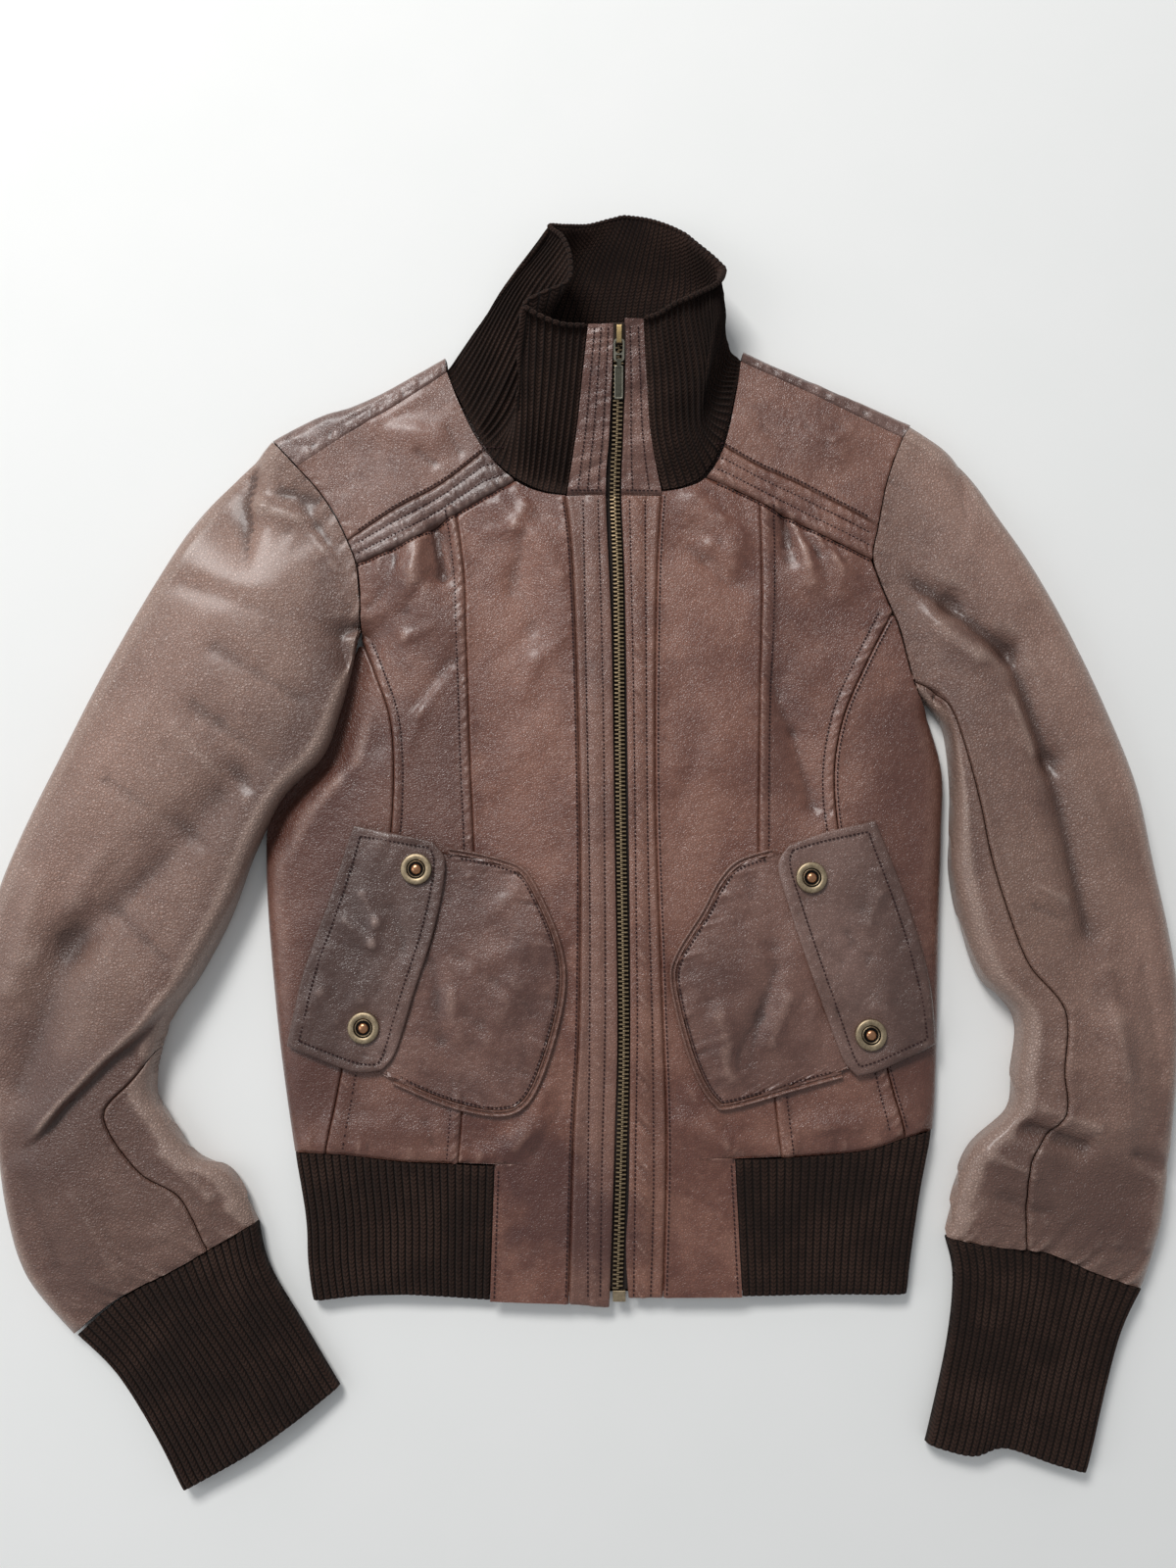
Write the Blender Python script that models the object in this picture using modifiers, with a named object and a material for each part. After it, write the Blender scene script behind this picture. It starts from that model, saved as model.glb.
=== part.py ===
"""A cropped leather jacket with a rib knit collar, cuffs and hem, laid flat on its back.

X runs across the jacket, Y from the hem to the collar and Z up from the table. The pattern below is
written in millimetres from the foot of the zip, and MM turns each vertex into metres. The empty
named jacket then carries every piece to the middle of the jacket's footprint. In the names, left is
the -X side and right the +X side.
"""

import math

import bmesh
import bpy
from mathutils import Vector

MM = 0.001

# Driving sizes
LEATHER = 1.6            # wall of a leather panel
KNIT = 2.0               # plain wall of the rib knit
RIB_HEIGHT = 0.9         # how far a rib stands out of that wall
RIB_PITCH = 4.0          # from one rib to the next
SEAM = 0.3               # gap between two pieces
LAY = 0.4                # gap under a piece that lies on another
ARMHOLE_GAP = 0.5        # a little more gap where the body's edge is hollow in plan
SLEEVE_LAY = 1.2         # gap between the body and the sleeve that lies on its edge
SIDE_EDGE = 3.6          # height of the body's outer face at its side edges
SIDE_ROUND = 14.0        # how far in from a side edge the body rounds up
PRESSED = 6.0            # height of the body where the left sleeve lies on it
NECK_Y = 477.0           # where the neck seam crosses the zip
COLLAR_SLOPE = 0.25      # rise of the collar's front for each millimetre towards its rim
TABLE_LAYER = LEATHER + SEAM
SPLINE_STEPS = 6

# Middle of the footprint, measured from the foot of the zip
HOME_X = -21.94
HOME_Y = 275.87


def clamp(value, low=0.0, high=1.0):
    return min(max(value, low), high)


def mix(a, b, t):
    return a + (b - a) * t


def ease(t):
    t = clamp(t)
    return t * t * (3.0 - 2.0 * t)


def rounded(distance, radius):
    """Height of a quarter round, from 0 at its edge to 1 where it meets the flat."""
    run = clamp(distance / radius)
    return math.sqrt(1.0 - (1.0 - run) ** 2)


def through(points, t):
    """A smooth curve through equally spaced points, at t from 0 to 1."""
    place = clamp(t) * (len(points) - 1)
    k = min(int(place), len(points) - 2)
    f = place - k
    a = points[max(k - 1, 0)]
    b = points[k]
    c = points[k + 1]
    d = points[min(k + 2, len(points) - 1)]
    return tuple(
        0.5 * (2 * q + (r - p) * f + (2 * p - 5 * q + 4 * r - s) * f * f
               + (3 * q - p - 3 * r + s) * f ** 3)
        for p, q, r, s in zip(a, b, c, d))


class Line:
    """A smooth line on the pattern, through a few points."""

    def __init__(self, *points):
        spans = len(points) - 1
        count = spans * SPLINE_STEPS
        self.points = [through(points, k / count) for k in range(count + 1)]
        self.run = [0.0]
        for a, b in zip(self.points, self.points[1:]):
            self.run.append(self.run[-1] + math.dist(a, b))

    def at(self, t):
        """The point at a share of the line's length."""
        goal = clamp(t) * self.run[-1]
        for k in range(len(self.points) - 1):
            if goal <= self.run[k + 1]:
                f = (goal - self.run[k]) / max(self.run[k + 1] - self.run[k], 1e-9)
                return tuple(mix(p, q, f) for p, q in zip(self.points[k], self.points[k + 1]))
        return self.points[-1]

    def cross(self, value, axis):
        """Where the line reaches a value of one coordinate, as the other one."""
        pairs = sorted((p[axis], p[1 - axis]) for p in self.points)
        if value <= pairs[0][0]:
            return pairs[0][1]
        for a, b in zip(pairs, pairs[1:]):
            if value <= b[0]:
                return mix(a[1], b[1], (value - a[0]) / max(b[0] - a[0], 1e-9))
        return pairs[-1][1]

    def x(self, y):
        return self.cross(y, 1)

    def y(self, x):
        return self.cross(x, 0)


# Pattern lines of the body, seen from above
SIDE_LEFT = Line((-176, -4), (-180, 20), (-182, 45), (-189, 80), (-196, 120), (-202, 160), (-209, 220),
                 (-211.5, 264), (-209, 300), (-203, 333), (-196, 352))
SIDE_RIGHT = Line((168, -4), (171, 19), (178, 57), (186.5, 96), (190.5, 148), (193.5, 211), (197, 270),
                  (198.5, 306), (191.5, 336), (184, 352))
ARMHOLE_LEFT = Line((-196, 352), (-180, 359), (-166, 371), (-157.5, 386), (-156, 404), (-156.5, 420),
                    (-158.5, 435), (-164.5, 450), (-172, 465), (-183, 481), (-196, 495), (-213.5, 513.5))
ARMHOLE_RIGHT = Line((184, 352), (178.5, 368), (172, 396), (163, 419), (157, 438), (160.5, 457),
                     (167.5, 488), (177.5, 514), (184.5, 524))
SHOULDER_SEAM_LEFT = Line((-196, 495), (-168, 515), (-140, 532), (-104.5, 556))
SHOULDER_EDGE_LEFT = Line((-213.5, 513.5), (-184, 530), (-155, 540), (-106, 568))
SHOULDER_SEAM_RIGHT = Line((177.5, 514), (150, 528), (120, 543), (78, 563))
SHOULDER_EDGE_RIGHT = Line((184.5, 524), (152, 539), (115, 555), (80, 571.5))
NECK_LEFT = Line((-104.5, 556), (-95, 532), (-81, 506), (-62, 487), (-46, 479.5), (-30, 477))
NECK_RIGHT = Line((78, 563), (75, 543), (67, 508), (56, 489), (43, 482), (28.5, 479.5))
BAND_TOP_LEFT = Line((-164, 449), (-137, 468), (-107, 485), (-81, 506))
BAND_LOW_LEFT = Line((-158.5, 434), (-128, 448), (-98, 466), (-62, 487))
BAND_TOP_RIGHT = Line((67, 508), (88, 496), (118, 482), (160.5, 459))
BAND_LOW_RIGHT = Line((56, 489), (84, 476), (118, 457), (157, 437))
PRINCESS_LEFT = Line((-92.5, 77), (-90, 115), (-86, 180), (-85, 250), (-88, 315), (-90.5, 380),
                     (-92, 420), (-95, 448), (-98, 466), (-98.6, 470))
PRINCESS_RIGHT = Line((96, 80), (91, 132), (86.5, 190), (85, 255), (86.5, 330), (88.5, 390),
                      (89.3, 422), (89.2, 450), (88.5, 474))
CURVE_LEFT = Line((-170, 83), (-158, 148), (-140, 235), (-134, 285), (-136, 335), (-147, 368),
                  (-157, 390))
CURVE_RIGHT = Line((168, 94), (155, 148), (138, 235), (131, 295), (136, 335), (150, 369), (169.5, 406))
PLACKET_LEFT = Line((-28, -2), (-25.5, 90), (-22, 160), (-21.5, 270), (-24, 380), (-27, 444), (-31, 477))
PLACKET_RIGHT = Line((26.5, 1), (29, 90), (26.5, 183), (23.5, 300), (25, 420), (28.5, 480))
ZIP_EDGE_LEFT = Line((-4.5, -2), (-1, 98), (0.5, 160), (-1, 270), (-2.5, 390), (-6, 477), (-4, 511),
                     (-2.5, 545), (-1.5, 575))
ZIP_EDGE_RIGHT = Line((6.5, 1), (5, 30), (7, 70), (8, 183), (7, 300), (5.5, 420), (3.5, 477), (4.5, 511),
                      (5.5, 545), (5, 580))
ZIP_MIDDLE = Line((0, 2), (1.5, 50), (4, 130), (4, 183), (2.5, 300), (1.5, 420), (-0.5, 477), (0.7, 511),
                  (1.5, 545), (1.7, 577))
HEM_RIB_TOP = Line((-189, 83), (-160, 82), (-125, 78), (-92.5, 76.8), (-71.5, 76.2), (0, 78), (68.5, 79.4),
                   (97, 80), (143, 84), (168, 91.5), (186, 96))
HEM_LOW = Line((-176, -1), (-130, 3), (-73.5, -0.5), (-28, -2), (-4.5, -4), (6.5, 1), (72, 2), (168, 3))
RIB_SEAM_LEFT = Line((-71.3, 77), (-72.4, 38), (-73.5, -1))
RIB_SEAM_RIGHT = Line((69, 79), (70.5, 40), (72, 2))
SLEEVE_LEFT_OVER_BODY = Line((-217, 249), (-208, 276), (-194, 295), (-176, 316), (-165, 352), (-158, 386))

# Height of the front above the table, by Y
CROWN = Line((-5, 11), (80, 12), (180, 13.5), (300, 14.5), (400, 15.5), (477, 17), (570, 17))

# Main folds: from and to on the pattern, half width and height
BODY_FOLDS = [
    (-111, 456, -107, 428, 7, -4.0),
    (-125, 448, -122, 425, 9, 3.0),
    (-130, 424, -101, 396, 14, 3.5),
    (-42, 444, -32, 400, 11, 2.5),
    (-73, 470, -54, 452, 9, 2.5),
    (-62, 425, -50, 400, 9, -1.5),
    (-139, 395, -144, 325, 10, -2.0),
    (-165, 98, -105, 94, 8, 2.0),
    (-45, 98, -66, 84, 7, 2.0),
    (38, 101, 64, 86, 7, 2.0),
    (108, 97, 170, 106, 8, 2.0),
    (46, 472, 72, 444, 9, 2.5),
    (44, 448, 78, 424, 9, -2.0),
    (102, 460, 108, 440, 7, -3.0),
    (114, 440, 119, 424, 8, 3.0),
    (136, 436, 136, 416, 8, 2.0),
    (98, 362, 118, 287, 9, -2.5),
    (122, 515, 138, 504, 8, 2.0),
    (-147, 520, -112, 514, 9, 2.0),
]
SLEEVE_LEFT_FOLDS = [
    (-236, 494, -222, 472, 8, 3.0),
    (-222, 472, -198, 464, 8, 3.0),
    (-214, 492, -196, 484, 10, -3.0),
    (-225, 300, -318, 205, 14, -5.0),
    (-318, 205, -343, 126, 14, -5.0),
    (-290, 330, -345, 240, 20, 2.5),
    (-330, 75, -300, 20, 12, 2.0),
]
SLEEVE_RIGHT_FOLDS = [
    (180, 425, 202, 409, 8, -4.0),
    (202, 409, 235, 379, 8, -4.5),
    (235, 379, 258, 311, 8, -4.0),
    (258, 311, 276, 211, 9, -4.0),
    (186, 398, 215, 375, 7, 3.0),
    (236, 98, 268, 88, 6, -4.0),
    (262, 78, 298, 62, 12, -3.0),
    (300, 84, 322, 76, 5, -2.5),
    (289, 158, 293, 104, 9, 3.0),
]
# The left elbow's overlap: the edge line of the upper fold, its step and its softness
ELBOW_EDGE = ((-258, 172), (-338, 92))
ELBOW_STEP = 6.0
ELBOW_SOFT = 5.0


def folds(x, y, marks):
    """Soft ridges and troughs, each a bell across the line that it follows."""
    total = 0.0
    for x0, y0, x1, y1, width, height in marks:
        dx, dy = x1 - x0, y1 - y0
        t = clamp(((x - x0) * dx + (y - y0) * dy) / (dx * dx + dy * dy))
        off = (x - x0 - t * dx) ** 2 + (y - y0 - t * dy) ** 2
        if off < 9.0 * width * width:
            total += height * math.exp(-off / (width * width))
    return total


def body_height(x, y):
    """Height of the front's outer face: flat edges, a soft crown and the main folds."""
    crown = CROWN.y(y)
    inside = min(x - SIDE_LEFT.x(y), SIDE_RIGHT.x(y) - x) + 2.0 * SIDE_ROUND * ease((y - 338.0) / 40.0)
    rise = rounded(inside, SIDE_ROUND)
    height = SIDE_EDGE + (crown + folds(x, y, BODY_FOLDS) - SIDE_EDGE) * rise
    under = ease((SLEEVE_LEFT_OVER_BODY.x(y) + 24.0 - x) / 24.0)
    under *= ease((y - 245.0) / 25.0) * ease((403.0 - y) / 14.0)
    return mix(height, min(height, PRESSED), under)


def front_height(x, y):
    """The body's front, carried on up the slope of the collar's front."""
    if y <= NECK_Y:
        return body_height(x, y)
    return body_height(x, NECK_Y) + COLLAR_SLOPE * (y - NECK_Y)


def lean(height, x, y):
    """How much longer a level wall is, measured straight down, where the surface slopes."""
    step = 1.0
    sx = (height(x + step, y) - height(x - step, y)) / (2 * step)
    sy = (height(x, y + step) - height(x, y - step)) / (2 * step)
    return min(math.sqrt(1.0 + sx * sx + sy * sy), 1.6)


# Making solids

parts = bpy.data.collections.new("worn_leather_jacket")
bpy.data.collections.new("cutters")


def clear_scene():
    for thing in list(bpy.data.objects):
        bpy.data.objects.remove(thing, do_unlink=True)


def finish(name, colour, roughness, metallic=0.0):
    """A plain material with the piece's own colour."""
    material = bpy.data.materials.new(name)
    material.use_nodes = True
    shader = material.node_tree.nodes["Principled BSDF"]
    shader.inputs["Base Color"].default_value = (*colour, 1.0)
    shader.inputs["Roughness"].default_value = roughness
    shader.inputs["Metallic"].default_value = metallic
    material.diffuse_color = (*colour, 1.0)
    return material


LOOKS = {
    "leather": ((0.165, 0.092, 0.075), 0.42, 0.0),
    "grey_leather": ((0.115, 0.082, 0.074), 0.38, 0.0),
    "knit": ((0.032, 0.017, 0.012), 0.9, 0.0),
    "tape": ((0.025, 0.016, 0.014), 0.85, 0.0),
    "brass": ((0.36, 0.24, 0.11), 0.38, 1.0),
}


def add(name, mesh, look, home):
    """One named object for a piece, with its own material, carried by the jacket's empty."""
    thing = bpy.data.objects.new(name, mesh)
    colour, roughness, metallic = LOOKS[look]
    mesh.materials.clear()
    mesh.materials.append(finish(name, colour, roughness, metallic))
    parts.objects.link(thing)
    thing.parent = home
    return thing


def wall(name, look, home, patches):
    """A wall between an outer and an inner skin.

    Each patch is (columns, rows, place), and place(u, v) gives the outer and the inner point for u
    and v from 0 to 1. A grid is laid for each patch, patches that meet are joined, and the sheet is
    drawn out to its inner skin.
    """
    mesh = bmesh.new()
    tag = mesh.verts.layers.int.new("place")
    inner = []
    for columns, rows, place in patches:
        grid = bmesh.ops.create_grid(mesh, x_segments=columns, y_segments=rows, size=1.0)
        for vertex in grid["verts"]:
            u = round((vertex.co.x + 1.0) / 2.0 * columns) / columns
            v = round((vertex.co.y + 1.0) / 2.0 * rows) / rows
            out, back = place(u, v)
            vertex.co = Vector(out) * MM
            vertex[tag] = len(inner)
            inner.append(Vector(back) * MM)
    bmesh.ops.remove_doubles(mesh, verts=mesh.verts[:], dist=0.00001)
    drawn = bmesh.ops.extrude_face_region(mesh, geom=mesh.faces[:])
    for vertex in drawn["geom"]:
        if isinstance(vertex, bmesh.types.BMVert):
            vertex.co = inner[vertex[tag]]
    bmesh.ops.recalc_face_normals(mesh, faces=mesh.faces[:])
    if mesh.calc_volume(signed=True) < 0.0:
        bmesh.ops.reverse_faces(mesh, faces=mesh.faces[:])
    data = bpy.data.meshes.new(name)
    mesh.to_mesh(data)
    mesh.free()
    data.shade_smooth()
    data.set_sharp_from_angle(angle=math.radians(40))
    return add(name, data, look, home)


def evenly(start, end, steps):
    return [mix(start, end, k / steps) for k in range(steps + 1)]


def over_edge(edge, radius):
    """Places close together round a folded edge."""
    before = [edge - radius * (1.0 - math.cos(math.radians(angle))) for angle in (90, 55, 25)]
    return before + [edge] + [2 * edge - place for place in before[:0:-1]]


# Body panels, each between two seams that run up the jacket


def cut_between(left, right, low, high, steps_up, gap_low=SEAM / 2, gap_high=SEAM / 2, step_at=None):
    """Where a panel's point lies on the pattern, for u across and v up.

    left and right give X for a Y, low and high give Y for an X. step_at is a Y where a side of the
    panel steps out, so that two rows are put close to each other there.
    """

    def across(u, y):
        return mix(left(y) + SEAM / 2, right(y) - SEAM / 2, u)

    def meet(u, edge, gap):
        y = edge(across(u, NECK_Y / 2))
        for _ in range(14):
            y = edge(across(u, y)) + gap
        return y

    def spot(u, v):
        bottom = meet(u, low, gap_low)
        top = meet(u, high, -gap_high)
        if step_at is None:
            y = mix(bottom, top, v)
        else:
            below = 3.0 / steps_up
            ledge = 4.0 / steps_up
            if v <= below + 1e-6:
                y = mix(bottom, step_at - 0.3, v / below)
            else:
                y = mix(step_at + 0.3, top, (v - ledge) / (1.0 - ledge))
        return across(u, y), y

    return spot


def body_wall(spot, height=body_height, lift=0.0, thick=LEATHER, floor=TABLE_LAYER):
    """Outer and inner points of a wall that follows the front."""

    def place(u, v):
        x, y = spot(u, v)
        top = height(x, y) + lift
        drop = thick * lean(height, x, y)
        return (x, y, top), (x, y, max(top - drop, floor))

    return place


def coons(bottom, top, left, right, inset=SEAM / 2):
    """A pattern piece between four lines. bottom and top run left to right, the sides run up."""

    def spot(u, v):
        width = max(math.dist(left.at(v), right.at(v)), 1.0)
        tall = max(math.dist(bottom.at(u), top.at(u)), 1.0)
        u = mix(inset / width, 1.0 - inset / width, u)
        v = mix(inset / tall, 1.0 - inset / tall, v)
        b, t, l, r = bottom.at(u), top.at(u), left.at(v), right.at(v)
        c = (bottom.at(0), bottom.at(1), top.at(0), top.at(1))
        return tuple(
            mix(b[k], t[k], v) + mix(l[k], r[k], u)
            - mix(mix(c[0][k], c[1][k], u), mix(c[2][k], c[3][k], u), v)
            for k in (0, 1))

    return spot


def part_of(line, start, end):
    """The stretch of a line between two shares of its length."""
    return Line(*[line.at(mix(start, end, k / 4)) for k in range(5)])


def share(line, point):
    """How far along a line its nearest point to this one lies, from 0 to 1."""
    steps = 1500
    return min((math.dist(line.at(k / steps), point), k / steps) for k in range(steps + 1))[1]


def front_panels(home):
    def stepped(above, below, level):
        return lambda y: above.x(y) if y > level else below.x(y)

    def neck_and_band(neck, band, corner):
        def edge(x):
            on_neck = x > corner if corner < 0 else x < corner
            return neck.y(x) if on_neck else band.y(x)
        return edge

    rows = 17
    spot = cut_between(stepped(PRINCESS_LEFT, RIB_SEAM_LEFT, 77.2), PLACKET_LEFT.x, HEM_LOW.y,
                       neck_and_band(NECK_LEFT, BAND_LOW_LEFT, -62.0), rows, step_at=77.2)
    wall("front_centre_left", "leather", home, [(5, rows, body_wall(spot))])
    spot = cut_between(PLACKET_RIGHT.x, stepped(PRINCESS_RIGHT, RIB_SEAM_RIGHT, 80.3), HEM_LOW.y,
                       neck_and_band(NECK_RIGHT, BAND_LOW_RIGHT, 56.0), rows, step_at=80.3)
    wall("front_centre_right", "leather", home, [(5, rows, body_wall(spot))])

    def middle_left(y):
        return ARMHOLE_LEFT.x(y) + ARMHOLE_GAP if y > 389.0 else CURVE_LEFT.x(y)

    def middle_right(y):
        return ARMHOLE_RIGHT.x(y) - ARMHOLE_GAP if y > 405.0 else CURVE_RIGHT.x(y)

    def at_levels(spot, levels):
        """The same cut, with its rows at chosen shares of its height."""
        return lambda u, v: spot(u, levels[round(v * (len(levels) - 1))])

    side_rows = 12
    meets_side = 0.861
    levels = [meets_side * k / side_rows for k in range(side_rows + 1)] + [0.93, 1.0]
    spot = at_levels(cut_between(middle_left, PRINCESS_LEFT.x, HEM_RIB_TOP.y, BAND_LOW_LEFT.y, 14), levels)
    wall("front_middle_left", "leather", home, [(5, 14, body_wall(spot))])
    meets_side = 0.899
    levels = [meets_side * k / side_rows for k in range(side_rows + 1)] + [1.0]
    spot = at_levels(cut_between(PRINCESS_RIGHT.x, middle_right, HEM_RIB_TOP.y, BAND_LOW_RIGHT.y, 13), levels)
    wall("front_middle_right", "leather", home, [(5, 13, body_wall(spot))])

    def side_left(y):
        return ARMHOLE_LEFT.x(y) if y > 352.0 else SIDE_LEFT.x(y)

    def side_right(y):
        return ARMHOLE_RIGHT.x(y) - ARMHOLE_GAP if y > 352.0 else SIDE_RIGHT.x(y)

    def rolled(spot, left_edge):
        """Columns bunched towards the side edge, where the panel rounds down."""
        columns = (0.0, 0.03, 0.12, 0.3, 0.6, 1.0)

        def place(u, v):
            share_in = columns[round((u if left_edge else 1.0 - u) * 5)]
            return spot(share_in if left_edge else 1.0 - share_in, v)
        return place

    spot = cut_between(side_left, lambda y: CURVE_LEFT.x(y) - SEAM, HEM_RIB_TOP.y, lambda x: 385.0,
                       side_rows)
    wall("front_side_left", "leather", home, [(5, side_rows, body_wall(rolled(spot, True)))])
    spot = cut_between(lambda y: CURVE_RIGHT.x(y) + SEAM, side_right, HEM_RIB_TOP.y, lambda x: 402.0,
                       side_rows)
    wall("front_side_right", "leather", home, [(5, side_rows, body_wall(rolled(spot, False)))])


def plackets(home):
    low = HEM_LOW.y
    spot = cut_between(PLACKET_LEFT.x, ZIP_EDGE_LEFT.x, low, lambda x: NECK_Y - 0.3, 18)
    wall("placket_left", "leather", home, [(2, 18, body_wall(spot))])
    spot = cut_between(ZIP_EDGE_RIGHT.x, PLACKET_RIGHT.x, low, lambda x: NECK_Y - 0.3, 18)
    wall("placket_right", "leather", home, [(2, 18, body_wall(spot))])


def yokes(home):
    arm_low = share(ARMHOLE_LEFT, (-164, 449))
    arm_high = share(ARMHOLE_LEFT, (-196, 495))
    neck_band = share(NECK_LEFT, (-81, 506))
    top = SHOULDER_SEAM_LEFT
    spot = coons(BAND_TOP_LEFT, top, part_of(ARMHOLE_LEFT, arm_low, arm_high),
                 part_of(NECK_LEFT, neck_band, 0.0))
    wall("front_yoke_left", "leather", home, [(6, 6, body_wall(spot))])
    side = part_of(ARMHOLE_LEFT, share(ARMHOLE_LEFT, (-158.5, 434)), arm_low)
    neck = part_of(NECK_LEFT, share(NECK_LEFT, (-62, 487)), neck_band)
    spot = coons(BAND_LOW_LEFT, BAND_TOP_LEFT, side, neck)
    wall("yoke_band_left", "grey_leather", home, [(8, 2, body_wall(spot))])

    arm_low = share(ARMHOLE_RIGHT, (160.5, 457))
    arm_high = share(ARMHOLE_RIGHT, (177.5, 514))
    neck_band = share(NECK_RIGHT, (67, 508))
    top = part_of(SHOULDER_SEAM_RIGHT, 1.0, 0.0)
    spot = coons(BAND_TOP_RIGHT, top, part_of(NECK_RIGHT, neck_band, 0.0),
                 part_of(ARMHOLE_RIGHT, arm_low, arm_high))
    wall("front_yoke_right", "leather", home, [(6, 5, body_wall(spot))])
    side = part_of(ARMHOLE_RIGHT, share(ARMHOLE_RIGHT, (157, 437)), arm_low)
    neck = part_of(NECK_RIGHT, share(NECK_RIGHT, (56, 489)), neck_band)
    spot = coons(BAND_LOW_RIGHT, BAND_TOP_RIGHT, neck, side)
    wall("yoke_band_right", "grey_leather", home, [(8, 2, body_wall(spot))])


# The back lies flat on the table

BACK_SEAM_Y = 462.0
NECK_BACK = Line((-94, 562), (-66, 558), (-13, 554), (40, 557), (68, 562))


def back(home):
    def left(y):
        return (ARMHOLE_LEFT.x(y) if y > 352.0 else SIDE_LEFT.x(y)) + 1.0

    def right(y):
        return (ARMHOLE_RIGHT.x(y) if y > 352.0 else SIDE_RIGHT.x(y)) - 1.0

    spot = cut_between(left, right, HEM_RIB_TOP.y, lambda x: BACK_SEAM_Y, 14)

    def place(u, v):
        x, y = spot(u, v)
        return (x, y, 0.0), (x, y, LEATHER)

    wall("back_panel", "leather", home, [(2, 14, place)])


def back_yoke(home):
    """The flat yoke and its two turns over the shoulders, in one sheet."""
    arm_left = part_of(ARMHOLE_LEFT, share(ARMHOLE_LEFT, (-171, 463)), 1.0)
    arm_right = part_of(ARMHOLE_RIGHT, share(ARMHOLE_RIGHT, (162, 463)), 1.0)
    turns = {
        "left": (SHOULDER_SEAM_LEFT, SHOULDER_EDGE_LEFT),
        "right": (part_of(SHOULDER_SEAM_RIGHT, 1.0, 0.0), part_of(SHOULDER_EDGE_RIGHT, 1.0, 0.0)),
    }

    def turn_point(side, u, angle, inset):
        """A point of the shoulder's turn, from 90 degrees on top to -90 on the table."""
        seam_line, edge_line = turns[side]
        share_in = mix(0.004, 0.996, u)
        seam, edge = seam_line.at(share_in), edge_line.at(share_in)
        width = math.dist(seam, edge)
        out = ((edge[0] - seam[0]) / width, (edge[1] - seam[1]) / width)
        top = body_height(*seam)
        radius = min(top / 2, width * 0.55)
        reach = width - radius + (radius - inset) * math.cos(math.radians(angle))
        reach = reach if angle < 90 else 0.8 * SEAM
        z = top / 2 + (top / 2 - inset) * math.sin(math.radians(angle))
        return (seam[0] + out[0] * reach, seam[1] + out[1] * reach, z)

    angles = (90, 89.9, 60, 30, 0, -30, -60, -90)

    def turn(side):
        def place(u, v):
            angle = angles[round(v * (len(angles) - 1))]
            return turn_point(side, u, angle, 0.0), turn_point(side, u, angle, LEATHER)
        return place

    shoulder = 5

    def top_edge(u):
        if u <= 1 / 3 + 1e-6:
            return turn_point("left", u * 3, -90, 0.0)[:2]
        if u >= 2 / 3 - 1e-6:
            return turn_point("right", u * 3 - 2, -90, 0.0)[:2]
        start = turn_point("left", 1.0, -90, 0.0)
        end = turn_point("right", 0.0, -90, 0.0)
        t = u * 3 - 1
        x = mix(start[0], end[0], t)
        dip = math.sin(math.pi * t) ** 0.35
        return x, mix(mix(start[1], end[1], t), NECK_BACK.y(x) - 2.0, dip)

    def flat(u, v):
        x0 = mix(arm_left.at(0)[0] + 1.2, arm_right.at(0)[0] - 1.2, u)
        x1, y1 = top_edge(u)
        bow = math.sin(math.pi * v)
        x = mix(x0, x1, v)
        y = mix(BACK_SEAM_Y + 0.3, y1, v)
        if u < 1e-6 and 0.0 < v < 1.0:
            x = mix(x, ARMHOLE_LEFT.x(y) + 1.2, bow)
        if u > 1.0 - 1e-6 and 0.0 < v < 1.0:
            x = mix(x, ARMHOLE_RIGHT.x(y) - 1.2, bow)
        return (x, y, 0.0), (x, y, LEATHER)

    wall("back_yoke", "grey_leather", home, [
        (3 * shoulder, 3, flat),
        (shoulder, len(angles) - 1, turn("left")),
        (shoulder, len(angles) - 1, turn("right")),
    ])


# Sleeves

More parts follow.
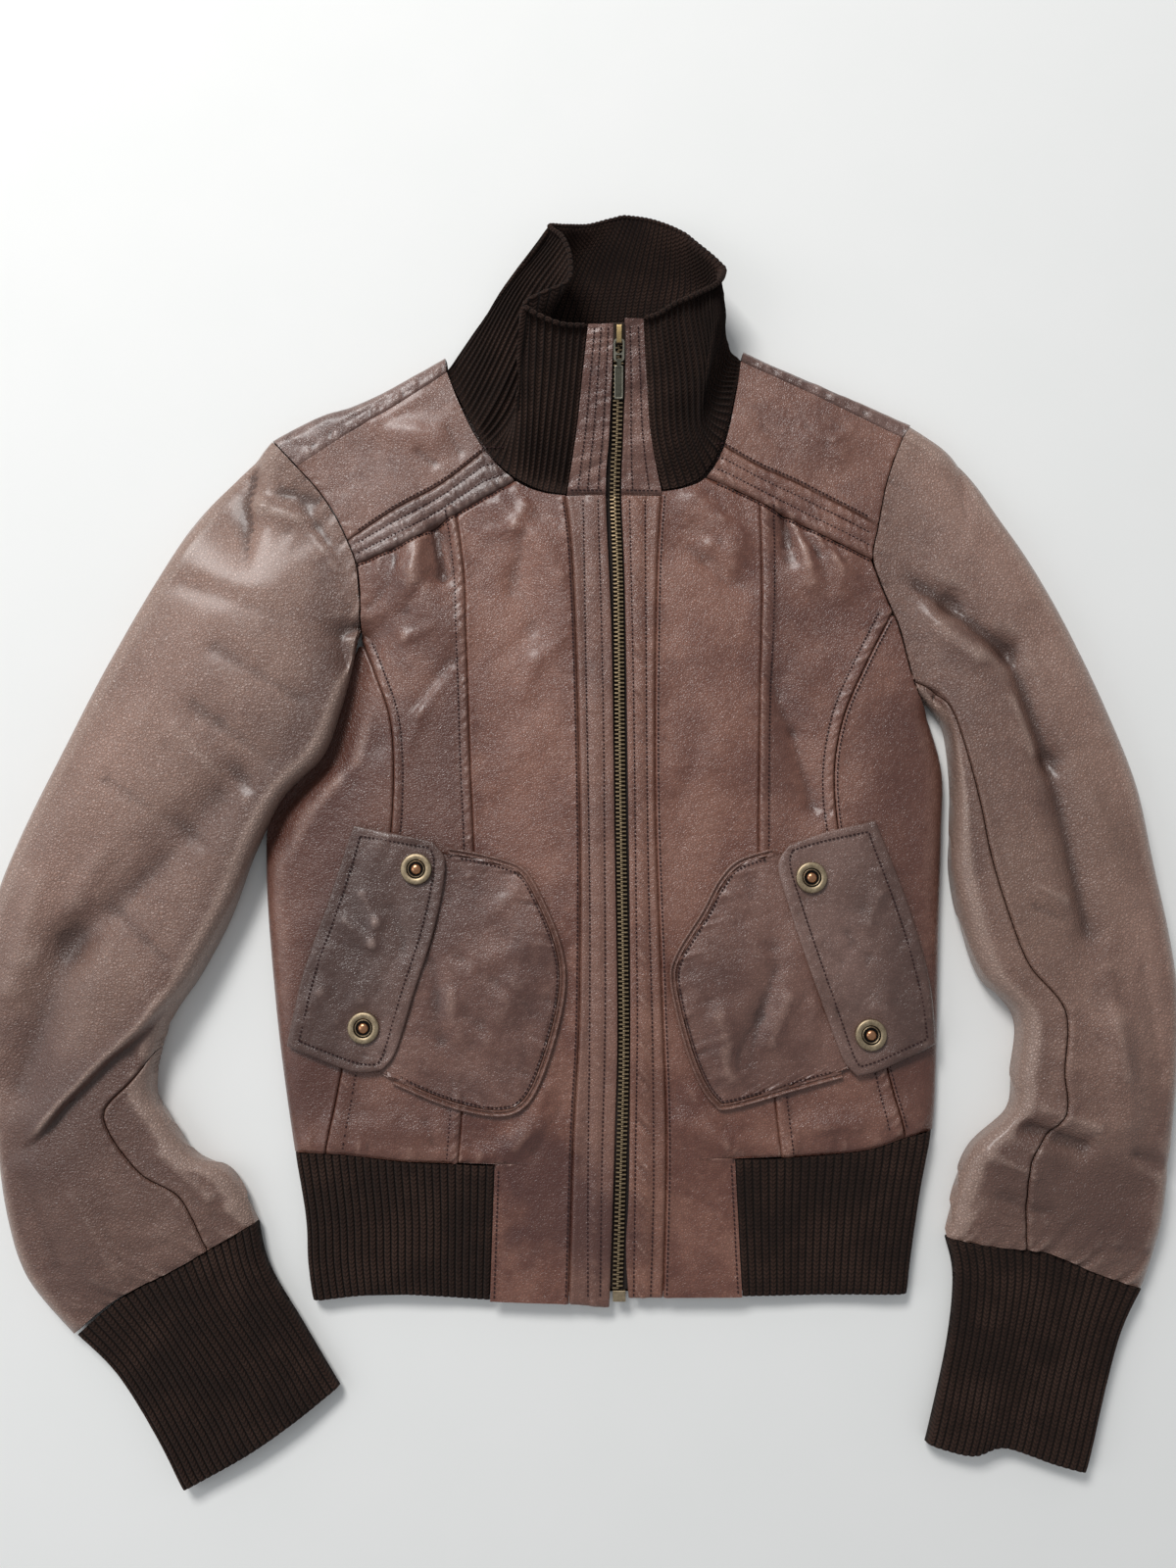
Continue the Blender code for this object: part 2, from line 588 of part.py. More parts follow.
SLEEVE_ROUND = 9.0
SLEEVES = {
    "left": {
        "pairs": [  # outer edge, then inner edge
            ((-213.5, 513.5), (-158, 386)), ((-250, 475), (-160.5, 369)), ((-280, 427), (-166, 345)),
            ((-309, 371), (-176, 316)), ((-336, 312), (-199, 291)), ((-357, 262), (-214, 259)),
            ((-371, 218), (-227, 225)), ((-375, 182), (-246, 187)), ((-372, 148), (-264, 158)),
            ((-366, 114), (-271, 122)), ((-360, 80), (-262, 104)), ((-353, 45), (-246, 83)),
            ((-341, 12), (-224, 72)), ((-314, -20), (-209, 44))],
        "armhole": Line((-158, 386), (-156, 404), (-156.5, 420), (-158.5, 435), (-164.5, 450),
                        (-172, 465), (-183, 481), (-196, 495), (-213.5, 513.5)),
        "cuff_seam": Line((-209, 44), (-230, 32), (-254, 18), (-287, 1), (-312, -20)),
        "heights": Line((0, 18), (0.12, 24), (0.3, 29), (0.6, 29), (0.75, 25), (0.9, 20), (1, 14)),
        "front_seam": Line((0, -8), (0.55, -8), (0.66, 4), (0.74, 30), (0.86, 30), (1, 32)),
        "folds": SLEEVE_LEFT_FOLDS,
    },
    "right": {
        "pairs": [
            ((184.5, 524), (184, 352)), ((212, 502), (193, 344)), ((234, 468), (200, 331)),
            ((255, 434), (202, 312)), ((276, 393), (202, 290)), ((296, 346), (200.5, 268)),
            ((312, 300), (199.5, 245)), ((320, 255), (205, 214)), ((327, 215), (215, 185)),
            ((331, 175), (235, 161)), ((329, 135), (232, 129)), ((325, 103), (229, 108)),
            ((320, 68), (206, 87)), ((315, 40), (196.5, 64)), ((304, 6), (191, 35))],
        "armhole": Line((184, 352), (178.5, 368), (172, 396), (163, 419), (157, 438), (160.5, 457),
                        (167.5, 488), (177.5, 514), (184.5, 524)),
        "cuff_seam": Line((191, 35), (220, 30), (248, 27), (275, 16), (304, 6)),
        "heights": Line((0, 18), (0.12, 23), (0.3, 27), (0.6, 26), (0.8, 24), (0.92, 20), (1, 14)),
        "front_seam": Line((0, 9), (0.2, 17), (0.4, 24), (0.55, 27), (0.7, 26), (0.85, 33), (1, 46)),
        "folds": SLEEVE_RIGHT_FOLDS,
    },
}
BACK_SEAM_IN = 0.7       # share of the width where the sleeve's other seam lies, on the table
SLEEVE_SEAM = 0.5        # gap along the sleeve's own seams
SEAM_UNDER = -8.0        # the left sleeve's seam is turned under the edge by this much
SEAM_OVER = 13.0         # from here on a seam lies on the sleeve's top
UNDERARM_EASE = 0.004    # the sleeve starts a little later at the underarm
SLEEVE_START = 0.002
SLEEVE_END = 0.9993


def sleeve_plan(spec, u, s):
    """A point of the sleeve seen from above: u from armhole to cuff, s from inner to outer edge."""
    outer = through([pair[0] for pair in spec["pairs"]], u)
    inner = through([pair[1] for pair in spec["pairs"]], u)
    near = (1.0 - u) ** 3
    far = u ** 4
    arm, cuff = spec["armhole"], spec["cuff_seam"]
    a, b = arm.at(s), cuff.at(s)
    return tuple(
        mix(inner[k], outer[k], s)
        + near * (a[k] - mix(arm.points[0][k], arm.points[-1][k], s))
        + far * (b[k] - mix(cuff.points[0][k], cuff.points[-1][k], s))
        for k in (0, 1))


def elbow_overlap(x, y):
    """The upper arm's cloth hangs over the forearm along a slanting edge."""
    (x0, y0), (x1, y1) = ELBOW_EDGE
    length = math.dist(*ELBOW_EDGE)
    along = ((x - x0) * (x1 - x0) + (y - y0) * (y1 - y0)) / length
    off = ((x - x0) * (y1 - y0) - (y - y0) * (x1 - x0)) / length
    ends = ease((along + 8.0) / 20.0) * ease((length + 8.0 - along) / 30.0)
    upper = ease(0.5 + off / (2 * ELBOW_SOFT))
    fade = math.exp(-max(off, 0.0) / 28.0) if off > 0 else math.exp(off / 14.0)
    return ELBOW_STEP * ends * fade * (2.0 * upper - 1.0) * 0.5


def sleeve_floor(side, x, y):
    """What the sleeve lies on: the table, or the body's edge under the left sleeve."""
    if side == "right" or y > 400.0:
        return 0.0
    edge = ARMHOLE_LEFT.x(y) if y > 352.0 else SIDE_LEFT.x(y)
    reach = ease((400.0 - y) / 14.0) * ease((y - 190.0) / 40.0)
    if x >= edge:
        return (max(body_height(x, y), PRESSED) + SLEEVE_LAY) * (reach if y > 386.0 else 1.0)
    return ease(1.0 - (edge - x - 4.0) / 26.0) * (PRESSED + SLEEVE_LAY) * reach


def sleeve_point(side, u, r, inset):
    """A point of the sleeve. r runs round it in millimetres, from the inner edge over the top."""
    spec = SLEEVES[side]
    width = math.dist(sleeve_plan(spec, u, 0.0), sleeve_plan(spec, u, 1.0))
    on_top = 0.0 <= r <= width
    s = clamp((-r if r < 0 else r if r <= width else 2 * width - r) / width)
    radius = SLEEVE_ROUND
    edge = rounded(min(s, 1.0 - s) * width, radius)
    x, y = sleeve_plan(spec, u, (inset + s * (width - 2 * inset)) / width)
    floor = sleeve_floor(side, x, y)
    crown = spec["heights"].y(u) * (0.86 + 0.14 * (1.0 - (2 * s - 1.0) ** 2))
    crown += folds(x, y, spec["folds"])
    if side == "left":
        crown += elbow_overlap(x, y)
    at_seam = (1.0 - ease(u / 0.14)) * ease(s / 0.06)
    crown = mix(crown, body_height(x, y), at_seam)
    crown = max(crown, floor + 9.0)
    waist = floor + min(0.45 * (crown - floor), 8.5)
    if on_top:
        return x, y, waist + (crown - inset - waist) * edge
    return x, y, waist - (waist - floor - inset) * edge


def sleeves(home):
    rows = 17
    for side, spec in SLEEVES.items():
        def around(u, kind):
            """Places round the sleeve from one seam to the other, with its folded edges among them."""
            width = math.dist(sleeve_plan(spec, u, 0.0), sleeve_plan(spec, u, 1.0))
            seam = spec["front_seam"].y(u)
            on_top = clamp((seam - SEAM_UNDER) / (SEAM_OVER - SEAM_UNDER))
            far = max(seam, SEAM_OVER)
            near = min(seam, SEAM_UNDER)
            if kind == "upper":
                open_top = evenly(far, width - SLEEVE_ROUND, 7)[:-1]
                turned = [near, -3.0, 2.0] + evenly(SLEEVE_ROUND, width - SLEEVE_ROUND, 4)[:-1]
                marks = [mix(a, b, on_top) for a, b in zip(turned, open_top)]
                marks[0] = seam + SLEEVE_SEAM / 2
                marks += over_edge(width, SLEEVE_ROUND)
                end = width * (2.0 - BACK_SEAM_IN) - SLEEVE_SEAM / 2
                return marks + evenly(width + SLEEVE_ROUND, end, 2)
            start = SLEEVE_SEAM / 2 - width * BACK_SEAM_IN
            end = seam - SLEEVE_SEAM / 2
            flat = evenly(start, near, 10)
            turned = evenly(start, -SLEEVE_ROUND, 4) + [-4.0, 0.0, 2.0] + evenly(SLEEVE_ROUND, far, 2)
            marks = [mix(a, b, on_top) for a, b in zip(flat, turned)]
            return [start + (m - start) * (end - start) / (marks[-1] - start) for m in marks]

        for kind in ("upper", "under"):
            count = len(around(0.9, kind)) - 1

            def place(a, b):
                u = mix(SLEEVE_START, SLEEVE_END, b)
                r = around(u, kind)[round(a * count)]
                s = clamp(abs(r) / math.dist(sleeve_plan(spec, u, 0.0), sleeve_plan(spec, u, 1.0)))
                u += UNDERARM_EASE * (1.0 - b) * (1.0 - s)
                return sleeve_point(side, u, r, 0.0), sleeve_point(side, u, r, LEATHER)

            wall(f"sleeve_{kind}_{side}", "leather", home, [(count, rows, place)])


# Rib knit

CUFF_HEIGHT = 11.5
CUFF_ROUND = 5.0
HEM_ROUND = 6.0
CUFFS = {
    "left": {
        "seam": Line((-209, 44), (-230, 32), (-254, 18), (-287, 1), (-312, -20)),
        "mouth": Line((-159.5, -48), (-185, -67.5), (-212, -85.5), (-248, -105)),
        "inner": Line((-159.5, -48), (-181.5, -13.5), (-202, 19), (-209, 44)),
        "outer": Line((-248, -105), (-264, -76), (-288, -42), (-312, -20)),
    },
    "right": {
        "seam": Line((191, 35), (220, 30), (248, 27), (275, 16), (304, 6)),
        "mouth": Line((176, -79), (201, -85), (220, -81), (248, -90), (268, -95)),
        "inner": Line((176, -79), (190, -25), (195, 13), (191, 35)),
        "outer": Line((268, -95), (282, -46), (292, -16), (304, 6)),
    },
}


def cuff_point(plan, v, r, inset):
    """A point of a cuff. r runs round it from the inner edge, over the top and back below."""
    width = math.dist(plan(0.0, v), plan(1.0, v))
    on_top = 0.0 <= r <= width
    s = clamp((-r if r < 0 else r if r <= width else 2 * width - r) / width)
    edge = rounded(min(s, 1.0 - s) * width, CUFF_ROUND)
    x, y = plan((inset + s * (width - 2 * inset)) / width, v)
    waist = 0.45 * CUFF_HEIGHT
    if on_top:
        return x, y, waist + (CUFF_HEIGHT - inset - waist) * edge
    return x, y, waist - (waist - max(inset, 0.0)) * edge


def cuffs(home):
    for side, lines in CUFFS.items():
        plan = coons(lines["mouth"], lines["seam"], lines["inner"], lines["outer"], inset=0.25)
        middle = math.dist(plan(0.0, 0.5), plan(1.0, 0.5))
        ribs = round(middle / RIB_PITCH)
        across = 2 * ribs
        below = (0.02, 0.05, 0.3, 0.7, 0.95, 0.98)
        shares = [k / across for k in range(across + 1)] + [2.0 - t for t in reversed(below)]
        shares.append(2.0)
        columns = len(shares) - 1

        def place(u, v):
            width = math.dist(plan(0.0, v), plan(1.0, v))
            k = round(u * columns)
            r = shares[k] * width
            if k == columns:
                r = 0.0
            raised = RIB_HEIGHT if k < across and k % 2 else 0.0
            return cuff_point(plan, v, r, -raised), cuff_point(plan, v, r, KNIT)

        wall(f"cuff_{side}", "knit", home, [(columns, 2, place)])


BACK_HEM_LOW = Line((-176, -1), (0, 2), (168, 3))


def hem_band(home):
    """The hem's rib band: from one front seam round the side, flat below the back, to the other."""

    def ends(v):
        y = mix(0.0, 80.0, v)
        return (SIDE_LEFT.x(y), SIDE_RIGHT.x(y + 8.0 * v), RIB_SEAM_LEFT.x(y) - SEAM,
                RIB_SEAM_RIGHT.x(y) + SEAM)

    left, right, seam_left, seam_right = ends(0.5)
    ribs_left = round((seam_left - left) / RIB_PITCH)
    ribs_right = round((right - seam_right) / RIB_PITCH)
    marks = [("left", 1.0 - k / (2 * ribs_left), k % 2) for k in range(2 * ribs_left + 1)]
    marks += [("back", t, 0) for t in (0.008, 0.02, 0.1, 0.3, 0.5, 0.7, 0.9, 0.98, 0.992)]
    marks += [("right", 1.0 - k / (2 * ribs_right), k % 2) for k in range(2 * ribs_right + 1)]
    columns = len(marks) - 1

    def point(mark, v, inset):
        face, share_in, _ = mark
        left, right, seam_left, seam_right = ends(v)
        if face == "left":
            x = mix(left, seam_left, share_in)
        elif face == "right":
            x = mix(seam_right, right, share_in)
        else:
            x = mix(left, right, share_in)
        edge = rounded(min(x - left, right - x), HEM_ROUND)
        low = (BACK_HEM_LOW if face == "back" else HEM_LOW).y(x) + 0.3
        y = mix(low, HEM_RIB_TOP.y(x) - SEAM, v)
        crown = CROWN.y(y) - 0.6 - 1.2 * (1.0 - ease(v / 0.1))
        waist = 0.45 * crown
        x = mix(left + inset, right - inset, (x - left) / (right - left))
        if face == "back":
            return x, y, waist - (waist - max(inset, 0.0)) * edge
        return x, y, waist + (crown - inset - waist) * edge

    def place(u, v):
        mark = marks[round(u * columns)]
        raised = RIB_HEIGHT * mark[2]
        return point(mark, v, -raised), point(mark, v, KNIT)

    wall("hem_rib", "knit", home, [(columns, 1, place)])


# Rings of the stand collar's outer face, from the front left edge round the back to the right
COLLAR_RINGS = [
    [(-30, 477.6, 17.2), (-45.8, 480.4, 17), (-61.4, 488, 16.8), (-72.2, 497, 16.4), (-80, 507, 15.8),
     (-86.8, 519.6, 15), (-95, 535.4, 13.5), (-105, 560, 9), (-94, 564, 2), (-66, 559.5, 0.6),
     (-13, 555.5, 0.4), (40, 558.5, 0.6), (67, 564, 2), (79, 567, 9), (75, 545.6, 13.5),
     (67.2, 514.4, 15.8), (55.2, 491.8, 16.8), (42.6, 483.4, 17), (28.5, 480.3, 17.2)],
    [(-24, 513.5, 26), (-41, 513.5, 27), (-58, 521, 27), (-61, 527, 22), (-62, 534, 17),
     (-75, 543, 17), (-85, 556, 16), (-91, 580, 11), (-79, 594, 4), (-51, 594.5, 2.5),
     (-9.5, 592.5, 2), (33, 594.5, 2.5), (58.5, 588, 5), (71.5, 574, 12), (61, 547, 20),
     (56, 523, 26), (45, 513, 28), (32.5, 510.5, 27), (21.5, 511, 26)],
    [(-20, 548.5, 35), (-37, 546.5, 36), (-57, 554, 36), (-52, 566, 31), (-45, 579, 26),
     (-50, 592, 24), (-60, 603, 22), (-68, 613, 17), (-51, 621, 9), (-35.5, 625, 6.5),
     (-1.5, 627, 6), (37, 624, 8), (60, 614, 15), (69, 595.5, 24), (63.5, 570, 34),
     (55, 552, 37), (42, 547.5, 37), (30, 546, 36), (18.5, 546, 35)],
    [(-17, 574, 42), (-35, 574, 44), (-55, 584, 45), (-44, 593, 43), (-29, 602, 40),
     (-28, 619, 38), (-33, 633, 36), (-40.5, 643, 32), (-31, 647, 25), (-17, 650, 20),
     (11, 656, 18), (38, 646, 21), (56, 630, 29), (66, 612, 37), (61, 599.5, 43),
     (48, 592, 45), (36, 586, 45), (25.5, 579.5, 43.5), (16.5, 577, 42.5)],
]
COLLAR_ROWS = 3


def collar_surface(u, v):
    return Vector(through([through(ring, u) for ring in COLLAR_RINGS], v))


def collar_point(u, v, out):
    """A point of the collar, moved out along its surface's own direction."""
    step = 0.004
    along = collar_surface(min(u + step, 1.0), v) - collar_surface(max(u - step, 0.0), v)
    up = collar_surface(u, min(v + step, 1.0)) - collar_surface(u, max(v - step, 0.0))
    normal = up.cross(along).normalized()
    return collar_surface(u, v) + normal * out


def collar(home):
    samples = 400
    run = [0.0]
    for k in range(samples):
        a, b = collar_surface(k / samples, 0.4), collar_surface((k + 1) / samples, 0.4)
        run.append(run[-1] + (b - a).length)
    ribs = round(run[-1] / RIB_PITCH)
    columns = 2 * ribs
    places = []
    k = 0
    for column in range(columns + 1):
        goal = mix(0.002, 0.998, column / columns) * run[-1]
        while run[k + 1] < goal:
            k += 1
        places.append((k + (goal - run[k]) / (run[k + 1] - run[k])) / samples)

    def place(u, v):
        column = round(u * columns)
        here = places[column]
        v = mix(0.004, 1.0, v)
        clear = ease((collar_surface(here, v).z - 3.0) / 4.0)
        raised = RIB_HEIGHT * clear * (column % 2) * ease(v / 0.2)
        outer = collar_point(here, v, raised)
        inner = collar_point(here, v, -KNIT - raised)
        outer.z = max(outer.z, 0.0)
        return tuple(outer), tuple(inner)

    wall("collar_rib", "knit", home, [(columns, COLLAR_ROWS, place)])


def collar_strips(home):
    left = Line((-30, 477), (-24, 513.5), (-20, 548.5), (-17, 574))
    right = Line((28.5, 478), (21.5, 511), (18.5, 546), (16.5, 577))
    spot = cut_between(left.x, ZIP_EDGE_LEFT.x, lambda x: NECK_Y + SEAM, lambda x: 574.5, 6)
    wall("collar_strip_left", "leather", home, [(2, 6, body_wall(spot, front_height))])
    spot = cut_between(ZIP_EDGE_RIGHT.x, right.x, lambda x: NECK_Y + SEAM, lambda x: 577.5, 6)
    wall("collar_strip_right", "leather", home, [(2, 6, body_wall(spot, front_height))])


# Pockets lie on the front, and their flaps on the pockets

FLAP_THICK = 1.8
POCKET_LAY = 0.8         # gap under a pocket
PIPING_WIDTH = 4.2
POCKETS = {
    "left": {
        "edge": Line((-131, 122.5), (-102, 110.5), (-74, 104), (-56.5, 107), (-45, 122), (-34, 155),
                     (-29.5, 184), (-34, 209), (-46.5, 237), (-55, 249), (-66, 254), (-84, 258.5),
                     (-99, 261)),
        "under_flap": Line((-184, 146), (-177, 190), (-167, 230), (-157, 268)),
        "puff": (-84, 178),
        "flap": {
            "bottom": Line((-193, 145), (-176, 138), (-153, 130), (-137, 131)),
            "top": Line((-156.5, 274), (-133, 269.5), (-109, 264.5)),
            "left": Line((-193, 145), (-184, 189), (-171, 228), (-156.5, 274)),
            "right": Line((-137, 131), (-129, 142), (-119, 175), (-109, 207), (-103, 235), (-102, 254),
                          (-109, 264.5)),
        },
        "snaps": ((-118.5, 248), (-148, 155.5)),
    },
    "right": {
        "edge": Line((132, 126), (108, 119.5), (66, 108), (56, 111), (47, 124), (38.5, 147),
                     (31, 181), (34, 198), (49.5, 223), (60, 242), (72, 254), (92, 260.5)),
        "under_flap": Line((175, 146), (172, 182), (163, 226), (148, 270)),
        "puff": (82, 180),
        "flap": {
            "bottom": Line((140, 127.5), (154, 131), (172, 139), (187, 146)),
            "top": Line((102, 262), (122.5, 269.5), (154, 277)),
            "left": Line((140, 127.5), (132, 137), (123, 161), (110.5, 197), (101.5, 226), (95.5, 250),
                         (102, 262)),
            "right": Line((187, 146), (185, 175), (177.5, 209), (168.5, 238), (154, 277)),
        },
        "snaps": ((115, 243), (148, 151.5)),
    },
}
POCKET_PUFF = 3.5
POCKET_PUFF_REACH = 36.0
POCKET_FOLDS = [
    (-75, 150, -60, 178, 9, 1.6),
    (-66, 225, -50, 205, 8, 1.5),
    (92, 200, 74, 140, 9, -2.0),
    (60, 160, 66, 128, 7, 1.8),
    (-178, 170, -168, 200, 7, 1.2),
]


def pocket_height(x, y):
    """Height of a pocket's outer face."""
    puff = 0.0
    for spec in POCKETS.values():
        cx, cy = spec["puff"]
        puff += POCKET_PUFF * math.exp(-((x - cx) ** 2 + (y - cy) ** 2) / POCKET_PUFF_REACH ** 2)
    return body_height(x, y) + POCKET_LAY + LEATHER + puff + folds(x, y, POCKET_FOLDS)


def flap_height(x, y):
    return pocket_height(x, y) + LAY + FLAP_THICK * 1.3


def beside(spec, t, distance):
    """A point of a pocket's edge, moved in towards the middle of the pocket."""
    edge = spec["edge"]
    a, b = edge.at(max(t - 0.012, 0.0)), edge.at(min(t + 0.012, 1.0))
    length = math.dist(a, b)
    turn = 1.0 if edge.at(0)[0] < 0 else -1.0
    x, y = edge.at(t)
    return x - turn * (b[1] - a[1]) / length * distance, y + turn * (b[0] - a[0]) / length * distance


def pockets(home):
    rows = 18
    for side, spec in POCKETS.items():

        def bag(u, v):
            a, b = spec["under_flap"].at(v), beside(spec, v, PIPING_WIDTH + 0.4)
            x, y = mix(a[0], b[0], u), mix(a[1], b[1], u)
            top = pocket_height(x, y)
            floor = body_height(x, y) + POCKET_LAY
            return (x, y, top), (x, y, max(top - LEATHER * lean(pocket_height, x, y), floor))

        wall(f"pocket_{side}", "leather", home, [(6, rows, bag)])

        def piping(u, v):
            x, y = beside(spec, v, PIPING_WIDTH * u)
            low = body_height(x, y) + POCKET_LAY
            return (x, y, low + (1.5, 2.6, 2.0)[round(u * 2)]), (x, y, low)

        wall(f"pocket_piping_{side}", "leather", home, [(2, rows, piping)])

        lines = spec["flap"]
        plan = coons(lines["bottom"], lines["top"], lines["left"], lines["right"], inset=0.0)

        def flap(u, v):
            x, y = plan(u, v)
            return (x, y, flap_height(x, y)), (x, y, pocket_height(x, y) + LAY)

        wall(f"pocket_flap_{side}", "grey_leather", home, [(6, 8, flap)])


SNAP_PROFILE = [(0.0, 2.4), (1.9, 2.0), (3.2, 1.0), (4.3, 1.8), (5.6, 2.1), (8.0, 1.9), (9.2, 1.1),
                (9.2, 0.0), (0.0, 0.0)]
SNAP_RADIUS = 9.2
SNAP_STEPS = 16


def snaps(home):
    """Ring snaps, turned about their own axis and set square on the flaps."""
    for side, spec in POCKETS.items():
        for k, (x, y) in enumerate(spec["snaps"]):
            name = f"snap_{'upper' if k == 0 else 'lower'}_{side}"
            mesh = bmesh.new()
            points = [mesh.verts.new((r * MM, 0.0, z * MM)) for r, z in SNAP_PROFILE]
            for a, b in zip(points, points[1:]):
                mesh.edges.new((a, b))
            data = bpy.data.meshes.new(name)
            mesh.to_mesh(data)
            mesh.free()
            thing = add(name, data, "brass", home)
            turn = thing.modifiers.new("turn", "SCREW")
            turn.steps = SNAP_STEPS
            turn.render_steps = SNAP_STEPS
            turn.use_merge_vertices = True
            turn.merge_threshold = 0.00005
            turn.use_smooth_shade = True
            step = SNAP_RADIUS * 0.7
            slope_x = (flap_height(x + step, y) - flap_height(x - step, y)) / (2 * step)
            slope_y = (flap_height(x, y + step) - flap_height(x, y - step)) / (2 * step)
            normal = Vector((-slope_x, -slope_y, 1.0)).normalized()
            middle = Vector((x, y, flap_height(x, y)))
            clear = 0.0
            for angle in range(0, 360, 15):
                for reach in (0.5, 0.8, 1.0):
                    px = x + SNAP_RADIUS * reach * math.cos(math.radians(angle))
                    py = y + SNAP_RADIUS * reach * math.sin(math.radians(angle))
                    clear = max(clear, (Vector((px, py, flap_height(px, py))) - middle).dot(normal))
            thing.rotation_mode = "QUATERNION"
            thing.rotation_quaternion = Vector((0, 0, 1)).rotation_difference(normal)
            thing.location = (middle + normal * (clear + SEAM)) * MM


# The zip

TAPE = 0.8
TAPE_DROP = 0.7          # from the leather's inner face down to the tape
TAPE_REACH = 12.0        # how far the tape runs from the zip's middle
TEETH_HALF = 2.3         # half the width of the closed teeth
TEETH_START = 6.0
ZIP_TOP = 574.0


def zip_tapes(home):
    levels = [mix(TEETH_START, NECK_Y, k / 9) for k in range(10)]
    levels += [mix(NECK_Y, ZIP_TOP, k / 3) for k in range(1, 4)]
    for side, way in (("left", -1.0), ("right", 1.0)):
        offsets = (TAPE_REACH, TEETH_HALF + 0.25, TEETH_HALF, 0.2)

        def place(u, v):
            k = round(u * 3)
            y = levels[round(v * (len(levels) - 1))]
            x = ZIP_MIDDLE.x(y) + way * offsets[k]
            tape = front_height(x, y) - LEATHER * lean(front_height, x, y) - TAPE_DROP
            top = tape if k < 2 else front_height(x, y) - 0.3
            return (x, y, top), (x, y, tape - TAPE)

        wall(f"zip_tape_{side}", "tape", home, [(3, len(levels) - 1, place)])


def block(name, look, home, size, place, bevel):
    """A small metal block with rounded edges."""
    mesh = bmesh.new()
    bmesh.ops.create_cube(mesh, size=1.0)
    for vertex in mesh.verts:
        vertex.co = Vector([vertex.co[k] * size[k] * MM for k in range(3)])
    data = bpy.data.meshes.new(name)
    mesh.to_mesh(data)
    mesh.free()
    thing = add(name, data, look, home)
    thing.location = Vector(place) * MM
    edge = thing.modifiers.new("edge", "BEVEL")
    edge.width = bevel * MM
    edge.segments = 2
    return thing


def round_rect(centre, size, radius, steps=4):
    """Points of a rectangle with round corners."""
    points = []
    for corner in range(4):
        sx = 1 if corner in (0, 3) else -1
        sy = 1 if corner < 2 else -1
        cx = centre[0] + sx * (size[0] / 2 - radius)
        cy = centre[1] + sy * (size[1] / 2 - radius)
        for k in range(steps + 1):
            angle = math.radians(90 * corner + 90 * k / steps)
            points.append((cx + radius * math.cos(angle), cy + radius * math.sin(angle)))
    return points


def plate(name, look, home, outlines, thick):
    """A flat outline with its holes, as a solid of a given thickness."""
    curve = bpy.data.curves.new(name, "CURVE")
    curve.dimensions = "2D"
    curve.fill_mode = "BOTH"
    curve.extrude = thick / 2 * MM
    for outline in outlines:
        spline = curve.splines.new("POLY")
        spline.points.add(len(outline) - 1)
        spline.use_cyclic_u = True
        for point, (x, y) in zip(spline.points, outline):
            point.co = (x * MM, y * MM, 0.0, 1.0)
    maker = bpy.data.objects.new(name + "_outline", curve)
    parts.objects.link(maker)
    graph = bpy.context.evaluated_depsgraph_get()
    data = bpy.data.meshes.new_from_object(maker.evaluated_get(graph))
    mesh = bmesh.new()
    mesh.from_mesh(data)
    bmesh.ops.remove_doubles(mesh, verts=mesh.verts[:], dist=0.000001)
    bmesh.ops.recalc_face_normals(mesh, faces=mesh.faces[:])
    mesh.to_mesh(data)
    mesh.free()
    bpy.data.objects.remove(maker, do_unlink=True)
    bpy.data.curves.remove(curve)
    data.name = name
    return add(name, data, look, home)


SLIDER_Y = 569.0
SLIDER_X = 1.7
SLIDER_SIZE = (7.0, 12.0, 1.4)
SLIDER_GAP = 0.45        # under the slider's top plate
BRIDGE_WIDTH = 2.6
BRIDGE_BACK = 5.4
BRIDGE_FRONT = -7.0
BRIDGE_TOP = 4.3
EYE_FRONT = -5.7
EYE_BACK = -1.6
EYE_LOW = 1.9
EYE_TOP = 3.4
LINK_AXIS = (-3.65, 2.65)     # along the zip and above the leather
LINK_DROOP = 2.5
LINK_WIDTH = 6.6
LINK_LENGTH = 13.3
LINK_THICK = 0.8
LINK_BAR = 0.9
TAB_AXIS = 12.4          # from the link's axis to the tab's
TAB_WIDTH = 5.4
TAB_LENGTH = 19.4
TAB_THICK = 1.4
TAB_START = 2.9          # from the tab's axis to its plate
NECK_WIDTH = 2.4
NECK_ROUND = 1.3
PIN_HOLE = 0.72


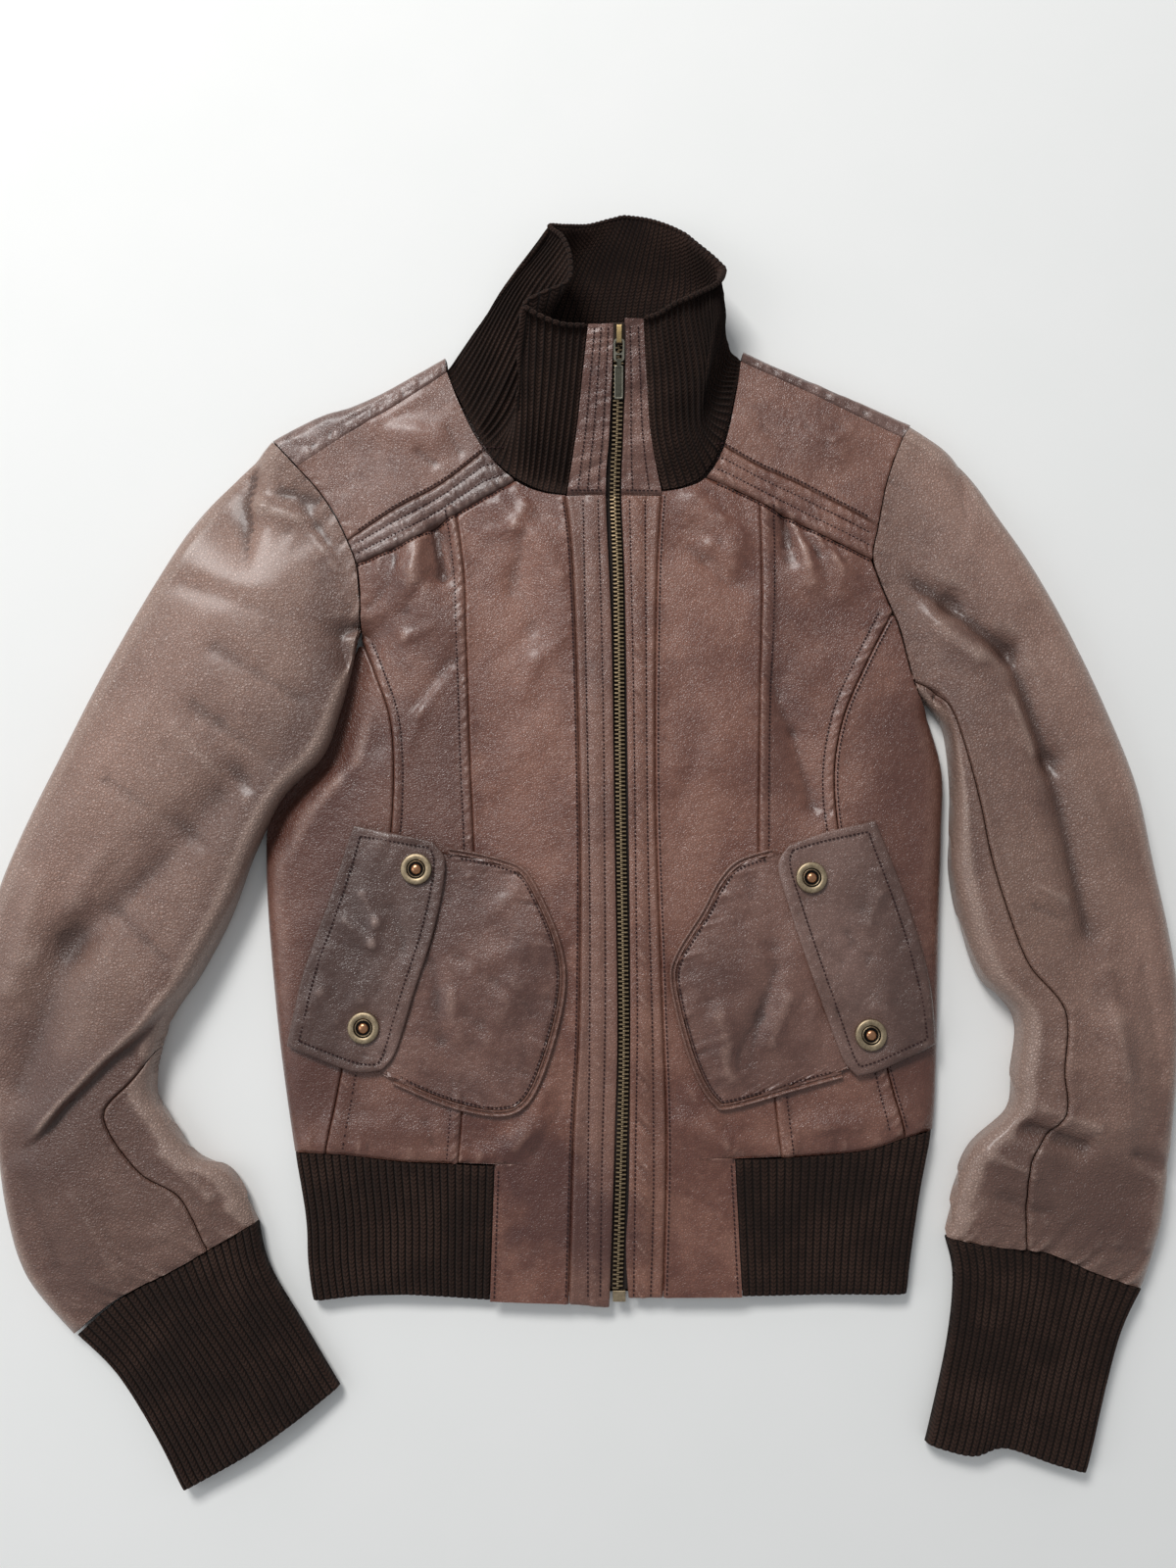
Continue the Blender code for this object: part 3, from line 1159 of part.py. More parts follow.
def zip_top(home):
    """Slider, link and tab, in the frame of the collar's slope."""
    slope = bpy.data.objects.new("zip_top", None)
    parts.objects.link(slope)
    slope.parent = home
    slope.location = Vector((SLIDER_X, SLIDER_Y, front_height(SLIDER_X, SLIDER_Y))) * MM
    slope.rotation_euler = (math.atan(COLLAR_SLOPE), 0.0, 0.0)

    low = SLIDER_GAP + SLIDER_SIZE[2] / 2
    slider = block("zip_slider", "brass", slope, SLIDER_SIZE, (0, 0, low), 0.4)
    outer = round_rect(((BRIDGE_BACK + BRIDGE_FRONT) / 2, (BRIDGE_TOP + 1.0) / 2),
                       (BRIDGE_BACK - BRIDGE_FRONT, BRIDGE_TOP - 1.0), 1.2)
    eye = round_rect(((EYE_BACK + EYE_FRONT) / 2, (EYE_TOP + EYE_LOW) / 2),
                     (EYE_BACK - EYE_FRONT, EYE_TOP - EYE_LOW), 0.6)
    bridge = plate("zip_bridge", "brass", slope, [outer, eye], BRIDGE_WIDTH)
    bridge.rotation_euler = (math.pi / 2, 0.0, math.pi / 2)
    bpy.context.view_layer.update()
    cutters = bpy.data.collections["cutters"]
    parts.objects.unlink(bridge)
    cutters.objects.link(bridge)
    bridge.hide_render = True
    bridge.display_type = "WIRE"
    join = slider.modifiers.new("bridge", "BOOLEAN")
    join.operation = "UNION"
    join.object = bridge

    link_place = Vector((0.0, LINK_AXIS[0], LINK_AXIS[1]))
    droop = math.radians(LINK_DROOP)
    bar = LINK_BAR / 2
    outer = round_rect((0.0, bar - LINK_LENGTH / 2), (LINK_WIDTH, LINK_LENGTH), 2.2)
    upper = round_rect((0.0, -bar - 3.9), (LINK_WIDTH - 2.2, 7.8), 2.0)
    lower = round_rect((0.0, -TAB_AXIS + bar + 1.5), (LINK_WIDTH - 3.0, 3.0), 0.3)
    link = plate("zip_link", "brass", slope, [outer, upper, lower], LINK_THICK)
    link.location = link_place * MM
    link.rotation_euler = (droop, 0.0, 0.0)

    down = Vector((0.0, -math.cos(droop), -math.sin(droop)))
    tab_place = link_place + down * TAB_AXIS
    tab = block("zip_pull_tab", "brass", slope, (TAB_WIDTH, TAB_LENGTH, TAB_THICK), tab_place, 0.35)
    for vertex in tab.data.vertices:
        vertex.co.y -= (TAB_START + TAB_LENGTH / 2) * MM
    tab.rotation_euler = (droop, 0.0, 0.0)
    neck_outer = round_rect(((NECK_ROUND - TAB_START - 0.8) / 2, 0.0),
                            (NECK_ROUND + TAB_START + 0.8, 2 * NECK_ROUND), 0.9)
    pin = [(PIN_HOLE * math.cos(math.radians(a)), PIN_HOLE * math.sin(math.radians(a)))
           for a in range(0, 360, 30)]
    neck = plate("zip_tab_neck", "brass", slope, [neck_outer, pin], NECK_WIDTH)
    neck.rotation_euler = (math.pi / 2 + droop, 0.0, math.pi / 2)
    neck.rotation_mode = "XYZ"
    neck.location = tab_place * MM
    parts.objects.unlink(neck)
    cutters.objects.link(neck)
    neck.hide_render = True
    neck.display_type = "WIRE"
    join = tab.modifiers.new("neck", "BOOLEAN")
    join.operation = "UNION"
    join.object = neck


def zip_foot(home):
    block("zip_box", "brass", home, (7.4, 6.2, 3.4), (1.1, 2.6, body_height(1.1, 2.6) - 1.4), 0.4)


clear_scene()
bpy.context.scene.collection.children.link(parts)
bpy.context.scene.collection.children.link(bpy.data.collections["cutters"])
jacket = bpy.data.objects.new("jacket", None)
jacket.location = (-HOME_X * MM, -HOME_Y * MM, 0.0)
parts.objects.link(jacket)
front_panels(jacket)
plackets(jacket)
yokes(jacket)
back(jacket)
back_yoke(jacket)
sleeves(jacket)
cuffs(jacket)
hem_band(jacket)
collar(jacket)
collar_strips(jacket)
pockets(jacket)
snaps(jacket)
zip_tapes(jacket)
zip_foot(jacket)
zip_top(jacket)
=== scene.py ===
# %% [markdown]
# A worn leather jacket lies on its back, zipped up to the neck.
# The frame gives the solid model. Here every cut piece gets a thin skin with its creases, seams and
# stitches, and a finish of its own. Everything is worked out in millimetres on the jacket's own
# pattern, with the foot of the zip as its zero point, because a sewer thinks in that way too.

# %% Load the frame
import math

import bmesh
import bpy
import numpy as np
from mathutils import Matrix, Vector

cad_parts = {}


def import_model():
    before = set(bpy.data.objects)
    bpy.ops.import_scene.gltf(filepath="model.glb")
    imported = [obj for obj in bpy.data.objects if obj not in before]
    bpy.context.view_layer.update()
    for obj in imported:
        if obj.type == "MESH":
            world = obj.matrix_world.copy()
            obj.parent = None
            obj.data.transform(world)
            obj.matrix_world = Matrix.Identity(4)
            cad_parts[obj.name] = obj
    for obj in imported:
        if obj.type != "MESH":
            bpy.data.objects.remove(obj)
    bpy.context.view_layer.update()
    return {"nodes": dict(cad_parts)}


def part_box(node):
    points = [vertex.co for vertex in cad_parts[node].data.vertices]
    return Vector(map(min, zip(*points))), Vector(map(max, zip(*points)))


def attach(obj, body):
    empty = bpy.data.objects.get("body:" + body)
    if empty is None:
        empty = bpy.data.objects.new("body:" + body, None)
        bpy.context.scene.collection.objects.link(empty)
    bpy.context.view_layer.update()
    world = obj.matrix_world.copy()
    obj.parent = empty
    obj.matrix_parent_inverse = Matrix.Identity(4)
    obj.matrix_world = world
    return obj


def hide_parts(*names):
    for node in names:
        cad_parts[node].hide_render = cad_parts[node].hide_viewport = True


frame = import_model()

MM = 0.001
HOME = np.array((-21.94, 275.87, 0.0))   # the scene's zero point on the pattern


# %% [markdown]
# The camera comes first. The photograph looks almost straight down, from a little below the hem, so
# the camera stands 0.7 m over the jacket and tilts 6 degrees.

# %% Camera
def world(x, y, z=0.0):
    """A point of the pattern as a place in the scene."""
    return Vector((x, y, z)) * MM - Vector(HOME) * MM


eye = world(-16.92, 225.36, 716.06)
aim = world(-16.92, 300.62, 0.0)
camera = bpy.data.objects.new("camera", bpy.data.cameras.new("camera"))
camera.location = eye
camera.rotation_euler = (aim - eye).to_track_quat("-Z", "Y").to_euler()
camera.data.sensor_fit = "VERTICAL"
camera.data.sensor_height = 36.0
camera.data.lens = 27.0
bpy.context.scene.collection.objects.link(camera)
bpy.context.scene.camera = camera
bpy.context.scene.view_settings.view_transform = "Standard"
print("camera at", tuple(round(value, 3) for value in eye))


# %% [markdown]
# Everything is drawn between a few smooth lines, as on a paper pattern. The helpers below work out
# thousands of points at once, so they take whole arrays.

# %% Small helpers for arrays
def mix(a, b, t):
    """From a at t = 0 to b at t = 1."""
    return a + (b - a) * t


def ease(t):
    """A soft step, from 0 at t = 0 to 1 at t = 1."""
    t = np.clip(t, 0.0, 1.0)
    return t * t * (3.0 - 2.0 * t)


def rounded(distance, radius):
    """Height of a quarter round, from 0 at its edge to 1 where it meets the flat."""
    run = np.clip(distance / radius, 0.0, 1.0)
    return np.sqrt(1.0 - (1.0 - run) ** 2)


def bend(a, b, c, d, f):
    """A smooth curve's way from b to c, where a lies before them and d after."""
    return 0.5 * (2 * b + (c - a) * f + (2 * a - 5 * b + 4 * c - d) * f ** 2
                  + (3 * b - a - 3 * c + d) * f ** 3)


def through(points, t):
    """A smooth curve through equally spaced points, at t from 0 to 1."""
    points = np.asarray(points, float)
    place = np.clip(np.asarray(t, float), 0.0, 1.0) * (len(points) - 1)
    k = np.minimum(place.astype(int), len(points) - 2)
    f = (place - k)[..., None]
    a, b = points[np.maximum(k - 1, 0)], points[k]
    c, d = points[k + 1], points[np.minimum(k + 2, len(points) - 1)]
    return bend(a, b, c, d, f)


class Line:
    """A smooth line on the pattern, through a few points."""

    def __init__(self, *points):
        count = (len(points) - 1) * 6
        self.points = through(points, np.arange(count + 1) / count)
        steps = np.linalg.norm(np.diff(self.points, axis=0), axis=1)
        self.run = np.concatenate([[0.0], np.cumsum(steps)])

    def at(self, t):
        goal = np.clip(t, 0.0, 1.0) * self.run[-1]
        return np.stack([np.interp(goal, self.run, self.points[:, k]) for k in (0, 1)], axis=-1)

    def cross(self, value, axis):
        order = np.lexsort((self.points[:, 1 - axis], self.points[:, axis]))
        return np.interp(value, self.points[order, axis], self.points[order, 1 - axis])

    def x(self, y):
        return self.cross(y, 1)

    def y(self, x):
        return self.cross(x, 0)

    def off_x(self, x, y):
        """How far a point lies to the right of a line that runs up the pattern."""
        slope = (self.x(y + 2.0) - self.x(y - 2.0)) / 4.0
        return (x - self.x(y)) / np.sqrt(1.0 + slope ** 2)

    def off_y(self, x, y):
        """How far a point lies above a line that runs across the pattern."""
        slope = (self.y(x + 2.0) - self.y(x - 2.0)) / 4.0
        return (y - self.y(x)) / np.sqrt(1.0 + slope ** 2)


def part_of(line, start, end):
    """The stretch of a line between two shares of its length."""
    return Line(*[tuple(line.at(mix(start, end, k / 4))) for k in range(5)])


def share(line, point):
    """How far along a line its nearest point to this one lies, from 0 to 1."""
    places = np.linspace(0.0, 1.0, 1501)
    return places[np.argmin(np.linalg.norm(line.at(places) - np.array(point), axis=1))]


def four_sided(bottom, top, left, right, inset=0.15):
    """A pattern piece between four lines. bottom and top run left to right, the sides run up."""

    def spot(u, v):
        width = np.maximum(np.linalg.norm(left.at(v) - right.at(v), axis=-1), 1.0)
        tall = np.maximum(np.linalg.norm(bottom.at(u) - top.at(u), axis=-1), 1.0)
        u = mix(inset / width, 1.0 - inset / width, u)
        v = mix(inset / tall, 1.0 - inset / tall, v)
        u1, v1 = u[..., None], v[..., None]
        corners = [line.at(np.array(end)) for line in (bottom, top) for end in (0.0, 1.0)]
        across = mix(mix(corners[0], corners[1], u1), mix(corners[2], corners[3], u1), v1)
        place = mix(bottom.at(u), top.at(u), v1) + mix(left.at(v), right.at(v), u1) - across
        return place[..., 0], place[..., 1]

    return spot


# %% [markdown]
# Leather creases at random, but the script has to give the same jacket on each run. A lattice of
# seeded random numbers, smoothed between its points, makes such a repeatable noise. A second kind
# repeats along a seam, where thread pulls the leather into short puckers.

# %% Repeatable noise
LATTICE = 96
TURN = 6.283             # one whole wave


def noise(x, y, size, seed, stretch=1.0, turn=0.0):
    """Smooth noise of about -1 to 1, with bumps of a given size in millimetres."""
    lattice = np.random.default_rng(seed).uniform(-1.0, 1.0, (LATTICE, LATTICE))
    c, s = math.cos(math.radians(turn)), math.sin(math.radians(turn))
    a = (x * c + y * s) / (size * stretch) + 40.0
    b = (y * c - x * s) / size + 40.0
    ia, ib = np.floor(a).astype(int), np.floor(b).astype(int)
    fa, fb = ease(a - ia), ease(b - ib)

    def value(i, j):
        return lattice[(ia + i) % LATTICE, (ib + j) % LATTICE]
    return mix(mix(value(0, 0), value(1, 0), fa), mix(value(0, 1), value(1, 1), fa), fb) * 1.4


def crumple(x, y, size, seed, stretch=1.0, turn=0.0):
    """Sharp little valleys between soft pillows, as tired leather has."""
    return np.abs(noise(x, y, size, seed, stretch, turn)) - 0.45


def pucker(s, seed=0, short=5.6):
    """Short waves along a seam, about -1 to 1."""
    phase = np.random.default_rng(seed).uniform(0.0, 6.3, 4)
    wave = np.sin(s * TURN / short + phase[0] + 1.3 * np.sin(s * TURN / 31.0 + phase[1]))
    wave = wave * (0.6 + 0.4 * np.sin(s * TURN / 23.0 + phase[2]))
    return wave + 0.35 * np.sin(s * TURN / (short * 1.9) + phase[3])


def folds(x, y, marks):
    """Soft ridges and troughs, each a bell across the line that it follows."""
    total = np.zeros(np.broadcast(x, y).shape)
    for x0, y0, x1, y1, width, height in marks:
        dx, dy = x1 - x0, y1 - y0
        t = np.clip(((x - x0) * dx + (y - y0) * dy) / (dx * dx + dy * dy), 0.0, 1.0)
        off = (x - x0 - t * dx) ** 2 + (y - y0 - t * dy) ** 2
        total = total + height * np.exp(-off / (width * width))
    return total


# %% [markdown]
# These are the seams and edges of the jacket as it lies, read off the photograph and turned into
# millimetres. They are the same lines that the solids were drawn between.

# %% Lines of the body
SIDE_LEFT = Line((-176, -4), (-180, 20), (-182, 45), (-189, 80), (-196, 120), (-202, 160), (-209, 220),
                 (-211.5, 264), (-209, 300), (-203, 333), (-196, 352))
SIDE_RIGHT = Line((168, -4), (171, 19), (178, 57), (186.5, 96), (190.5, 148), (193.5, 211), (197, 270),
                  (198.5, 306), (191.5, 336), (184, 352))
ARMHOLE_LEFT = Line((-196, 352), (-180, 359), (-166, 371), (-157.5, 386), (-156, 404), (-156.5, 420),
                    (-158.5, 435), (-164.5, 450), (-172, 465), (-183, 481), (-196, 495), (-213.5, 513.5))
ARMHOLE_RIGHT = Line((184, 352), (178.5, 368), (172, 396), (163, 419), (157, 438), (160.5, 457),
                     (167.5, 488), (177.5, 514), (184.5, 524))
SHOULDER_SEAM_LEFT = Line((-196, 495), (-168, 515), (-140, 532), (-104.5, 556))
SHOULDER_EDGE_LEFT = Line((-213.5, 513.5), (-184, 530), (-155, 540), (-106, 568))
SHOULDER_SEAM_RIGHT = Line((177.5, 514), (150, 528), (120, 543), (78, 563))
SHOULDER_EDGE_RIGHT = Line((184.5, 524), (152, 539), (115, 555), (80, 571.5))
NECK_LEFT = Line((-104.5, 556), (-95, 532), (-81, 506), (-62, 487), (-46, 479.5), (-30, 477))
NECK_RIGHT = Line((78, 563), (75, 543), (67, 508), (56, 489), (43, 482), (28.5, 479.5))
BAND_TOP_LEFT = Line((-164, 449), (-137, 468), (-107, 485), (-81, 506))
BAND_LOW_LEFT = Line((-158.5, 434), (-128, 448), (-98, 466), (-62, 487))
BAND_TOP_RIGHT = Line((67, 508), (88, 496), (118, 482), (160.5, 459))
BAND_LOW_RIGHT = Line((56, 489), (84, 476), (118, 457), (157, 437))
PRINCESS_LEFT = Line((-92.5, 77), (-90, 115), (-86, 180), (-85, 250), (-88, 315), (-90.5, 380),
                     (-92, 420), (-95, 448), (-98, 466), (-98.6, 470))
PRINCESS_RIGHT = Line((96, 80), (91, 132), (86.5, 190), (85, 255), (86.5, 330), (88.5, 390),
                      (89.3, 422), (89.2, 450), (88.5, 474))
CURVE_LEFT = Line((-170, 83), (-158, 148), (-140, 235), (-134, 285), (-136, 335), (-147, 368),
                  (-157, 390))
CURVE_RIGHT = Line((168, 94), (155, 148), (138, 235), (131, 295), (136, 335), (150, 369), (169.5, 406))
PLACKET_LEFT = Line((-28, -2), (-25.5, 90), (-22, 160), (-21.5, 270), (-24, 380), (-27, 444), (-31, 477))
PLACKET_RIGHT = Line((26.5, 1), (29, 90), (26.5, 183), (23.5, 300), (25, 420), (28.5, 480))
ZIP_EDGE_LEFT = Line((-4.5, -2), (-1, 98), (0.5, 160), (-1, 270), (-2.5, 390), (-6, 477), (-4, 511),
                     (-2.5, 545), (-1.5, 575))
ZIP_EDGE_RIGHT = Line((6.5, 1), (5, 30), (7, 70), (8, 183), (7, 300), (5.5, 420), (3.5, 477), (4.5, 511),
                      (5.5, 545), (5, 580))
ZIP_MIDDLE = Line((0, 2), (1.5, 50), (4, 130), (4, 183), (2.5, 300), (1.5, 420), (-0.5, 477), (0.7, 511),
                  (1.5, 545), (1.7, 577))
HEM_RIB_TOP = Line((-189, 83), (-160, 82), (-125, 78), (-92.5, 76.8), (-71.5, 76.2), (0, 78), (68.5, 79.4),
                   (97, 80), (143, 84), (168, 91.5), (186, 96))
HEM_LOW = Line((-176, -1), (-130, 3), (-73.5, -0.5), (-28, -2), (-4.5, -4), (6.5, 1), (72, 2), (168, 3))
RIB_SEAM_LEFT = Line((-71.3, 77), (-72.4, 38), (-73.5, -1))
RIB_SEAM_RIGHT = Line((69, 79), (70.5, 40), (72, 2))
SLEEVE_LEFT_OVER_BODY = Line((-217, 249), (-208, 276), (-194, 295), (-176, 316), (-165, 352), (-158, 386))
CROWN = Line((-5, 11), (80, 12), (180, 13.5), (300, 14.5), (400, 15.5), (477, 17), (570, 17))
NECK_Y = 477.0
LEATHER = 1.6
KNIT_WALL = 1.2          # thickness of the knit between its ribs
SEAM = 0.18
UNDERARM_Y = 352.0       # level of the armholes' lower ends
SIDE_EDGE = 3.6
SIDE_ROUND = 14.0
PRESSED = 6.0            # height of the body's edge under the left sleeve
COLLAR_SLOPE = 0.25
print("zip length in mm:", round(float(ZIP_MIDDLE.run[-1])))


# %% [markdown]
# The front is one soft surface over the flat back. First come the large folds, which the solids have
# too, then the smaller ones that the photograph shows: gathers under the yoke bands, hollows beside
# the seams and the long soft creases on the chest.

# %% The front's large and small folds
BODY_FOLDS = [
    (-111, 456, -107, 428, 7, -4.0), (-125, 448, -122, 425, 9, 3.0), (-130, 424, -101, 396, 14, 3.5),
    (-42, 444, -32, 400, 11, 2.5), (-73, 470, -54, 452, 9, 2.5), (-62, 425, -50, 400, 9, -1.5),
    (-139, 395, -144, 325, 10, -2.0), (-165, 98, -105, 94, 8, 2.0), (-45, 98, -66, 84, 7, 2.0),
    (38, 101, 64, 86, 7, 2.0), (108, 97, 170, 106, 8, 2.0), (46, 472, 72, 444, 9, 2.5),
    (44, 448, 78, 424, 9, -2.0), (102, 460, 108, 440, 7, -3.0), (114, 440, 119, 424, 8, 3.0),
    (136, 436, 136, 416, 8, 2.0), (98, 362, 118, 287, 9, -2.5), (122, 515, 138, 504, 8, 2.0),
    (-147, 520, -112, 514, 9, 2.0),
]
SMALL_FOLDS = [
    (-137.5, 423, -149, 408, 4, -1.6), (-140, 408, -128, 388, 4, 1.5), (-128, 388, -113, 394, 4, 1.4),
    (-110.5, 457, -106, 426, 3, -2.2), (-118.5, 450, -124, 429, 3, 1.6), (-115, 426, -128, 405, 4, -1.8),
    (-132, 444, -137, 428, 2.5, -1.4), (-143, 440, -146, 428, 2.5, 1.2), (-101, 372, -121, 348, 6, -1.5),
    (-98, 369, -118, 342, 3.5, 1.2), (-118, 342, -126, 320, 3.5, 1.0), (-104, 452, -99, 430, 2.5, -1.2),
    (-61, 479, -55, 470, 4, 1.2), (-55, 470, -62, 456, 4, 1.4), (-62, 456, -78, 454, 4, 1.2),
    (-46, 440, -33, 426, 5, 1.0), (-33, 426, -30, 408, 5, 1.2), (-31, 389, -48, 374, 5, 1.2),
    (-48, 374, -56, 354, 5, 1.0), (-57, 451, -64, 417, 5, -1.4), (-52, 392, -66, 378, 5, -1.0),
    (49.5, 477, 66, 462, 4, 1.4), (66, 462, 77, 453, 4, 1.2), (39, 451, 57, 445, 4, 1.2),
    (57, 445, 72, 432, 4, 1.4), (72, 432, 83, 424, 4, 1.2), (48, 460, 64, 448, 4, -1.2),
    (52, 436, 70, 420, 4, -1.0), (103, 465, 105, 446, 2.5, -2.0), (107, 463, 118, 433, 3, 1.6),
    (112, 460, 124, 440, 2.5, -1.6), (121, 453, 148, 420, 3, 1.4), (130, 448, 140, 436, 2.5, -1.2),
    (96, 356, 107, 331, 4, -1.4), (107, 331, 118, 286, 4, -1.5), (102, 350, 110, 334, 3, 1.0),
    (67, 93, 83, 89, 4, 1.2), (118, 97, 141, 98, 4, 1.4), (34, 131, 44, 116, 5, 1.0),
    (44, 116, 64, 88, 4, 1.4), (-141, 112, -132, 104, 5, 1.4), (-112, 101, -106, 87, 3, -1.3),
    (-40, 121, -58, 86, 4, 1.3), (-34, 108, -48, 84, 3, -1.0), (-50, 330, -70, 300, 9, 0.9),
    (46, 380, 66, 350, 9, 0.8), (50, 330, 40, 290, 7, -0.8), (-176, 330, -158, 300, 6, -1.2),
    (-150, 524, -120, 540, 4, 1.0), (-122, 505, -112, 498, 3, -1.4), (-104, 520, -96, 505, 3, -1.2),
    (118, 520, 130, 508, 3, -1.4), (134, 512, 146, 520, 3, 1.2), (92, 520, 104, 506, 4, -1.0),
]


def body_height(x, y, detail=1.0):
    """Height of the front's outer face: flat edges, a soft crown and the folds."""
    inside = np.minimum(x - SIDE_LEFT.x(y), SIDE_RIGHT.x(y) - x) + 2 * SIDE_ROUND * ease((y - 338.0) / 40.0)
    shape = folds(x, y, BODY_FOLDS) + detail * (0.75 * folds(x, y, SMALL_FOLDS) + soft_creases(x, y))
    height = SIDE_EDGE + (CROWN.y(y) + shape - SIDE_EDGE) * rounded(inside, SIDE_ROUND)
    under = ease((SLEEVE_LEFT_OVER_BODY.x(y) + 24.0 - x) / 24.0)
    under = under * ease((y - 245.0) / 25.0) * ease((403.0 - y) / 14.0)
    return mix(height, np.minimum(height, PRESSED), under)


def soft_creases(x, y):
    """Broad unevenness and a few crisp creases all over the leather."""
    return (0.9 * noise(x, y, 52.0, 3) + 0.45 * noise(x, y, 21.0, 5, 1.5, 70.0)
            + 0.26 * crumple(x, y, 16.0, 8, 2.2, 62.0) + 0.09 * crumple(x, y, 5.5, 9, 1.6, 35.0))


# %% [markdown]
# Seams shape leather more than anything else. The allowance under a middle panel's edge shows as a
# raised strip with a stitch row at its inner side. Yoke bands are quilted in three channels. Along
# each stitch row lies a little groove, and thread draws the leather beside it into puckers.

# %% Relief of the front's seams
ALLOWANCES = [  # seam, side on which the strip lies, strip's width by height up the jacket
    (PRINCESS_LEFT, -1.0, Line((70, 6.6), (250, 5.6), (480, 5.8))),
    (PRINCESS_RIGHT, 1.0, Line((70, 6.8), (300, 5.6), (380, 6.6), (480, 8.4))),
    (CURVE_LEFT, 1.0, Line((80, 9.5), (140, 8.0), (250, 5.6), (400, 5.2))),
    (CURVE_RIGHT, -1.0, Line((80, 8.5), (200, 6.5), (420, 7.0))),
]
PLACKET_ROWS = [
    Line((-17, -2), (-17, 71), (-16, 154), (-16, 240), (-18, 358), (-20, 477)),
    Line((-10, -2), (-9, 71), (-7, 154), (-7, 240), (-8, 358), (-11, 477)),
    Line((9.3, -2), (10.5, 71), (12, 154), (11.5, 240), (10.5, 358), (8.4, 477)),
    Line((19, -2), (21.2, 71), (20.8, 154), (19, 240), (18.2, 358), (18, 477)),
]


def groove(distance, depth, width):
    """A soft little trough where the distance is 0."""
    return -depth * np.exp(-(distance / width) ** 2)


def seam_relief(x, y):
    """Height that the seams of the front add: strips, grooves, channels and puckers."""
    total = np.zeros(np.broadcast(x, y).shape)
    for k, (line, side, widths) in enumerate(ALLOWANCES):
        low, high = line.points[:, 1].min(), line.points[:, 1].max()
        there = ease((y - low + 3.0) / 3.0) * ease((high + 1.0 - y) / 3.0)
        d = side * line.off_x(x, y)
        wide = widths.y(y)
        strip = ease((d + 0.2) / 1.3) * ease((wide - d) / 1.1)
        wave = pucker(y + 0.9 * d, 11 + k, 5.6)
        bead = np.sin(np.clip(d / wide, 0.0, 1.0) * math.pi) ** 0.6
        part = strip * bead * (0.85 + 0.6 * wave)
        part += groove(d, 0.9, 0.7) + groove(d - wide - 0.3, 0.3, 0.8)
        part += np.where(d > wide, 0.3 * wave * np.exp(-np.abs(d - wide) / 5.0), 0.0)
        part += np.where(d < 0, (0.35 + 0.25 * wave) * np.exp(-np.abs(d + 1.6) / 2.0), 0.0)
        total += there * part
    lowest = ease((NECK_Y - y) / 2.0)
    for line in PLACKET_ROWS:
        total += lowest * groove(line.off_x(x, y), 0.35, 0.8)
    for line, side in ((PLACKET_LEFT, 1.0), (PLACKET_RIGHT, -1.0)):
        d = side * line.off_x(x, y)
        wave = pucker(y - 0.7 * d, 21 if side > 0 else 22, 7.5)
        total += lowest * (groove(d, 1.2, 0.8) + np.where(d > 0, 0.5, 0.25 + 0.3 * wave)
                           * np.exp(-((np.abs(d) - 2.4) / 1.9) ** 2))
    for left, right, high, deep, slant, seed, short in ((2, 3, 0.5, 0.85, 1.2, 31, 6.6),
                                                        (0, 1, 0.6, 0.28, 0.6, 32, 8.0)):
        d, e = PLACKET_ROWS[left].off_x(x, y), -PLACKET_ROWS[right].off_x(x, y)
        t = np.clip(d / np.maximum(d + e, 0.1), 0, 1)
        between = np.where((d > 0) & (e > 0), np.sin(t * math.pi), 0.0)
        total += lowest * between * (high + deep * pucker(y + slant * d, seed, short))
    bands = ((BAND_LOW_LEFT, BAND_TOP_LEFT, x < -61.0, 41), (BAND_LOW_RIGHT, BAND_TOP_RIGHT, x > 55.0, 42))
    for low, top, side, seed in bands:
        tall = np.maximum(top.y(x) - low.y(x), 4.0)
        t = (y - low.y(x)) / tall
        on = side & (t > -0.02) & (t < 1.02)
        channel = np.abs(np.sin(3.0 * math.pi * np.clip(t, 0.0, 1.0))) ** 0.55
        across = pucker(x + 1.5 * np.floor(3.0 * t) + 0.25 * y, seed, 5.0)
        total += np.where(on, 1.35 * channel * (0.9 + 0.34 * across) - 0.5, 0.0)
        below = low.off_y(x, y)
        gather = pucker(x + 0.3 * y, seed + 3, 9.0)
        reach = np.exp(np.minimum(below, 0.0) / 15.0) * np.where(below < 0, 1.0, 0.0)
        strong = 0.35 + 0.65 * np.exp(-((np.abs(x) - 116.0) / 26.0) ** 2)
        total += np.where(side, reach * gather * 0.95 * strong, 0.0)
        total += np.where(side, groove(below + 0.4, 1.6, 1.3), 0.0)
        above = top.off_y(x, y)
        total += np.where(side, groove(above, 0.9, 0.9)
                          + np.where(above > 0, 0.4 * across * np.exp(-above / 4.0), 0.0), 0.0)
    arms = ((ARMHOLE_LEFT, 1.0, 51), (ARMHOLE_RIGHT, -1.0, 52))
    for line, side, seed in arms:
        d = side * line.off_x(x, y)
        near = np.where((y > UNDERARM_Y) & (d > 0.0), np.exp(-d / 5.0), 0.0)
        total += near * (0.45 * pucker(y, seed, 8.0) - 0.2)
        total += np.where(y > UNDERARM_Y, groove(d, 0.5, 0.8), 0.0)
    d = HEM_RIB_TOP.off_y(x, y)
    beside_rib = (x < -71.0) | (x > 68.0)
    puff = np.exp(-((d - 6.0) / 5.0) ** 2) * (1.1 + 0.75 * pucker(x, 61, 15.0))
    total += np.where(beside_rib, groove(d, 1.5, 1.2) + puff, 0.0)
    return total


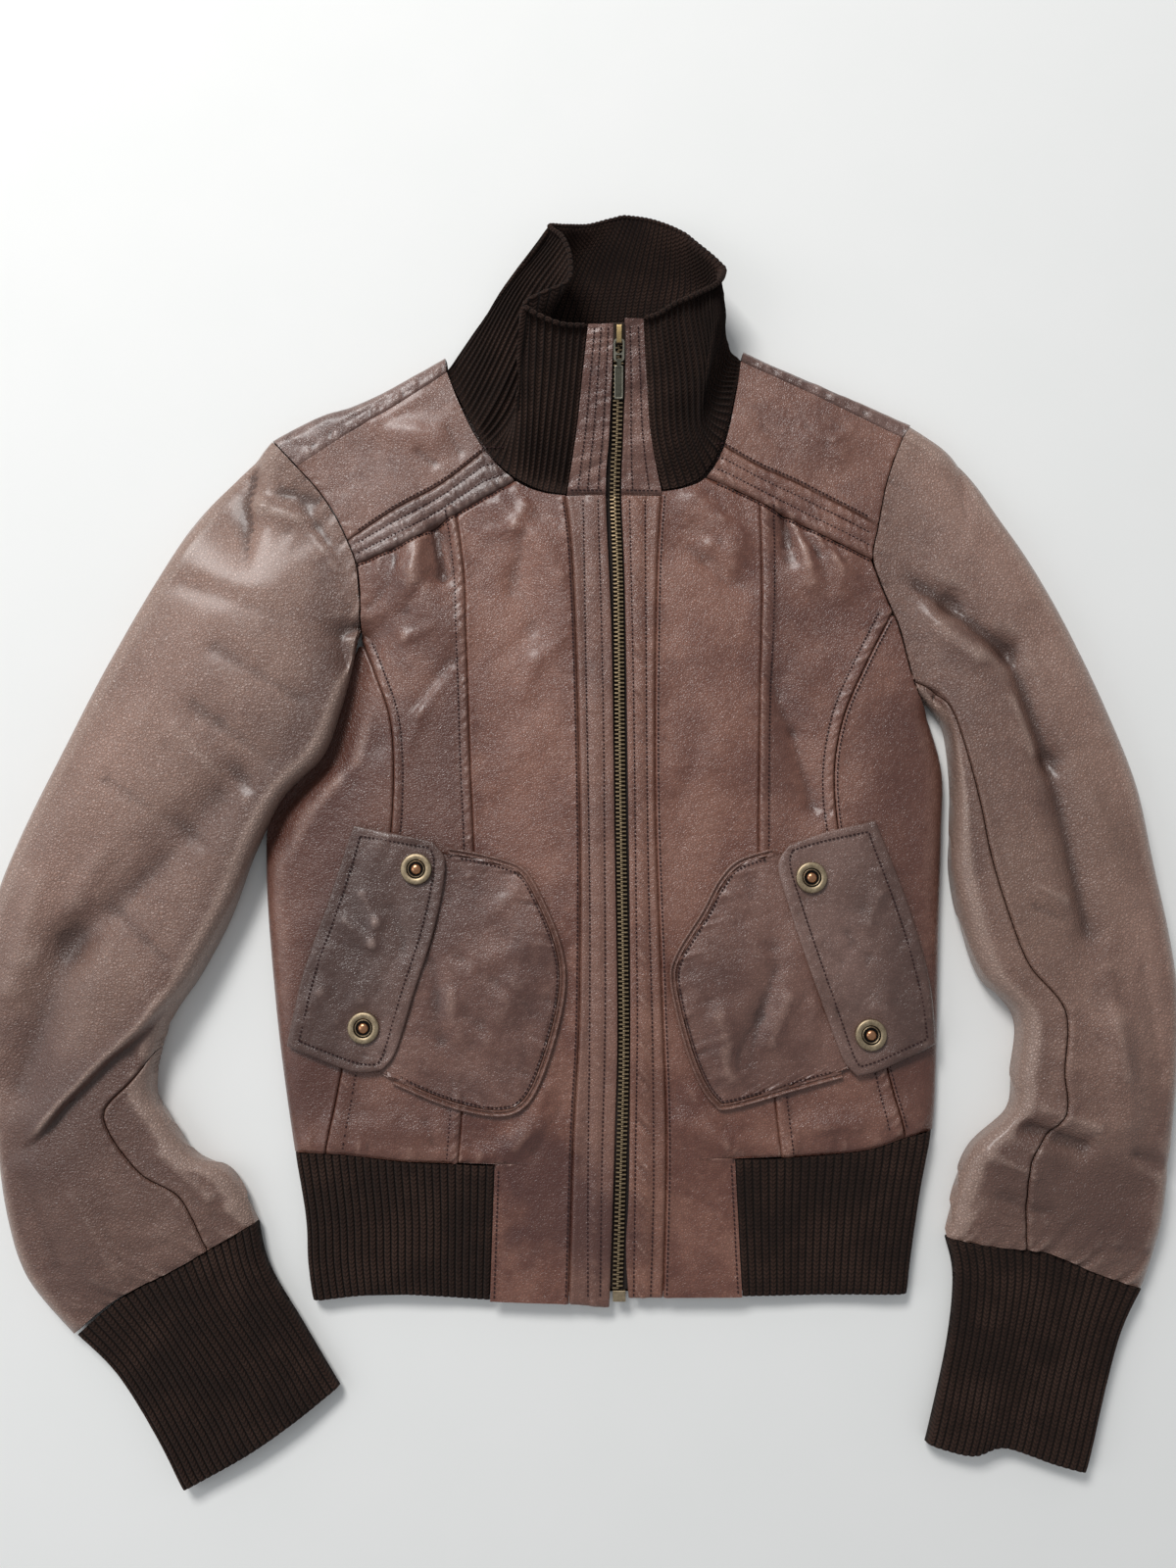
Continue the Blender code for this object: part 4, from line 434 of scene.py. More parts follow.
def body_skin(x, y):
    """The front's finished outer face."""
    inside = np.minimum(x - SIDE_LEFT.x(y), SIDE_RIGHT.x(y) - x)
    near_side = mix(ease(inside / 9.0), 1.0, ease((y - 345.0) / 10.0))
    return body_height(x, y) + seam_relief(x, y) * near_side


def strip_skin(x, y):
    """The front, carried on up the slope of the collar's front."""
    up = np.maximum(y - NECK_Y, 0.0)
    seam = groove(y - NECK_Y - 0.5, 1.0, 0.9) + 0.5 * np.exp(-((y - NECK_Y - 3.5) / 2.2) ** 2)
    crinkle = 0.9 * crumple(x, y, 5.0, 71, 2.2, 8.0) + 0.4 * noise(x, y, 15.0, 72, 2.0, 15.0)
    edges = groove(ZIP_EDGE_LEFT.off_x(x, y) + 3.2, 0.4, 0.7)
    edges = edges + groove(ZIP_EDGE_RIGHT.off_x(x, y) - 3.2, 0.4, 0.7)
    rise = ease(up / 6.0)
    return body_height(x, np.full_like(y, NECK_Y), 0.4) + COLLAR_SLOPE * up + seam + crinkle * rise + edges


# %% [markdown]
# A sheet of leather is a grid of points, thickened inwards to a wall. A few numbers are kept at each
# point for the finish: how far it stands out of its surroundings, how grey or tan it is, where it is
# darker or paler than the rest, partly by its own tone and partly as painted shade and painted
# highlight, and how much a stain darkens it. A knit sheet also counts its ribs.

# %% Making a sheet
JACKET = "jacket"
STAINS = [(-39.5, 70.0, 24.0, 0.9), (-5.5, 37.0, 22.0, 0.8), (-54.0, 81.0, 16.0, 0.7),
          (-91.5, 98.0, 12.0, 0.6), (-34.0, 40.0, 20.0, 0.5), (-60.0, 30.0, 14.0, 0.4)]
# Some of these marks are the leather's own tone. Others are painted shade, on the sleeves' sides next to the
# body, on the body's sides, along seams and in creases. Others are painted highlight on the chest, with paler
# patches on the upper arms.
TONE_AND_PAINTED_LIGHT = [  # where the leather is darker (above 0) or paler than the rest: from, to, width, amount
    (-168, 372, -200, 285, 16, 0.8), (-200, 285, -245, 190, 18, 0.9), (-262, 150, -330, 90, 24, 0.7),
    (-300, 110, -255, 60, 34, 0.7), (-330, 60, -290, 0, 30, 0.6), (-225, 300, -318, 205, 12, 0.45),
    (-318, 205, -343, 126, 16, 0.6), (-224, 440, -290, 330, 30, -0.8), (-300, 300, -335, 230, 24, -0.7),
    (198, 490, 240, 420, 22, -0.8), (262, 380, 300, 300, 16, -0.5), (306, 230, 312, 150, 12, -0.6),
    (180, 425, 236, 376, 9, 0.5), (236, 376, 276, 211, 11, 0.5), (215, 90, 300, 60, 28, 0.7),
    (205, 300, 205, 250, 12, 0.7), (240, 150, 230, 100, 16, 0.7), (230, 60, 290, 30, 26, 0.7),
    (-115, 330, -110, 215, 24, 0.8), (-165, 330, -175, 120, 28, 1.0), (175, 330, 170, 120, 22, 0.8),
    (-100, 400, -98, 300, 9, 0.5), (98, 430, 96, 300, 9, 0.4), (-178, 420, -165, 380, 14, 0.6),
    (-55, 440, -55, 250, 24, -0.55), (55, 430, 55, 300, 22, -0.3), (-150, 105, -110, 95, 15, 0.4),
    (-137, 528, -120, 515, 16, -0.5), (63, 184, 80, 150, 34, 0.5), (135, 215, 150, 160, 15, -0.45),
    (-140, 250, -150, 180, 15, 0.35), (-120, 400, -140, 430, 14, 0.4), (125, 400, 140, 425, 14, 0.35)]
NARROWEST = 0.0101       # no cut is stated narrower than this, in metres
made = []


def blurred(grid, passes):
    for _ in range(passes):
        p = np.pad(grid, ((1, 1), (1, 1), (0, 0)), mode="edge")
        grid = (p[:-2, 1:-1] + p[2:, 1:-1] + p[1:-1, :-2] + p[1:-1, 2:] + 4 * p[1:-1, 1:-1]) / 8
    return grid


def normals(grid):
    flow = np.cross(np.gradient(grid, axis=1), np.gradient(grid, axis=0))
    return flow / np.maximum(np.linalg.norm(flow, axis=2, keepdims=True), 1e-9)


def rise_of(grid):
    """How far each point stands out of the surface around it, in millimetres."""
    n = normals(grid)
    fine = np.sum((grid - blurred(grid, 8)) * n, axis=2)
    broad = np.sum((grid - blurred(grid, 60)) * n, axis=2)
    return fine * 1.8 + broad * 0.2


def skin_mesh(name, patches, merge=0.02):
    """An open surface from one or more grids, each (points, uv, values)."""
    points, faces, uvs, values = [], [], [], {}
    start = 0
    for grid, uv, extra in patches:
        rows, columns = grid.shape[:2]
        index = np.arange(rows * columns).reshape(rows, columns) + start
        quads = np.stack([index[:-1, :-1], index[:-1, 1:], index[1:, 1:], index[1:, :-1]], axis=-1)
        faces.append(quads.reshape(-1, 4))
        points.append(grid.reshape(-1, 3))
        uvs.append(uv.reshape(-1, 2))
        for key, value in extra.items():
            values.setdefault(key, []).append(np.broadcast_to(value, (rows, columns)).reshape(-1))
        start += rows * columns
    points = (np.concatenate(points) - HOME) * MM
    faces = np.concatenate(faces)
    uvs = np.concatenate(uvs)
    data = bpy.data.meshes.new(name)
    data.from_pydata(points.tolist(), [], faces.tolist())
    layer = data.uv_layers.new(name="cloth")
    loops = np.zeros(len(data.loops), dtype=np.int32)
    data.loops.foreach_get("vertex_index", loops)
    layer.data.foreach_set("uv", uvs[loops].astype(np.float32).reshape(-1))
    for key, value in values.items():
        field = data.attributes.new(key, "FLOAT", "POINT")
        field.data.foreach_set("value", np.concatenate(value).astype(np.float32))
    if merge:
        mesh = bmesh.new()
        mesh.from_mesh(data)
        bmesh.ops.remove_doubles(mesh, verts=mesh.verts[:], dist=merge * MM)
        mesh.to_mesh(data)
        mesh.free()
    return data


def freeze(thing, angle=55.0):
    """Apply the modifiers of a piece and keep its borders crisp."""
    graph = bpy.context.evaluated_depsgraph_get()
    data = bpy.data.meshes.new_from_object(thing.evaluated_get(graph))
    thing.modifiers.clear()
    thing.data = data
    data.shade_smooth()
    data.set_sharp_from_angle(angle=math.radians(angle))


def place(name, data, slot, material, body=JACKET):
    thing = bpy.data.objects.new(name, data)
    bpy.context.scene.collection.objects.link(thing)
    data.materials.clear()
    data.materials.append(material)
    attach(thing, body)
    return thing


def runs(points, axis=0):
    """Distance travelled along one direction of a grid, or along a path, from its first point."""
    steps = np.linalg.norm(np.diff(points, axis=axis), axis=-1)
    return np.concatenate([np.zeros_like(np.take(steps, [0], axis)), np.cumsum(steps, axis=axis)], axis=axis)


def arc(points, axis):
    return np.linalg.norm(np.diff(points, axis=axis), axis=2).sum(axis=axis)


def sheet(node, slot, material, grid, thick, facing=1, rests=(), grey=0.0, tan=0.0, phase=0.0,
          smooth=None, extra=()):
    """A cloth piece that stands for a node of the solids, from one grid and perhaps more."""
    patches = []
    cut_width, cut_length, cut_area = 0.0, 0.0, 0.0
    for k, points in enumerate((grid, *extra)):
        if facing < 0:
            points = points[:, ::-1]
        uv = np.stack([runs(points, 1), runs(points, 0)], axis=-1)
        stain = folds(points[..., 0], points[..., 1], [(a, b, a + 0.1, b, r, s) for a, b, r, s in STAINS])
        # Own darker and paler tone of the leather together with painted shade and painted highlight.
        tone_and_painted_light = folds(points[..., 0], points[..., 1], TONE_AND_PAINTED_LIGHT)
        values = {"grey": grey, "tan": tan, "phase": phase}
        if facing < 0:
            values = {key: np.broadcast_to(value, tone_and_painted_light.shape)[:, ::-1] for key, value in values.items()}
        patches.append((points, uv, {"rise": rise_of(points), "stain": stain, "tone_and_painted_light": tone_and_painted_light, **values}))
        plain = blurred(points, 2) if smooth is None else smooth
        edge_a, edge_b = np.diff(plain, axis=1)[:-1], np.diff(plain, axis=0)[:, :-1]
        area = np.linalg.norm(np.cross(edge_a, edge_b), axis=2).sum()
        cut_area += area
        if k == 0:
            cut_width, cut_length = arc(plain, 1).max(), arc(plain, 0).max()
        else:
            cut_length += arc(plain, 0).max() * area / cut_area
    data = skin_mesh(node + "_cloth", patches)
    thing = place(node + "_cloth", data, slot, material)
    wall = thing.modifiers.new("wall", "SOLIDIFY")
    wall.thickness = thick * MM
    wall.offset = -1.0
    freeze(thing)
    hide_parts(node)
    size = (max(cut_width * MM, NARROWEST), max(cut_length * MM, NARROWEST))
    area = min(max(cut_area * 1e-6, 0.31 * size[0] * size[1]), size[0] * size[1])
    made.append((node, round(size[0] * 1000), round(size[1] * 1000), round(area * 10000)))
    print(node, "cut", made[-1][1], "x", made[-1][2], "mm,", made[-1][3], "square cm,",
          len(data.polygons), "faces")
    return thing


# %% [markdown]
# Leather is a brown film over a pebbled hide. Light catches its pores, the film rubs off on ridges,
# which are painted paler as rubbed wear and painted highlight, the hollows are painted darker as
# painted shade, and years of wear leave greyer and tanner areas. Each of these is a small node
# group with named inputs, so that the jacket's leathers can share them with values of their own.

# %% Helpers for shader nodes
def node(tree, kind, sockets=None, **settings):
    """A shader node, with its settings and with values or links for its sockets."""
    made_node = tree.nodes.new("ShaderNode" + kind)
    for key, value in settings.items():
        setattr(made_node, key, value)
    for key, value in (sockets or {}).items():
        socket = made_node.inputs[key]
        if isinstance(value, bpy.types.NodeSocket):
            tree.links.new(value, socket)
        else:
            socket.default_value = value
    return made_node


def new_group(name, inputs, outputs):
    tree = bpy.data.node_groups.new(name, "ShaderNodeTree")
    kinds = {"float": "NodeSocketFloat", "colour": "NodeSocketColor"}
    for label, kind, start in inputs:
        socket = tree.interface.new_socket(label, in_out="INPUT", socket_type=kinds[kind])
        socket.default_value = start
    for label, kind in outputs:
        tree.interface.new_socket(label, in_out="OUTPUT", socket_type=kinds[kind])
    return tree, tree.nodes.new("NodeGroupInput").outputs, tree.nodes.new("NodeGroupOutput").inputs


def use(tree, group, **sockets):
    holder = tree.nodes.new("ShaderNodeGroup")
    holder.node_tree = group
    for key, value in sockets.items():
        socket = holder.inputs[key.replace("_", " ")]
        if isinstance(value, bpy.types.NodeSocket):
            tree.links.new(value, socket)
        else:
            socket.default_value = value
    return holder.outputs


def math_node(tree, kind, a, b=0.0, clamp=False):
    return node(tree, "Math", {0: a, 1: b}, operation=kind, use_clamp=clamp).outputs[0]


def blend(tree, factor, a, b, kind="MIX"):
    return node(tree, "Mix", {0: factor, 6: a, 7: b}, data_type="RGBA", blend_type=kind).outputs[2]


def in_mm(tree, size):
    """Places on the object, counted in bumps of a given size in millimetres."""
    place_node = node(tree, "TexCoord").outputs["Object"]
    per_mm = node(tree, "VectorMath", {0: place_node, 3: 1000.0}, operation="SCALE").outputs[0]
    whole = math_node(tree, "DIVIDE", 1.0, size)
    return node(tree, "VectorMath", {0: per_mm, 3: whole}, operation="SCALE").outputs[0]


def ramp(tree, value, low, high, out_low=0.0, out_high=1.0):
    sockets = {"Value": value, "From Min": low, "From Max": high, "To Min": out_low, "To Max": out_high}
    return node(tree, "MapRange", sockets, clamp=True).outputs[0]


def new_material(name):
    """A material with its node tree and its main shader."""
    material = bpy.data.materials.new(name)
    material.use_nodes = True
    return material, material.node_tree, material.node_tree.nodes["Principled BSDF"]


def stored(tree, key):
    """A number that a sheet keeps at each of its points."""
    return node(tree, "Attribute", attribute_name=key).outputs["Fac"]


def faded(colour, by):
    """A colour made darker or paler, with its opacity."""
    return (*[min(1.0, c * by) for c in colour], 1)


def clouds(tree, size, detail, **more):
    """Cloudy noise with patches of a given size in millimetres."""
    sockets = {"Vector": in_mm(tree, size), "Scale": 1.0, "Detail": detail, **more}
    return node(tree, "TexNoise", sockets).outputs[0]


def bumped(tree, height, strength, distance, under=None):
    """Fine relief of a finish, on top of another if there is one."""
    sockets = {"Height": height, "Strength": strength, "Distance": distance}
    if under is not None:
        sockets["Normal"] = under
    return node(tree, "Bump", sockets).outputs[0]


# %% Grain, mottling, wear and painted light
GRAIN, gin, gout = new_group("leather_grain", [("Cell", "float", 1.0), ("Fine", "float", 0.4)],
                             [("Height", "float"), ("Pores", "float")])
spots = in_mm(GRAIN, gin["Cell"])
wobble = node(GRAIN, "TexNoise", {"Vector": spots, "Scale": 0.9, "Detail": 2.0}).outputs["Color"]
bent = node(GRAIN, "VectorMath", {0: spots, 1: wobble}, operation="ADD").outputs[0]
cells = node(GRAIN, "TexVoronoi", {"Vector": bent, "Scale": 1.0}, feature="DISTANCE_TO_EDGE").outputs[0]
pillow = ramp(GRAIN, cells, 0.0, 0.34)
small = node(GRAIN, "TexVoronoi", {"Vector": bent, "Scale": 2.3}, feature="F1").outputs[0]
fine_part = math_node(GRAIN, "MULTIPLY", math_node(GRAIN, "SUBTRACT", 1.0, small), gin["Fine"])
GRAIN.links.new(math_node(GRAIN, "ADD", pillow, fine_part), gout["Height"])
GRAIN.links.new(math_node(GRAIN, "SUBTRACT", 1.0, pillow), gout["Pores"])

WRINKLES, gin, gout = new_group("leather_wrinkles", [("Size", "float", 9.0), ("Stretch", "float", 1.8)],
                                [("Height", "float")])
spots = in_mm(WRINKLES, gin["Size"])
wobble = node(WRINKLES, "TexNoise", {"Vector": spots, "Scale": 0.7, "Detail": 3.0}).outputs["Color"]
bent = node(WRINKLES, "VectorMath", {0: spots, 1: wobble}, operation="ADD").outputs[0]
slant = node(WRINKLES, "VectorRotate", {"Vector": bent, "Angle": 0.6}, rotation_type="Z_AXIS").outputs[0]
parts_of = node(WRINKLES, "SeparateXYZ", {0: slant}).outputs
longer = math_node(WRINKLES, "DIVIDE", parts_of[0], gin["Stretch"])
drawn = node(WRINKLES, "CombineXYZ", {0: longer, 1: parts_of[1], 2: parts_of[2]}).outputs[0]
lines = node(WRINKLES, "TexVoronoi", {"Vector": drawn, "Scale": 1.0}, feature="DISTANCE_TO_EDGE").outputs[0]
threads = node(WRINKLES, "TexVoronoi", {"Vector": drawn, "Scale": 2.7}, feature="DISTANCE_TO_EDGE").outputs[0]
both = math_node(WRINKLES, "ADD", ramp(WRINKLES, lines, 0.0, 0.16),
                 math_node(WRINKLES, "MULTIPLY", ramp(WRINKLES, threads, 0.0, 0.2), 0.45))
WRINKLES.links.new(both, gout["Height"])

MOTTLE, gin, gout = new_group(
    "mottled_colour",
    [("Colour", "colour", (0.2, 0.1, 0.08, 1)), ("Deep", "colour", (0.1, 0.05, 0.04, 1)),
     ("Pale", "colour", (0.3, 0.18, 0.15, 1)), ("Patch", "float", 46.0), ("Amount", "float", 0.6)],
    [("Color", "colour"), ("Mask", "float")])
wide_noise = clouds(MOTTLE, gin["Patch"], 5.0, Roughness=0.62)
spot_size = math_node(MOTTLE, "MULTIPLY", gin["Patch"], 0.13)
close_noise = clouds(MOTTLE, spot_size, 4.0, Roughness=0.7)
deep = math_node(MOTTLE, "MULTIPLY", ramp(MOTTLE, wide_noise, 0.58, 0.36), gin["Amount"])
pale = math_node(MOTTLE, "MULTIPLY", ramp(MOTTLE, wide_noise, 0.5, 0.72), gin["Amount"])
specks = math_node(MOTTLE, "MULTIPLY", ramp(MOTTLE, close_noise, 0.5, 0.75), gin["Amount"])
first = blend(MOTTLE, deep, gin["Colour"], gin["Deep"])
second = blend(MOTTLE, pale, first, gin["Pale"])
third = blend(MOTTLE, math_node(MOTTLE, "MULTIPLY", specks, 0.5), second, gin["Pale"])
MOTTLE.links.new(third, gout["Color"])
MOTTLE.links.new(close_noise, gout["Mask"])

WEAR_AND_PAINTED_LIGHT, gin, gout = new_group(
    "worn_ridges_and_painted_light",
    [("Color", "colour", (0.2, 0.1, 0.08, 1)), ("Worn", "colour", (0.4, 0.26, 0.2, 1)),
     ("Hollow", "colour", (0.06, 0.03, 0.025, 1)), ("Amount", "float", 1.0)],
    [("Color", "colour"), ("Worn mask", "float")])
# Ridges take the Worn colour, partly rubbed wear and partly painted highlight. Hollows take the Hollow
# colour, which is painted shade.
rise = stored(WEAR_AND_PAINTED_LIGHT, "rise")
broken = clouds(WEAR_AND_PAINTED_LIGHT, 3.2, 5.0, Roughness=0.7)
uneven = math_node(WEAR_AND_PAINTED_LIGHT, "ADD", rise, ramp(WEAR_AND_PAINTED_LIGHT, broken, 0.25, 0.75, -0.35, 0.35))
rubbed_and_painted_highlight = math_node(WEAR_AND_PAINTED_LIGHT, "MULTIPLY", ramp(WEAR_AND_PAINTED_LIGHT, uneven, 0.55, 2.1), gin["Amount"])
painted_hollow_shade = math_node(WEAR_AND_PAINTED_LIGHT, "MULTIPLY", ramp(WEAR_AND_PAINTED_LIGHT, uneven, -0.2, -1.7), gin["Amount"])
WEAR_AND_PAINTED_LIGHT.links.new(blend(WEAR_AND_PAINTED_LIGHT, painted_hollow_shade, blend(WEAR_AND_PAINTED_LIGHT, rubbed_and_painted_highlight, gin["Color"], gin["Worn"]), gin["Hollow"]),
               gout["Color"])
WEAR_AND_PAINTED_LIGHT.links.new(rubbed_and_painted_highlight, gout["Worn mask"])


# %% Leather finishes
def leather(name, colour, deep, pale, worn, rough, cell, wear_and_painted_light, grain_depth):
    material, tree, shader = new_material(name)
    base = use(tree, MOTTLE, Colour=(*colour, 1), Deep=(*deep, 1), Pale=(*pale, 1), Patch=46.0,
               Amount=0.95)
    grey, tan, stain, tone_and_painted_light = (stored(tree, key) for key in ("grey", "tan", "stain", "tone_and_painted_light"))
    greyer = blend(tree, grey, base["Color"], (0.265, 0.165, 0.130, 1))
    tanner = blend(tree, tan, greyer, (0.38, 0.20, 0.125, 1))
    # Paler below 0, as own tone and painted highlight. Darker above 0, as own tone and painted shade.
    paler_and_painted_highlight = blend(tree, ramp(tree, tone_and_painted_light, 0.0, -1.0, 0.0, 0.75), tanner, faded(pale, 1.25))
    deeper_and_painted_shade = blend(tree, ramp(tree, tone_and_painted_light, 0.0, 1.0, 0.0, 0.8), paler_and_painted_highlight, faded(deep, 0.75))
    splash = clouds(tree, 11.0, 6.0)
    spill = ramp(tree, math_node(tree, "ADD", stain, splash), 0.62, 1.15, 0.0, 0.72)
    stained = blend(tree, spill, deeper_and_painted_shade, (0.06, 0.016, 0.014, 1))
    # Hollow is painted shade in the creases. Worn is rubbed wear together with painted highlight on the
    # ridges.
    finished = use(tree, WEAR_AND_PAINTED_LIGHT, Color=stained, Worn=(*worn, 1), Hollow=faded(deep, 0.3), Amount=wear_and_painted_light)
    grain = use(tree, GRAIN, Cell=cell, Fine=0.5)
    wrinkle = use(tree, WRINKLES, Size=9.0, Stretch=1.8)
    pores = math_node(tree, "MULTIPLY", grain["Pores"], 0.45)
    coloured = blend(tree, pores, finished["Color"], faded(colour, 0.35))
    scratch = clouds(tree, 1.3, 8.0, Roughness=0.8, Distortion=1.5)
    scar = ramp(tree, scratch, 0.69, 0.76, 0.0, 0.35)
    scarred = blend(tree, scar, coloured, faded(pale, 1.6))
    tree.links.new(scarred, shader.inputs["Base Color"])
    gloss = math_node(tree, "ADD", ramp(tree, base["Mask"], 0.3, 0.7, rough - 0.07, rough + 0.07),
                      math_node(tree, "MULTIPLY", finished["Worn mask"], -0.05))
    tree.links.new(gloss, shader.inputs["Roughness"])
    shader.inputs["Specular IOR Level"].default_value = 0.55
    shader.inputs["Coat Weight"].default_value = 0.3
    shader.inputs["Coat Roughness"].default_value = 0.24
    pebbled = bumped(tree, grain["Height"], grain_depth, 0.0003)
    wrinkled = bumped(tree, wrinkle["Height"], 0.28, 0.0004, pebbled)
    tree.links.new(bumped(tree, clouds(tree, 4.0, 6.0), 0.35, 0.001, wrinkled), shader.inputs["Normal"])
    return material


BODY_LEATHER = leather("body_leather", (0.215, 0.087, 0.058), (0.115, 0.036, 0.024),
                       (0.300, 0.142, 0.100), (0.44, 0.26, 0.20), 0.33, 1.5, 0.7, 0.6)
GREY_LEATHER = leather("greyed_leather", (0.165, 0.085, 0.067), (0.085, 0.040, 0.031),
                       (0.265, 0.160, 0.134), (0.44, 0.31, 0.265), 0.31, 1.4, 0.8, 0.5)
SLEEVE_LEATHER = leather("sleeve_leather", (0.248, 0.130, 0.094), (0.125, 0.055, 0.040),
                         (0.350, 0.210, 0.162), (0.46, 0.32, 0.26), 0.37, 1.8, 0.65, 0.9)
POCKET_LEATHER = leather("pocket_leather", (0.192, 0.088, 0.065), (0.100, 0.040, 0.030),
                         (0.262, 0.138, 0.105), (0.40, 0.25, 0.2), 0.34, 1.5, 0.8, 0.55)
print("leathers:", [m.name for m in (BODY_LEATHER, GREY_LEATHER, SLEEVE_LEATHER, POCKET_LEATHER)])


# %% [markdown]
# The collar, cuffs and hem are rib knit: dark chocolate wool with raised ribs. The ribs are real
# relief. The single stitches on them are small V shapes, which the finish draws from the sheet's own
# measure across and along the ribs, so that they follow every bend. The gaps between the ribs and
# between the loops are painted near black, as painted shade.

# %% Knit, tape, thread and metal finishes
def cloth_place(tree):
    across = node(tree, "SeparateXYZ", {0: node(tree, "UVMap", uv_map="cloth").outputs[0]}).outputs
    return across[0], across[1]


VEES, gin, gout = new_group("knit_stitches", [("Tall", "float", 2.3), ("Slant", "float", 1.3)],
                            [("Height", "float"), ("Rib", "float")])
phase = stored(VEES, "phase")
column = math_node(VEES, "PINGPONG", phase, 0.5)
lifted = math_node(VEES, "ADD", math_node(VEES, "DIVIDE", cloth_place(VEES)[1], gin["Tall"]),
                   math_node(VEES, "MULTIPLY", column, gin["Slant"]))
loops_wave = math_node(VEES, "SINE", math_node(VEES, "MULTIPLY", lifted, TURN))
rib_top = ramp(VEES, column, 0.04, 0.17)
legs = math_node(VEES, "MULTIPLY", ramp(VEES, loops_wave, -1.0, 0.6, 0.3, 1.0),
                 ramp(VEES, column, 0.5, 0.41, 0.55, 1.0))
VEES.links.new(math_node(VEES, "MULTIPLY", legs, rib_top), gout["Height"])
VEES.links.new(rib_top, gout["Rib"])


def knit_finish():
    material, tree, shader = new_material("rib_knit")
    ribbing = use(tree, VEES, Tall=2.3, Slant=1.3)
    stitches = ribbing["Height"]
    base = use(tree, MOTTLE, Colour=(0.032, 0.0155, 0.0105, 1), Deep=(0.015, 0.0075, 0.0055, 1),
               Pale=(0.054, 0.029, 0.021, 1), Patch=30.0, Amount=0.8)
    # The gaps between the ribs are painted near black: painted shade in the grooves.
    top = blend(tree, ribbing["Rib"], (0.005, 0.003, 0.0025, 1), base["Color"])
    # Low places between the stitch loops are painted darker too: painted shade.
    dark = blend(tree, ramp(tree, stitches, 0.75, 0.2, 0.0, 0.8), top, (0.006, 0.0032, 0.0026, 1))
    fuzz = clouds(tree, 0.35, 4.0)
    hairy = blend(tree, ramp(tree, fuzz, 0.55, 0.8, 0.0, 0.4), dark, (0.080, 0.049, 0.037, 1))
    tree.links.new(hairy, shader.inputs["Base Color"])
    shader.inputs["Roughness"].default_value = 0.95
    shader.inputs["Specular IOR Level"].default_value = 0.2
    shader.inputs["Sheen Weight"].default_value = 0.06
    shader.inputs["Sheen Roughness"].default_value = 0.5
    shader.inputs["Sheen Tint"].default_value = (0.55, 0.42, 0.36, 1)
    looped = bumped(tree, stitches, 1.0, 0.0007)
    tree.links.new(bumped(tree, fuzz, 0.5, 0.0003, looped), shader.inputs["Normal"])
    return material


def woven_finish(name, colour, thread):
    """A plain weave, such as the zip's tape, or a twisted thread."""
    material, tree, shader = new_material(name)
    u_here, v_here = cloth_place(tree)
    warp = math_node(tree, "SINE", math_node(tree, "MULTIPLY", u_here, TURN / thread))
    weft = math_node(tree, "SINE", math_node(tree, "MULTIPLY", v_here, TURN / thread))
    weave = math_node(tree, "MULTIPLY", warp, weft)
    fuzz = clouds(tree, 0.5, 3.0)
    shade = blend(tree, ramp(tree, math_node(tree, "ADD", weave, fuzz), -0.4, 1.4),
                  faded(colour, 0.4), faded(colour, 1.5))
    tree.links.new(shade, shader.inputs["Base Color"])
    shader.inputs["Roughness"].default_value = 0.85
    tree.links.new(bumped(tree, weave, 0.7, 0.0002), shader.inputs["Normal"])
    return material


def metal_finish(name, colour, dark, rough, tarnish):
    """Old brass or copper: bright in some patches and brown in others, in a cloudy pattern."""
    material, tree, shader = new_material(name)
    cloud = clouds(tree, 2.6, 6.0, Roughness=0.7)
    marks = clouds(tree, 0.5, 3.0)
    old = ramp(tree, math_node(tree, "ADD", cloud, math_node(tree, "MULTIPLY", marks, 0.4)),
               0.5, 0.95, 1.0 - tarnish, 1.0)
    tree.links.new(blend(tree, old, (*dark, 1), (*colour, 1)), shader.inputs["Base Color"])
    tree.links.new(ramp(tree, marks, 0.3, 0.7, rough - 0.06, rough + 0.12), shader.inputs["Roughness"])
    shader.inputs["Metallic"].default_value = 1.0
    tree.links.new(bumped(tree, marks, 0.25, 0.0001), shader.inputs["Normal"])
    return material


KNIT_FINISH = knit_finish()
TAPE_FINISH = woven_finish("zip_tape_weave", (0.020, 0.012, 0.010), 0.8)
THREAD = woven_finish("seam_thread", (0.040, 0.010, 0.010), 0.5)
BRASS = metal_finish("old_brass", (0.56, 0.45, 0.30), (0.19, 0.14, 0.085), 0.46, 0.8)
ZIP_BRASS = metal_finish("zip_brass", (0.60, 0.45, 0.27), (0.16, 0.11, 0.06), 0.30, 0.7)
PANEL_BRASS = metal_finish("panel_brass", (0.16, 0.155, 0.12), (0.07, 0.065, 0.05), 0.45, 0.85)
GREY_BRASS = metal_finish("grey_brass", (0.38, 0.36, 0.29), (0.15, 0.14, 0.11), 0.40, 0.8)
GOLD_BRASS = metal_finish("gold_brass", (0.72, 0.52, 0.25), (0.30, 0.20, 0.09), 0.32, 0.6)
DARK_METAL = metal_finish("dark_metal", (0.075, 0.055, 0.045), (0.03, 0.02, 0.016), 0.36, 0.8)
COPPER = metal_finish("copper_gold", (0.66, 0.34, 0.18), (0.30, 0.14, 0.08), 0.26, 0.6)
BLACK_METAL = metal_finish("black_ring", (0.02, 0.017, 0.016), (0.008, 0.007, 0.007), 0.3, 0.7)
print("finishes:", len(bpy.data.materials))


# %% [markdown]
# The front is cut in panels that run up the jacket. A panel's grid has more columns close to its
# seams, where the leather bends down sharply, and an even pitch of 1.9 mm between them.

# %% Grids for the panels
PITCH = 1.9
CLOSE = (0.0, 0.35, 0.8, 1.4, 2.1, 3.0, 4.0)


